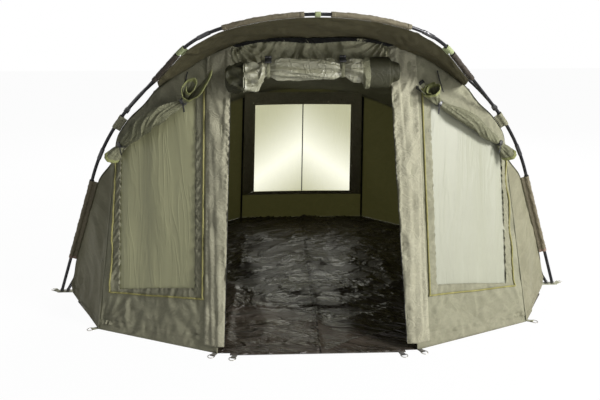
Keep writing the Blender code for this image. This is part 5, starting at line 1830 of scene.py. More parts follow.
# ---------------------------------------------------------------- door, header, rolled cloth

HEADER_LOW = 1.367
DOOR_EDGES = {Side.LEFT: (0.030, 0.045), Side.RIGHT: (0.047, 0.080)}
ROLL_PLACES = (-1.0, -0.96, -0.80, -0.62, -0.57, -0.1, 0.37, 0.44, 0.53, 0.56, 0.84, 0.88, 0.96)
ROLL_HEIGHTS = (0.050, 0.072, 0.076, 0.072, 0.056, 0.055, 0.056, 0.058, 0.058, 0.080, 0.080, 0.052, 0.046)
ROLL_DROPS = (0.072, 0.072, 0.072, 0.064, 0.034, 0.031, 0.031, 0.035, 0.035, 0.048, 0.048, 0.047, 0.047)


@dataclass
class Door(SubAssembly):
    """The jambs, the gathered header and the door rolled up under it.

    Args:
        stand: how far the jambs stand off the walls.
        roll_stand: the gap between the door's face and the roll.
        roll_depth: half the roll's depth.
        roll_span: half the roll's length.
        strap_half: half the toggle straps' width.
        toggles: where the straps go round the roll, as shares of its half span.
    """

    stand: float = 0.0028
    roll_stand: float = 0.0088
    roll_depth: float = 0.046
    roll_span: float = 0.440
    strap_half: float = 0.008
    toggles: tuple[float, float] = (-0.514, 0.316)

    def jamb(self, side: Side) -> None:
        """A pale zip strip that folds round a door corner, wavy from its gathered edge."""
        low = 0.033 / float(np.linalg.norm(door_point(0, 1) - door_point(0, 0)))
        columns = []
        rises = np.linspace(low, 0.997, 210)
        for across in np.linspace(0, 4, 25):
            line = []
            for rise in rises:
                outer, edge = mix(0.895, 0.880 if side is Side.LEFT else 0.900, rise), mix(*DOOR_EDGES[side], rise)
                corner = mix(window_point(1, rise, self.stand), door_point(0, rise, self.stand), 0.5)
                stops = [
                    window_point(outer, rise, self.stand), window_point(mix(outer, 1, 0.5), rise, self.stand), corner,
                    door_point(edge / 2, rise, self.stand), door_point(edge, rise, self.stand)
                ]
                k = min(int(across), 3)
                line.append(mix(stops[k], stops[k + 1], across - k))
            columns.append(line)
        panel = Panel(swept(columns))
        seed = 300 if side is Side.LEFT else 340
        width, height = panel.size
        folds: list[Fold] = [
            Ruffle((0, 0), (0, height), 0.030, 0.032, 0.0020, seed, 0.35),
            Ruffle((0, 0), (width, 0), height * 0.9, width / 3.3, 0.0026, seed + 4, 0.03),
            Ruffle((0, height), (width, height), height * 0.6, width / 2.6, 0.0030, seed + 6, 0.05),
            Fan((0, height * 0.93), -80, 40, 5, 0.40, 0.0050, seed + 5),
            Ruffle((width, 0), (width, height), 0.050, 0.034, 0.0040, seed + 1, -0.8),
            Undulation(0.0026, 0.14, seed + 2, (0.6, 1.0)),
            Creases(36, 20, 30, 0.07, 0.007, 0.0034, seed + 3, (width * 0.55, 0, width, height)),
        ]
        panel.fold(folds, (0.004, 0.004, 0.01, 0.02))
        panel.points += panel.normal * (0.0045 * panel.edge_mask((0.01, 0.01, 0, 0)))[..., None]
        self.sheet(
            panel, f"jamb_strip_{side.word}", side, Finish.JAMB, Body.FRONT.value, "gathered",
            [f"window_cloth_{side.word}"], [f"door_jamb_{side.word}"], "jamb_cloth"
        )
        below = slice(1, int(0.80 * panel.points.shape[1]))
        skin = ribbon(panel.points[-1, below], panel.normals()[-1, below], 0.0030, 0.0014, -0.0012)
        self.shape(f"door_zip_{side.word}", skin, Finish.BLACK_TAPE, Body.FRONT.value, "fitting_plastic", side)

    def header(self) -> None:
        """The gathered band above the door, with the dark gathered strip at its top, which is partly painted shade."""
        left, right = (DOOR_EDGES[side][1] - 0.016 / 0.984 for side in Side)
        columns = []
        for share in np.linspace(0, 1, 260):
            along = mix(left, 1 - right, share)
            low = door_rise(along, HEADER_LOW)
            columns.append([door_point(along, mix(low, 1, up)) for up in np.linspace(0, 1, 46)])
        panel = Panel(swept(columns))
        width, height = panel.size
        folds: list[Fold] = [
            Ruffle((0, 0), (width, 0), 0.085, width / 17, 0.0075, 401, 0.5),
            Ruffle((0, 0), (width, 0), 0.030, width / 46, 0.0030, 402),
            Undulation(0.0050, 0.20, 403, (1.0, 1.3)),
            Creases(30, 58, 9, 0.26, 0.014, 0.0095, 404, (0.02, 0.02, width * 0.52, height)),
            Creases(26, 104, 22, 0.24, 0.014, 0.0095, 405, (width * 0.45, 0.02, width, height)),
            Fan((0.02, height), -55, 60, 8, 0.24, 0.0100, 409),
            Fan((width - 0.02, height), -125, 60, 8, 0.24, 0.0100, 410),
            Creases(14, 60, 14, 0.10, 0.008, 0.0052, 406, (0, height * 0.3, 0.10, height)),
            Creases(14, 118, 14, 0.10, 0.008, 0.0052, 407, (width - 0.10, height * 0.3, width, height)),
            Ruffle((0, height), (width, height), 0.050, 0.022, 0.0024, 408, 0.6),
        ]
        panel.fold(folds, (0.035, 0.035, 0.0, 0.012))
        self.sheet(
            panel, "header_cloth_band", Side.LEFT, Finish.HEADER, Body.FRONT.value, "gathered", ["canopy_cloth"],
            ["door_header"], "front_cloth"
        )
        # The near-black gathered strip under the canopy's lip is partly dark elastic and partly painted shade for the
        # shadowed gap there.
        starts = [MAIN.at_x(0.425), MAIN.length - MAIN.at_x(0.425)]
        stops = spaced(*starts, 0.0045)
        columns = []
        for along in stops:
            top = front_seam(along, 0.002, -LIP - 0.0035)
            down = unit(front_top(along) - door_point(0.5, 0.9))
            columns.append([top - down * drop + vec(0, -0.0045, 0) for drop in np.linspace(0, 0.030, 9)])
        strip = Panel(swept(columns))
        width, height = strip.size
        strip.fold(
            [
                Ruffle((0, height / 2), (width, height / 2), 0.05, 0.017, 0.0028, 420, 0.3),
                Creases(40, 90, 20, 0.03, 0.004, 0.0022, 421)
            ],
            (0.01, 0.01, 0.0, 0.0)
        )
        self.sheet(
            strip, "gathered_band", Side.LEFT, Finish.BAND, Body.FRONT.value, "gathered", ["header_cloth_band"], (),
            "front_cloth"
        )

    def roll_point(self, share: float, turn: float, grow: float = 0.0) -> tuple[Array, Array]:
        """A point on the rolled door and the direction off it, at a share of its half span and a turn about it."""
        width = -door_point(0, door_rise(0, HEADER_LOW))[0]
        along = 0.5 + share * self.roll_span / (2 * width)
        half, drop = (np.interp(share, ROLL_PLACES, values) for values in (ROLL_HEIGHTS, ROLL_DROPS))
        centre = door_point(along, door_rise(along, HEADER_LOW - drop), self.roll_stand + self.roll_depth)
        slope = unit(door_point(along, 1) - door_point(along, 0))
        out = vec(0, -slope[2], slope[1])
        depth, height = self.roll_depth + grow, half + grow
        place = centre + out * (depth * math.cos(turn)) + slope * (height * math.sin(turn))
        return place, unit(out * math.cos(turn) / depth + slope * math.sin(turn) / height)

    def roll_part(
        self, name: str, low: float, high: float, finish: Finish, folds: Callable[[float, Array], Array],
        ends: tuple[float, float], rings: int
    ) -> None:
        """One length of the rolled door.

        Args:
            name: the piece.
            low: share of the half span where it starts.
            high: share where it ends.
            finish: its finish.
            folds: height off the roll by share and turns.
            ends: how far each end is tucked in, as a share of its radius.
            rings: how many rings.
        """
        turns = np.linspace(0, TAU, 72, endpoint=False)
        made = []
        for share in np.linspace(low, high, rings):
            pairs = [self.roll_point(float(share), float(t)) for t in turns]
            ring, out = np.array([p[0] for p in pairs]), np.array([p[1] for p in pairs])
            heart = ring.mean(axis=0)
            near = min(share - low, high - share) * self.roll_span
            tuck = ends[0] if share - low < high - share else ends[1]
            shrink = 1 - tuck * (1 - ease(near, 0, 0.012))
            ring = heart + (ring - heart) * shrink + out * (folds(float(share), turns) * ease(near, 0, 0.02))[:, None]
            made.append(ring)
        made = np.array(made)

        def coil(ring: Array, inward: int) -> Array:
            """Rings that step in to the roll's heart, as its layers show at an end."""
            heart = ring.mean(axis=0)
            steps = zip((0.80, 0.55, 0.30, 0.10), (0.009, 0.004, 0.009, 0.004))
            return np.array([heart + (ring - heart) * cut + vec(inward * deep, 0, 0) for cut, deep in steps])

        skin = lofted(np.concatenate([coil(made[0], 1)[::-1], made, coil(made[-1], -1)]))
        obj = self.shape(name, skin, finish, Body.FRONT.value, "front_cloth", replaces=["door_roll"])

    def roll(self) -> None:
        """The rolled door in its lengths: a crumpled end, a smooth glossy middle, a flare and a stepped end."""
        rng = np.random.default_rng(440)
        phases = rng.uniform(0, TAU, 12)

        def crumpled(share: float, turns: Array) -> Array:
            """Deep soft folds of the loose left end."""
            s = share * self.roll_span
            return (
                -0.006 + 0.0090 * (1 - 2 * np.abs(np.sin(2.5 * turns + 19 * s + phases[0])))
                + 0.0050 * np.sin(7 * turns - 41 * s + phases[1]) + 0.0022 * np.sin(14 * turns + 90 * s + phases[2])
            )

        def smooth(share: float, turns: Array) -> Array:
            """Long folds that wind slowly along the roll."""
            s = share * self.roll_span
            fold = (
                1 - 2 * np.abs(np.sin(2.5 * turns + 9 * s + phases[3]))
                + 0.8 * (1 - 2 * np.abs(np.sin(1.5 * turns + 4 * s + phases[4]))) + 0.3 * np.sin(9 * turns + 24 * s)
            )
            pinch = sum(math.exp(-(((share - t) * self.roll_span / 0.030) ** 2)) for t in self.toggles)
            return (
                -0.004 + 0.0082 * fold * (1 - 0.5 * pinch) - 0.0200 * pinch
                + 0.0012 * np.sin(21 * turns + 14 * s + phases[5])
            )

        def soft(share: float, turns: Array) -> Array:
            """Shallow folds on the stiff right end."""
            return 0.0009 * np.sin(3 * turns + 9 * share) - 0.001

        def flared(share: float, turns: Array) -> Array:
            """Fine ribs on the flare."""
            return 0.0016 * np.sin(11 * turns + phases[6])

        def stepped(share: float, turns: Array) -> Array:
            """Ribs that wind round the stepped end."""
            return 0.0014 * np.sin(6 * turns + 70 * share)

        self.roll_part("door_roll_left", -1.0, -0.77, Finish.DARK_ROLL, crumpled, (0.10, 0.02), 40)
        self.roll_part("door_roll_bunch", -0.79, -0.575, Finish.ROLL, crumpled, (0.02, 0.05), 40)
        self.roll_part("door_roll_middle", -0.585, 0.545, Finish.ROLL, smooth, (0.05, 0.05), 130)
        self.roll_part("door_roll_flare", 0.535, 0.62, Finish.FLAP, flared, (0.04, 0.02), 16)
        self.roll_part("door_roll_right", 0.60, 0.86, Finish.DARK_ROLL, soft, (0.03, 0.06), 36)
        self.roll_part("door_roll_end", 0.845, 0.96, Finish.DARK_ROLL, stepped, (0.03, 0.10), 20)

    def straps(self) -> None:
        """The toggle straps round the roll, each with its barrel."""
        for side, share in zip(Side, self.toggles):
            turns = np.radians(np.linspace(205, -115, 60))
            pairs = [self.roll_point(share, float(t), -0.0140) for t in turns]
            line, out = [p[0] for p in pairs], [p[1] for p in pairs]
            width = -door_point(0, door_rise(0, HEADER_LOW))[0]
            along = 0.5 + share * self.roll_span / (2 * width)
            tail = door_point(along, door_rise(along, HEADER_LOW + 0.035), 0.0095)
            first = [mix(tail, line[0], s) for s in np.linspace(0, 0.9, 8)]
            path = np.array(first + line)
            outs = np.array([out[0]] * 8 + out)
            skin = ribbon(path, outs, self.strap_half, 0.0016, 0.0, vec(1, 0, 0))
            obj = self.shape(
                f"toggle_strap_{side.word}", skin, Finish.FLAP, Body.FRONT.value, "fitting_plastic",
                replaces=[f"door_toggle_{side.word}"]
            )
            give_cut(obj)
            place, off = self.roll_point(share, TAU * 0.13, -0.001)
            body = set_on(block((0.034, 0.038, 0.011)), place, vec(1, 0, 0), off)
            self.shape(f"toggle_buckle_{side.word}", lofted(body), Finish.PLASTIC, Body.FRONT.value, "fitting_plastic")
            place, off = self.roll_point(share, TAU * 0.155, 0.012)
            profile = [
                (0, 0.0), (0.0004, 0.0030), (0.002, 0.0052), (0.006, 0.0068), (0.014, 0.0070), (0.0155, 0.0052),
                (0.0185, 0.0052), (0.020, 0.0070), (0.028, 0.0068), (0.032, 0.0052), (0.0336, 0.0030), (0.034, 0)
            ]
            rings = turned(place - vec(0.017, 0, 0), vec(1, 0, 0), profile, 28)
            self.shape(f"toggle_barrel_{side.word}", lofted(rings), Finish.PLASTIC, Body.FRONT.value, "fitting_plastic")

    def make(self) -> None:
        """Builds the whole doorway."""
        for side in Side:
            self.jamb(side)
        self.header()
        self.roll()
        self.straps()


@dataclass
class Flaps(SubAssembly):
    """The window flaps, rolled up and tied along the top of each window, with an open mouth at each end.

    Args:
        ties: the upper and the lower tie of each hand, as shares across and up the window wall.
        radii: the roll's radius from the upper tie to the lower one.
        sag: how far the roll hangs between its ties, as a share of the wall's height.
    """

    ties: dict[Side, tuple[tuple[float, float], tuple[float, float]]] = field(
        default_factory=lambda: {
            Side.LEFT: ((0.725, 0.872), (0.150, 0.896)), Side.RIGHT: ((0.755, 0.852), (0.170, 0.880))
        }
    )
    radii: tuple[float, ...] = (0.013, 0.026, 0.038, 0.042, 0.042, 0.039, 0.034, 0.028, 0.012)
    sag: float = 0.012

    def axes(self, place: tuple[float, float]) -> tuple[Array, Array, Array]:
        """Directions across the wall towards the door, up it and off it."""
        across = unit(window_point(place[0] + 0.1, place[1]) - window_point(place[0] - 0.1, place[1]))
        up = unit(window_point(place[0], place[1] + 0.05) - window_point(place[0], place[1] - 0.05))
        return across, up, unit(np.cross(across, up))

    def roll(self, side: Side, calm: float) -> None:
        """The rolled length between the ties, with folds that wind along it, and its two ties."""
        rng = np.random.default_rng(500 if side is Side.LEFT else 560)
        phase = rng.uniform(0, TAU, 8)
        (a0, r0), (a1, r1) = self.ties[side]
        shares = np.linspace(-0.02, 1.02, 190)
        radii = np.interp(shares, np.linspace(0, 1, len(self.radii)), self.radii)
        kernel = np.hanning(15) / np.hanning(15).sum()
        radii = np.convolve(np.pad(radii, 7, mode="edge"), kernel, "valid") * (1.0 if side is Side.LEFT else 0.85)
        centres = np.array(
            [
                window_point(mix(a0, a1, s), mix(r0, r1, s) - self.sag * 4 * s * (1 - s), radius + 0.007)
                for s, radius in zip(shares, radii)
            ]
        )
        first, second = frames(centres)
        turns = np.linspace(0, TAU, 90, endpoint=False)
        length = np.concatenate([[0], np.cumsum(np.linalg.norm(np.diff(centres, axis=0), axis=1))])
        rings = []
        for i, centre in enumerate(centres):
            turned_by = turns + 7 * length[i] + 0.5 * math.sin(13 * length[i] + phase[3])
            deep = (
                0.17 * (1 - 2 * np.abs(np.sin(2.5 * turned_by + phase[0])))
                + 0.11 * (1 - 2 * np.abs(np.sin(4.5 * (turned_by + 4 * length[i]) + phase[1])))
            )
            fine = (
                0.035 * np.sin(13 * turned_by + 3 * np.sin(30 * length[i] + phase[2]))
                + 0.03 * np.sin(2 * turns + 60 * length[i])
            )
            radius = radii[i] * (0.94 + calm * (deep + fine))
            rings.append(
                centre + first[i] * (radius * np.cos(turns))[:, None] + second[i] * (radius * np.sin(turns))[:, None]
            )
        skin = lofted(np.array(rings))
        made = self.shape(
            f"flap_roll_{side.word}", skin, Finish.FLAP, Body.FRONT.value, "front_cloth", side,
            replaces=[f"window_flap_{side.word}"]
        )
        for word, i, place in (("upper", 4, self.ties[side][0]), ("lower", len(centres) - 5, self.ties[side][1])):
            self.tie(
                word, side, centres[i], unit(centres[i + 1] - centres[i - 1]), first[i], second[i],
                radii[i] * 1.16 + 0.001, self.axes(place)[2]
            )

    def tie(
        self, word: str, side: Side, heart: Array, along: Array, first: Array, second: Array, radius: float, off: Array
    ) -> None:
        """A black tape pulled tight round the roll, with its buckle and loose tail.

        Args:
            word: which of the two ties.
            side: the hand.
            heart: the middle of the roll.
            along: the roll's direction.
            first: one direction square to it.
            second: the other.
            radius: the loop's radius.
            off: the direction off the wall.
        """
        angles = np.linspace(0, TAU, 60, endpoint=False)
        outs = first * np.cos(angles)[:, None] + second * np.sin(angles)[:, None]
        section = ((-0.010, 0), (-0.008, 0.0008), (0.008, 0.0008), (0.010, 0), (0.008, -0.0004), (-0.008, -0.0004))
        loop = np.stack([heart + outs * (radius + up) + along * across for across, up in section], axis=1)
        self.shape(
            f"flap_tie_{word}_{side.word}", lofted(loop, closed=True), Finish.BLACK_TAPE, Body.FRONT.value, "webbing",
            side
        )
        body = set_on(block((0.026, 0.020, 0.009)), heart + off * (radius + 0.004), np.cross(off, along), off)
        self.shape(
            f"flap_buckle_{word}_{side.word}", lofted(body), Finish.PLASTIC, Body.FRONT.value, "fitting_plastic", side
        )
        down = unit(np.cross(along, off))
        down = -down if down[2] > 0 else down
        tail = np.array(
            [
                heart + off * (radius + 0.003 + 0.004 * math.sin(3 * s)) + down * (0.008 + 0.050 * s)
                + along * (0.012 * s * s)
                for s in np.linspace(0, 1, 14)
            ]
        )
        strip = self.shape(
            f"flap_tail_{word}_{side.word}", ribbon(tail, np.broadcast_to(off, tail.shape), 0.0045, 0.0012, 0.0),
            Finish.BLACK_TAPE, Body.FRONT.value, "webbing", side
        )
        give_cut(strip)

    def mouth(
        self, name: str, side: Side, tie: Array, centre: Array, axes: tuple[Array, Array],
        spiral: Sequence[tuple[float, float]], folds: int, edge: Finish = Finish.EDGING
    ) -> None:
        """An open end of the roll: cloth coiled about the tie that flares out to a bound rim.

        Args:
            name: the piece.
            side: the hand.
            tie: the narrow place that it opens from.
            centre: the middle of its rim.
            axes: the rim's two directions.
            spiral: degrees along the coil, each with its radius.
            folds: how many folds go round.
            edge: the binding's finish.
        """
        first, second = axes
        angles = np.linspace(spiral[0][0], spiral[-1][0], 200)
        reach = np.interp(angles, [a for a, _ in spiral], [r for _, r in spiral])
        reach = np.convolve(np.pad(reach, 9, mode="edge"), np.hanning(19) / np.hanning(19).sum(), "valid")
        turns = np.radians(angles)
        out = first * np.cos(turns)[:, None] + second * np.sin(turns)[:, None]
        small = tie + out * (0.004 + 0.010 * reach / reach.max())[:, None]
        rows = []
        for u in np.linspace(0, 1, 36):
            wave = (
                reach * (0.11 * np.sin(folds * turns + 2.2 * u) + 0.06 * np.sin((2 * folds + 1) * turns - 3 * u + 1))
                * (0.35 + math.sin(math.pi * min(1, u * 1.1)))
            )
            row = mix(centre + out * reach[:, None], small, u**0.85) + out * (wave * (1 - 0.6 * u))[:, None]
            rows.append(row)
        panel = Panel(np.array(rows).transpose(1, 0, 2))
        steps = np.linalg.norm(np.diff(panel.points, axis=1), axis=2).sum(axis=1)
        rim = float(np.linalg.norm(np.diff(panel.points[:, 0], axis=0), axis=1).sum())
        cut = rim, float(np.average(steps, weights=reach))
        self.sheet(
            panel, f"{name}_{side.word}", side, Finish.FLAP, Body.FRONT.value, "gathered", [f"flap_roll_{side.word}"],
            (), "front_cloth", cut=cut
        )
        binding = Panel(panel.points[:, :5])
        self.put(
            binding.mesh(f"{name}_edging_{side.word}", side), edge, Body.FRONT.value, slot="front_cloth",
            thickness=0.0044
        )

    def hanger(self, side: Side) -> None:
        """The tape that the upper end hangs from, sewn to the wall under the hood."""
        line = np.array(
            [
                window_point(mix(0.745, 0.71, s), mix(0.978, 0.905, s), 0.0095 + 0.010 * s * s)
                for s in np.linspace(0, 1, 24)
            ]
        )
        strip = self.shape(
            f"flap_hanger_{side.word}",
            ribbon(line, np.broadcast_to(self.axes((0.72, 0.94))[2], line.shape), 0.0035, 0.0012, 0.0),
            Finish.BLACK_TAPE, Body.FRONT.value, "webbing", side
        )
        give_cut(strip)

    def make(self) -> None:
        """Builds both rolls with their ties and mouths: the left one is coiled loosely, the right one tightly."""
        for side in Side:
            self.roll(side, 1.0 if side is Side.LEFT else 0.42)
            self.hanger(side)
            upper, lower = self.ties[side]
            across, up, off = self.axes(upper)
            tie = window_point(*upper, 0.020)
            if side is Side.LEFT:
                coil = (
                    (-210, 0.024), (-60, 0.032), (60, 0.041), (145, 0.053), (190, 0.056), (270, 0.062), (330, 0.100),
                    (372, 0.128)
                )
                self.mouth("flap_mouth_upper", side, tie, window_point(0.805, 0.900, 0.066), (across, up), coil, 3)
            else:
                run, square = unit(across * 0.8 + up * 0.6), unit(up * 0.8 - across * 0.6)
                coil = ((-200, 0.030), (0, 0.040), (160, 0.048), (340, 0.054))
                self.mouth(
                    "flap_mouth_upper", side, tie, tie + run * 0.085 + off * 0.035,
                    (square, unit(off * 0.8 - run * 0.45)), coil, 4
                )
                self.mouth(
                    "flap_tongue", side, tie + run * 0.03, tie + run * 0.160 - up * 0.030 + off * 0.010,
                    (square, unit(off - run * 0.3)), ((150, 0.040), (240, 0.030), (330, 0.046)), 3, Finish.BAND
                )
            across, up, off = self.axes(lower)
            run, square = unit(-across * 0.83 - up * 0.55), unit(up * 0.83 - across * 0.55)
            tie = window_point(*lower, 0.017)
            self.mouth(
                "flap_mouth_lower", side, tie, tie + run * 0.078 + off * 0.034, (square, unit(off * 0.9 + run * 0.35)),
                ((-140, 0.028), (100, 0.040), (300, 0.047)), 4
            )


# ---------------------------------------------------------------- rear walls and groundsheet


@dataclass
class RearWalls(SubAssembly):
    """The rear wall with its window, and the side walls that run round from it to the pole feet.

    Args:
        step: distance between grid lines of the side walls.
    """

    step: float = 0.018

    def drape(self, obj: bpy.types.Object) -> None:
        """Passes a rear piece to bend, which bakes its place into its mesh."""
        shares = angle_weights(obj, FOOT_AXIS, *REAR_SPAN)
        span = vec(0, REAR_CORNER[1], 0), REAR.world(REAR.length / 2)
        self.bend(obj, Body.BASE.value, Body.REAR.value, shares, span)

    def side_panel(self, seed: int) -> Panel:
        """The wall from the pole foot round the rear side corner to the rear corner."""
        foot, side, corner = hem(*REAR_FOOT_HEM), hem(*REAR_SIDE_CORNER), hem(*REAR_CORNER)
        last = corner + unit(side - corner) * CORNER_SEAM
        start, end = rear_match(SEAM_START), REAR_END - CORNER_SEAM
        first, second = float(np.linalg.norm(side - foot)), float(np.linalg.norm(last - side))
        bend = first / (first + second)
        columns = []
        for top in spaced(start, end, self.step):
            share = (top - start) / (end - start)
            low = mix(foot, side, share / bend) if share <= bend else mix(side, last, (share - bend) / (1 - bend))
            columns.append([mix(low, rear_top(top), rise) for rise in np.linspace(0, 1, 76)])
        panel = Panel(swept(columns))
        width, height = panel.size
        folds: list[Fold] = [
            Undulation(0.0042, 0.5, seed, (1.0, 1.5)),
            Creases(40, 80, 25, 0.30, 0.014, 0.0036, seed + 1),
            Creases(24, 30, 40, 0.20, 0.010, 0.0024, seed + 2),
            Fan((width * 0.57, 0.01), 90, 60, 7, 0.40, 0.009, seed + 3),
            Ruffle((0, 0), (width, 0), 0.05, 0.036, 0.0012, seed + 4),
        ]
        return panel.fold(folds, (0.05, 0.03, 0.02, 0.03), floor=0.0012)

    def side_walls(self) -> None:
        """Both walls between the pole feet and the rear corners."""
        for side in Side:
            panel = self.side_panel(600 if side is Side.LEFT else 640)
            obj = self.sheet(
                panel, f"rear_side_cloth_{side.word}", side, Finish.REAR, None, "hung", ["canopy_cloth"],
                [f"rear_side_wall_{side.word}"], "olive_cloth")
            self.drape(obj)

    def rises(self, along: float) -> list[float]:
        """Rises of the rear wall's grid lines, which run level beside the opening."""
        low, high = (rear_rise(along, height) for height in REAR_OPENING)
        return [*np.linspace(0, low, 20)[:-1], *np.linspace(low, high, 50)[:-1], *np.linspace(high, 1, 9)]

    def wall(self) -> None:
        """The rear wall, ruffled round its window's opening."""
        left, right = 0.5 - REAR_HALF, 0.5 + REAR_HALF
        across = [*np.linspace(0, left, 8)[:-1], *np.linspace(left, right, 60)[:-1], *np.linspace(right, 1, 8)]
        points = np.array([[rear_point(x, r) for r in self.rises(x)] for x in across])
        opened = np.zeros((len(across) - 1, points.shape[1] - 1), bool)
        opened[slice(*REAR_COLUMNS), slice(*REAR_ROWS)] = True
        panel = Panel(points, opened)
        s0, s1 = (panel.s[line].mean() for line in REAR_COLUMNS)
        t0, t1 = (panel.t[:, line].mean() for line in REAR_ROWS)
        corners = ((s0, t0), (s1, t0), (s1, t1), (s0, t1))
        folds: list[Fold] = [
            Ruffle(p, q, 0.06, 0.024, 0.0030, 650 + i) for i,
            (p, q) in enumerate(zip(corners, corners[1:] + corners[:1]))
        ]
        folds += [Undulation(0.003, 0.3, 656), Creases(30, 70, 40, 0.16, 0.01, 0.003, 657)]
        panel.fold(folds, (0.02, 0.02, 0.02, 0.02), floor=0.0012)
        self.drape(
            self.sheet(
                panel, "rear_cloth", Side.LEFT, Finish.REAR, None, "hung", ["canopy_cloth"], ["rear_wall"],
                "olive_cloth"))

    def film(self) -> None:
        """The window's film, sewn behind the opening."""
        reach = REAR_HALF + REAR_LAP / REAR_WIDTH
        columns = []
        for x in np.linspace(0.5 - reach, 0.5 + reach, 44):
            rises = np.linspace(rear_rise(x, REAR_OPENING[0] - REAR_LAP), rear_rise(x, REAR_OPENING[1] + REAR_LAP), 40)
            columns.append([rear_point(x, r, -0.0040) for r in rises])
        film = Panel(swept(columns)).fold([Undulation(0.0020, 0.3, 660), Creases(14, 20, 60, 0.3, 0.012, 0.0018, 661)])
        self.drape(
            self.sheet(
                film, "rear_pane", Side.LEFT, Finish.REAR_FILM, None, "hung", ["rear_cloth"], ["rear_window_film"],
                "window_film", 0.0006))

    def seams(self) -> None:
        """The dark seams up the wall's corners, on both faces, and the one down the window's middle."""
        lean = unit(vec(-0.42, 0.85, 0.3))
        for side in Side:
            for word, stand in (("inner", -0.004), ("outer", 0.003)):
                shift = vec(-0.35, 0.9, 0.2) * stand
                line = [rear_point(0.0, r, 0.0) + shift - vec(0.0012, 0, 0) for r in np.linspace(0.002, 0.998, 80)]
                skin = ribbon(np.array(line), np.broadcast_to(lean, (80, 3)), 0.008, 0.0016, 0.0)
                seam = self.shape(f"rear_corner_seam_{word}_{side.word}", skin, Finish.BAND, None, "olive_cloth", side)
                give_cut(seam)
                self.drape(seam)
        rises = np.linspace(rear_rise(0.5, 0.275), rear_rise(0.5, 1.035), 60)
        line = np.array([rear_point(0.5, r, -0.0080) for r in rises])
        skin = ribbon(line, np.broadcast_to(vec(0, -1, 0), line.shape), 0.004, 0.0014, 0.0)
        self.drape(self.shape("rear_window_seam", skin, Finish.BLACK_TAPE, None, "fitting_plastic"))

    def make(self) -> None:
        """Builds the rear walls, the window's film, its gathered surrounds and the seams."""
        self.side_walls()
        self.wall()
        self.film()
        for word, reach, stand in (("inner", 0.088, -0.0075), ("outer", 0.026, 0.0030)):
            self.surround(word, reach, stand)
        self.seams()

    def surround(self, word: str, reach: float, stand: float) -> None:
        """A gathered binding round the rear window, on one face of the wall.

        Args:
            word: which face.
            reach: its width.
            stand: how far it stands off the wall's outer face.
        """
        low, high = REAR_OPENING
        ring = []
        for a0, h0, a1, h1 in ((-1, low, 1, low), (1, low, 1, high), (1, high, -1, high), (-1, high, -1, low)):
            for s in np.linspace(0, 1, 90, endpoint=False):
                ring.append((0.5 + REAR_HALF * mix(a0, a1, s), mix(h0, h1, s)))
        middle, edge = np.array([0.5, 0.655]), np.array([REAR_HALF * 0.999, 0.3849])
        rows = []
        for across in np.linspace(-0.10, 1, 13):
            row = []
            for a, h in ring:
                off = np.array([a, h]) - middle
                away = np.sign(off) * (np.abs(off) > edge)
                under = min(reach, 0.030) if away[1] < 0 else reach
                x, z = a + away[0] * across * reach / REAR_WIDTH, h + away[1] * across * under
                row.append(rear_point(x, rear_rise(x, z), stand))
            rows.append(row + row[:1])
        panel = Panel(swept(rows).transpose(1, 0, 2))
        length = panel.size[0]
        deep = 0.0034 if word == "inner" else 0.0020
        panel.fold(
            [
                Ruffle((0, reach / 2), (length, reach / 2), reach, 0.026, deep, 670, 0.5),
                Creases(60, 70, 20, 0.07, 0.007, deep * 0.8, 671)
            ],
            (0, 0, 0.020, 0.004)
        )
        # The inner binding takes the paler finish of painted light; the outer one takes the darker binding finish.
        self.drape(
            self.sheet(
                panel, f"rear_surround_{word}", Side.LEFT, Finish.GATHERS if word == "inner" else Finish.SURROUND, None,
                "gathered", ["rear_cloth"], (), "olive_cloth", 0.0010
            )
        )


@dataclass
class GroundSheet(SubAssembly):
    """The separate floor sheet inside the walls, which shows past the door.

    Args:
        step: distance between grid lines.
    """

    step: float = 0.0165

    def make(self) -> None:
        """Builds the sheet with its folds from packing and its low wrinkles."""
        outline = [
            (-0.8700, 0.4325), (-0.8476, 0.4325), (-0.8464, 0.4895), (-0.5448, 1.1510), (-0.17, 1.380), (0.22, 1.380),
            (0.9785, 1.1466), (1.6264, 0.5205)
        ]
        columns = []
        low, high = outline[0][0], outline[-1][0]
        rows = np.concatenate([[low, -0.8476, -0.8464], spaced(-0.8464, high, self.step)[1:]])
        for u in np.linspace(-1, 1, 150):
            columns.append([vec(u * float(np.interp(y, *zip(*outline))), y, 0.0015) for y in rows])
        panel = Panel(swept(columns), centre=(0, 0.4, -3.0))
        x, y = panel.points[..., 0], panel.points[..., 1]
        folds = [
            Undulation(0.0050, 0.36, 700),
            Creases(60, 4, 26, 0.55, 0.030, 0.0150, 704),
            Creases(70, 80, 40, 0.40, 0.024, 0.0110, 701),
            Creases(110, 20, 60, 0.22, 0.018, 0.0080, 702),
        ]
        height = sum(fold.height(x, y) for fold in folds)
        for place, direction in ((0.006, 0), (-0.46, 0), (0.52, 0), (-0.30, 1), (0.42, 1)):
            off = (x if direction == 0 else y) - place - 0.002 * np.sin((y if direction == 0 else x) * 9)
            height = height + 0.0120 * np.exp(-np.abs(off) / 0.014)
        edge = np.interp(y, *zip(*outline)) - np.abs(x)
        height = height + Ruffle((-1, high), (1, high), 0.05, 0.05, 0.004, 703).height(x, y)
        hold = ease(edge, 0, 0.06) * ease(y, low, low + 0.05) * ease(high - y, 0, 0.015)
        panel.points[..., 2] += np.maximum(height, -0.0004) * hold
        self.sheet(
            panel, "floor_cloth", Side.LEFT, Finish.GROUND, Body.BASE.value, "laid", [], ["groundsheet"], "groundsheet",
            0.0012
        )
        line = np.array([vec(s, -0.8685, 0.0028) for s in np.linspace(-0.432, 0.432, 90)])
        skin = ribbon(line, np.broadcast_to(vec(0, 0, 1.0), line.shape), 0.0014, 0.0010, 0.0)
        self.shape("floor_front_edge", skin, Finish.BLACK_TAPE, Body.BASE.value, "groundsheet")


# ---------------------------------------------------------------- poles, sleeves, fittings


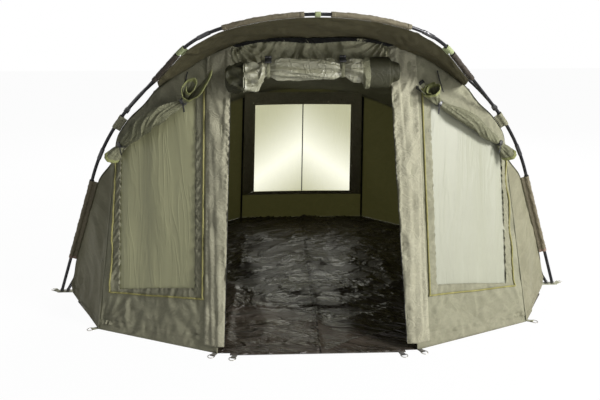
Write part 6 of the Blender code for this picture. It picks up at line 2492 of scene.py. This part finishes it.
@dataclass
class Poles(SubAssembly):
    """The three hoops' tubes with their swaged ferrules."""

    def tubes(self, prefix: str, hoop: Hoop, radius: float, start: float, joint: float, body: Body) -> None:
        """Two legs and a crown.

        Args:
            prefix: the hoop's name.
            hoop: its line.
            radius: the tube's radius.
            start: where the legs start along it.
            joint: where the legs end in the ferrules.
            body: what they ride on.
        """
        wide = 0.0112 * radius / MAIN_RADIUS
        for side in Side:
            stops = spaced(start, joint - 0.004, 0.02)
            path = np.array([hoop.world(s) for s in stops])
            radii = np.full(len(stops), radius)
            self.shape(
                f"{prefix}_tube_{side.word}", tube(path, radii, 24, hint=hoop.back), Finish.POLE, body.value,
                "pole_metal", side, replaces=[f"{prefix}_pole_{side.word}"]
            )
            ends = [
                (-0.034, radius * 1.02), (-0.0335, wide * 0.97), (-0.032, wide), (-0.026, wide), (-0.0255, wide * 0.95),
                (-0.024, wide * 0.95), (-0.0235, wide)
            ]
            ends += [(-d, r) for d, r in reversed(ends)]
            path = np.array([hoop.world(joint + d) for d, _ in ends])
            self.shape(
                f"{prefix}_ferrule_{side.word}", tube(path, np.array([r for _, r in ends]), 24, hint=hoop.back),
                Finish.FERRULE, body.value, "pole_metal", side
            )
        stops = spaced(joint - 0.002, hoop.length - joint + 0.002, 0.022)
        path = np.array([hoop.world(s) for s in stops])
        self.shape(
            f"{prefix}_tube_crown", tube(path, radius, 24, hint=hoop.back), Finish.POLE, body.value, "pole_metal",
            replaces=[f"{prefix}_pole_crown"]
        )

    def make(self) -> None:
        """Builds the tubes, and dresses the tips, brackets and eyes."""
        self.tubes("main", MAIN, MAIN_RADIUS, 0.014, MAIN.at_height(0.907), Body.FRONT)
        self.tubes("rear", REAR, MAIN_RADIUS, 0.014, FERRULE_REAR, Body.REAR)
        self.tubes("peak", PEAK, PEAK_RADIUS, 0.0243, PEAK.at_x(0.52), Body.PEAK)
        for name, obj in frame_nodes().items():
            if "_tip_" in name or "peak_bracket" in name or "peak_eye" in name:
                dress(obj, self.wardrobe.get(Finish.PLASTIC))
            if "foot_strap" in name:
                dress(obj, self.wardrobe.get(Finish.TAPE))


def frame_nodes() -> dict[str, bpy.types.Object]:
    """The CAD nodes by name."""
    nodes = FRAME["nodes"]
    if not isinstance(nodes, dict):
        return {obj.name: obj for obj in nodes}
    return {name: obj if isinstance(obj, bpy.types.Object) else bpy.data.objects[name] for name, obj in nodes.items()}


def dress(obj: bpy.types.Object, material: bpy.types.Material) -> None:
    """Gives a CAD node its finish."""
    for place in obj.material_slots:
        place.link = "OBJECT"
        place.material = material


def main_tail(along: float) -> float:
    """How far inside the main hoop its sleeves' tails end."""
    return main_inset(along) - CLOTH / 2 - TAIL_GAP


def peak_tail(along: float) -> float:
    """How far inside the peak hoop its sleeves' tails end."""
    return peak_inset(along) - CLOTH / 2 - TAIL_GAP


def rear_tail(_: float) -> float:
    """How far inside the rear hoop its sleeve's tail ends, the same all along."""
    return SEAM_INSET - CLOTH / 2 - TAIL_GAP


@dataclass
class Sleeves(SubAssembly):
    """The cloth sleeves on the hoops, their bound ends and their stitching.

    Args:
        clear: the gap round the pole.
        sides: points round each sleeve.
    """

    clear: float = 0.0022
    sides: int = 26

    def row(
        self, hoop: Hoop, along: float, tail: float, radius: float, behind: float, height: Callable[[float], float],
        grow: float
    ) -> list[Array]:
        """Points across a sleeve: from its tail on the cloth, round the pole and back beside itself.

        Args:
            hoop: the pole's line.
            along: the place along it.
            tail: how far inside the pole the tail ends.
            radius: the pole's radius.
            behind: how far the tail lies behind the pole's plane.
            height: height of the folds at an angle round the pole.
            grow: how much larger than the sleeve itself it is.

        Returns:
            The points.
        """
        middle = radius + self.clear + grow
        inward, centre = hoop.inward(along), hoop.world(along)
        back = hoop.back if behind < 0 else -hoop.back
        ring = []
        for angle in np.linspace(20, 345, self.sides):
            t = math.radians(angle)
            off = middle + height(angle)
            ring.append(centre + inward * (off * math.cos(t)) - back * (off * math.sin(t)))
        root = hoop.world(along, tail, behind) - back * grow
        return [mix(root, ring[0], s) for s in (0, 0.35, 0.7)] + ring

    def sleeve(
        self, name: str, hoop: Hoop, span: tuple[float, float], tail: Callable[[float], float], radius: float,
        behind: float, body: Body, side: Side, node: str, finish: Finish = Finish.SLEEVE, bound: bool = True
    ) -> None:
        """One sleeve with its folds, and a band at each end where it is bound.

        Args:
            name: the piece.
            hoop: the pole's line.
            span: where it starts and ends along the pole.
            tail: how far inside the pole its tail ends, by place along the pole.
            radius: the pole's radius.
            behind: how far the tail lies behind the pole's plane.
            body: what it rides on.
            side: the hand.
            node: the CAD node it stands for.
            finish: its finish.
            bound: whether its ends are bound.
        """
        rng = np.random.default_rng(len(name) * 7 + ord(name[-1]) + ord(name[0]))
        phase = rng.uniform(0, TAU, 6)
        low, high = span
        stops = spaced(low, high, 0.011, 6)

        def lift(s: float) -> Callable[[float], float]:
            """Height of the folds round the sleeve at a place along it."""
            hold = float(ease(min(s - low, high - s), 0, 0.03))

            def height(angle: float) -> float:
                """Three sets of small waves."""
                turn = math.radians(angle)
                waves = 0.0009 * math.sin(turn * 3 + 70 * s + phase[0]) + 0.0007 * math.sin(190 * s + phase[1] + turn)
                return hold * (waves + 0.0005 * math.sin(330 * s - 2 * turn + phase[2]) + 0.0008)

            return height

        columns = [self.row(hoop, s, tail(s), radius, behind, lift(s), 0) for s in stops]
        panel = Panel(swept(columns))
        self.sheet(
            panel, name, side, finish, body.value, "stretched", ["canopy_cloth"], [node] if node else [],
            "sleeve_cloth", 0.0012
        )
        if not bound:
            return
        for k, end in enumerate((low, high)):
            reach = min(0.020, (high - low) * 0.3)
            inner = end + (reach if k == 0 else -reach)
            columns = [
                self.row(hoop, s, tail(s), radius, behind, lambda angle: 0.0008, 0.0010)
                for s in np.linspace(end, inner, 6)
            ]
            binding_finish_and_ridge_highlight = Finish.SLEEVE_END if name.startswith("low") and k == 0 else finish
            band = Panel(swept(columns)).mesh(f"{name}_binding_{k + 1}", side)
            self.put(band, binding_finish_and_ridge_highlight, body.value, slot="sleeve_cloth", thickness=0.0008)

    def stitches(
        self, name: str, hoop: Hoop, span: tuple[float, float], tail: Callable[[float], float], back: float, body: Body,
        side: Side
    ) -> None:
        """A line of stitches along a sleeve's tail."""
        points, faces, count = [], [], 0
        stops = np.arange(span[0] + 0.006, span[1] - 0.006, 0.0066)
        for s in stops:
            ends = [hoop.world(s + d, tail(s + d) - 0.004, back) for d in (0, 0.0014, 0.0030, 0.0044)]
            made, loops = tube(np.array(ends), np.array([0.0002, 0.0005, 0.0005, 0.0002]), 5)
            points.append(made)
            faces += [tuple(c + count for c in loop) for loop in loops]
            count += len(made)
        self.shape(
            f"{name}_stitches_{side.word}", (np.concatenate(points), faces), Finish.THREAD, body.value, "sleeve_cloth",
            side
        )

    def make(self) -> None:
        """Builds every sleeve."""
        for side in Side:
            for word, (low, high) in (("low", (0.235, 0.745)), ("mid", (1.060, 1.125))):
                span = MAIN.at_height(low), MAIN.at_height(high)
                self.sleeve(
                    f"{word}_sleeve_cloth_{side.word}", MAIN, span, main_tail, MAIN_RADIUS, -LIP / 4, Body.FRONT, side,
                    f"{word}_sleeve_{side.word}", Finish.SLEEVE if word == "low" else Finish.FRONT
                )
                self.stitches(f"{word}_sleeve", MAIN, span, main_tail, -LIP / 4 - 0.0012, Body.FRONT, side)
            for word, (wide, narrow) in (("side", (0.800, 0.660)), ("top", (0.430, 0.060))):
                span = PEAK.at_x(wide), PEAK.at_x(narrow)
                self.sleeve(
                    f"peak_{word}_sleeve_cloth_{side.word}", PEAK, span, peak_tail, PEAK_RADIUS, 0.0, Body.PEAK, side,
                    f"peak_{word}_sleeve_{side.word}", Finish.SLEEVE if word == "top" else Finish.DARK_SLEEVE
                )
                self.stitches(f"peak_{word}_sleeve", PEAK, span, peak_tail, -0.0014, Body.PEAK, side)
            self.pad(side)
        middle = PEAK.length / 2
        self.sleeve(
            "peak_strap_cloth", PEAK, (middle - 0.013, middle + 0.013), peak_tail, PEAK_RADIUS, 0.0, Body.PEAK,
            Side.LEFT, "peak_centre_strap", Finish.GREEN_TAPE, False
        )
        start = FERRULE_REAR + 0.034 + 0.0015 + 0.014
        self.sleeve(
            "rear_sleeve_cloth", REAR, (start, REAR.length - start), rear_tail, MAIN_RADIUS, LIP / 4, Body.REAR,
            Side.LEFT, "rear_sleeve"
        )

    def pad(self, side: Side) -> None:
        """The pale webbing pad wrapped round the peak pole beside its side sleeve."""
        low = PEAK.at_x(0.655)
        columns = [
            self.row(PEAK, s, 0.024, PEAK_RADIUS, 0.0, lambda angle: 0.0004, 0.0006)
            for s in np.linspace(low, low + 0.055, 12)
        ]
        self.put(
            Panel(swept(columns)).mesh(f"peak_pad_{side.word}", side), Finish.GREEN_TAPE, Body.PEAK.value,
            slot="webbing", thickness=0.0014
        )


@dataclass
class GroundFittings(SubAssembly):
    """Webbing tabs with their peg rings, and the eyelets under the pole feet.

    Args:
        wire: the rings' wire radius.
        axis_z: height of the axes that the rings turn about.
    """

    wire: float = 0.0021
    axis_z: float = 0.0037

    def ring(self, name: str, hinge: tuple[float, float], out: Array, side: Side) -> None:
        """A D-ring of round wire whose bar lies in its tab and whose bow droops to the ground."""
        droop = math.asin((self.axis_z - self.wire - 0.0003) / 0.026)
        across = vec(-out[1], out[0], 0)
        lie = out * math.cos(droop) - vec(0, 0, math.sin(droop))
        corner = [(0.0, w) for w in np.linspace(-0.013, 0.013, 8)]
        bow = [(0.010 + 0.016 * math.cos(t), 0.016 * math.sin(t)) for t in np.linspace(math.pi / 2, -math.pi / 2, 28)]
        turn = [(0.003 * (1 - math.cos(t)), 0.013 + 0.003 * math.sin(t)) for t in np.linspace(0.4, math.pi / 2, 5)]
        path = corner + turn + bow + [(a, -b) for a, b in reversed(turn)]
        place = vec(hinge[0], hinge[1], self.axis_z)
        skin = tube(
            np.array([place + lie * a + across * b for a, b in path]), self.wire, 12, closed=True, hint=vec(0, 0, 1)
        )
        self.shape(
            f"{name}_wire_{side.word}", skin, Finish.STEEL, f"{name}_{side.short}", "ring_steel", side,
            replaces=[f"{name}_{side.word}"]
        )

    def tab(
        self, name: str, hinge: tuple[float, float], out: Array, side: Side, body: Body, finish: Finish = Finish.TAPE
    ) -> None:
        """A webbing tab folded round its ring's bar, and sewn down on itself."""
        across = vec(-out[1], out[0], 0)
        ground = vec(hinge[0], hinge[1], 0)
        bore = self.wire + 0.0003 + 0.00065
        nose = [
            (bore * math.cos(t), self.axis_z + bore * math.sin(t)) for t in np.linspace(-math.pi / 2, math.pi / 2, 12)
        ]
        path = (
            [(d, 0.0007) for d in np.linspace(-0.033, -0.006, 6)] + nose + [(-0.006, 0.0052)]
            + [(d, mix(0.0036, 0.0022, s)) for d, s in zip(np.linspace(-0.011, -0.033, 5), np.linspace(0, 1, 5))]
        )
        line = np.array([ground + out * a + vec(0, 0, b) for a, b in path])
        first = unit(np.cross(np.broadcast_to(across, line.shape), np.gradient(line, axis=0)))
        skin = ribbon(line, first, 0.0122, 0.0011, 0.0, across)
        self.shape(f"{name}_tab_{side.word}", skin, finish, body.value, "webbing", side)

    def make(self) -> None:
        """Builds every tab, ring and eyelet."""

        def beside(corner: tuple[float, float], other: tuple[float, float]) -> tuple[tuple[float, float], Array]:
            """A hinge point beside a ground corner and its outward direction."""
            run = unit(vec(other[0] - corner[0], other[1] - corner[1], 0))
            out = vec(run[1], -run[0], 0)
            out = -out if out[0] > 0 else out
            root = vec(corner[0], corner[1], 0) + run * 0.0155
            hinge = root + out * 0.030
            return (hinge[0], hinge[1]), out

        def heading(degrees: float) -> Array:
            """A level direction, turned from straight outwards towards the back."""
            return vec(-math.cos(math.radians(degrees)), math.sin(math.radians(degrees)), 0)

        places = {
            "foot_ring": ((-1.549 + 0.030 * heading(35)[0], 0.030 * heading(35)[1]), heading(35), Body.BASE),
            "side_ring": (*beside(SIDE_CORNER, FOOT_HEM), Body.FRONT),
            "door_ring": (*beside(DOOR_CORNER, SIDE_CORNER), Body.FRONT),
            "rear_ring": (*beside(REAR_CORNER, REAR_SIDE_CORNER), Body.BASE),
            "sheet_ring": (
                (-0.4075 + 0.030 * heading(-75)[0], -0.870 + 0.030 * heading(-75)[1]), heading(-75), Body.BASE
            ),
        }
        for side in Side:
            for name, (hinge, out, body) in places.items():
                self.ring(name, hinge, out, side)
                if name != "foot_ring":
                    self.tab(
                        name, hinge, out, side, body,
                        Finish.BLACK_TAPE if name in ("sheet_ring", "door_ring") else Finish.TAPE
                    )
            for word, x in (("main", MAIN.half_span), ("rear", REAR.half_span)):
                turns = np.linspace(0, TAU, 40, endpoint=False)
                path = np.array([vec(-x + 0.0136 * math.cos(t), 0.0136 * math.sin(t), 0.0040) for t in turns])
                skin = tube(path, 0.0018, 10, closed=True, flat=0.45, hint=vec(0, 0, 1))
                self.shape(f"{word}_grommet_{side.word}", skin, Finish.BRASS, Body.BASE.value, "fitting_plastic", side)


# ---------------------------------------------------------------- studio


@dataclass
class Studio:
    """A pale floor, soft lamps and the camera at the photograph's angle.

    Args:
        place: where the camera stands.
        yaw: degrees that it looks to the right of straight ahead.
        pitch: degrees that it looks down.
        roll: degrees that it leans.
        focus: its focal length in pixels of the photograph.
        frame_width: the photograph's width in pixels.
        sensor: the camera's sensor width in millimetres.
    """

    place: tuple[float, float, float] = (-0.174, -3.709, 1.494)
    yaw: float = 1.77
    pitch: float = 14.11
    roll: float = -0.24
    focus: float = 636.3
    frame_width: int = 600
    sensor: float = 36.0

    def camera(self) -> None:
        """The camera, whose lens gives the photograph's frame of 600 by 400."""
        data = bpy.data.cameras.new("view")
        data.sensor_width = self.sensor
        data.lens = self.focus / self.frame_width * self.sensor
        obj = bpy.data.objects.new("view", data)
        bpy.context.scene.collection.objects.link(obj)
        yaw, pitch, roll = (math.radians(a) for a in (self.yaw, self.pitch, self.roll))
        ahead = vec(math.sin(yaw), math.cos(yaw), 0)
        right = vec(math.cos(yaw), -math.sin(yaw), 0)
        look = ahead * math.cos(pitch) - vec(0, 0, 1) * math.sin(pitch)
        up = ahead * math.sin(pitch) + vec(0, 0, 1) * math.cos(pitch)
        right, up = right * math.cos(roll) + up * math.sin(roll), up * math.cos(roll) - right * math.sin(roll)
        rows = np.stack([right, up, -look], axis=1).tolist()
        obj.matrix_world = Matrix([(*row, p) for row, p in zip(rows, self.place)] + [(0, 0, 0, 1)])
        bpy.context.scene.camera = obj

    def lamp(
        self, name: str, place: tuple[float, float, float], aim: tuple[float, float, float], size: float, power: float
    ) -> None:
        """A soft square lamp aimed at a point."""
        data = bpy.data.lights.new(name, "AREA")
        data.size = size
        data.energy = power
        obj = bpy.data.objects.new(name, data)
        bpy.context.scene.collection.objects.link(obj)
        obj.location = place
        obj.rotation_euler = (Vector(aim) - Vector(place)).to_track_quat("-Z", "Y").to_euler()

    def seen(self, nodes: Nodes) -> bpy.types.NodeSocket:
        """1 where the camera, a reflection or a clear film looks at it."""
        ray = nodes.add("ShaderNodeLightPath").outputs
        mirrored = nodes.math("MAXIMUM", ray["Is Glossy Ray"], ray["Is Transmission Ray"])
        return nodes.math("MAXIMUM", ray["Is Camera Ray"], mirrored)

    def white(self, nodes: Nodes, shader: bpy.types.NodeSocket, strength: float) -> bpy.types.NodeSocket:
        """White by a strength, wherever it is seen directly."""
        share = nodes.math("MULTIPLY", self.seen(nodes), strength)
        glow = nodes.add("ShaderNodeEmission", {"Color": (1, 1, 1, 1), "Strength": 1.0})
        return nodes.add("ShaderNodeMixShader", {0: share, 1: shader, 2: glow.outputs[0]}).outputs[0]

    def make(self) -> None:
        """Builds the floor, the world and the lamps."""
        self.camera()
        scene = bpy.context.scene
        scene.view_settings.view_transform = "Standard"
        floor = bpy.data.meshes.new("floor")
        floor.from_pydata([(-30, -30, 0), (30, -30, 0), (30, 30, 0), (-30, 30, 0)], [], [(0, 1, 2, 3)])
        obj = bpy.data.objects.new("floor", floor)
        scene.collection.objects.link(obj)
        made = bpy.data.materials.new("pale_floor")
        made.use_nodes = True
        nodes = Nodes(made.node_tree)
        plain = nodes.add("ShaderNodeBsdfDiffuse", {"Color": (0.92, 0.92, 0.92, 1)})
        nodes.add("ShaderNodeOutputMaterial", {"Surface": self.white(nodes, plain.outputs[0], 0.965)})
        floor.materials.append(made)
        world = bpy.data.worlds.new("studio")
        world.use_nodes = True
        nodes = Nodes(world.node_tree)
        seen = self.seen(nodes)
        soft = nodes.add("ShaderNodeBackground", {"Color": (0.95, 0.97, 1.0, 1), "Strength": 0.20})
        white = nodes.add("ShaderNodeBackground", {"Color": (1, 1, 1, 1), "Strength": 1.0})
        both = nodes.add("ShaderNodeMixShader", {0: seen, 1: soft.outputs[0], 2: white.outputs[0]})
        nodes.add("ShaderNodeOutputWorld", {"Surface": both.outputs[0]})
        scene.world = world
        self.lamp("key", (5.5, -3.8, 3.8), (0.0, -0.2, 0.6), 2.0, 680)
        self.lamp("fill", (3.4, -4.3, 0.9), (0, -0.6, 1.2), 2.0, 48)
        self.lamp("behind", (0.6, 5.6, 3.6), (0, 0.8, 0.6), 3.5, 330)


def corners(bounds: object) -> list[list[float]]:
    """A box as two plain lists."""
    low, high = bounds
    return [[float(v) for v in low], [float(v) for v in high]]


def main() -> None:
    """Builds every sub-assembly in order."""
    wardrobe = Wardrobe()
    Studio().make()
    for part in (Canopy, Hood, FrontWalls, Door, Flaps, RearWalls, GroundSheet, Poles, Sleeves, GroundFittings):
        part(wardrobe).make()
        log.info("%s done", part.__name__)


if __name__ == "__main__":
    logging.basicConfig(level=logging.INFO, format="%(message)s")
    main()
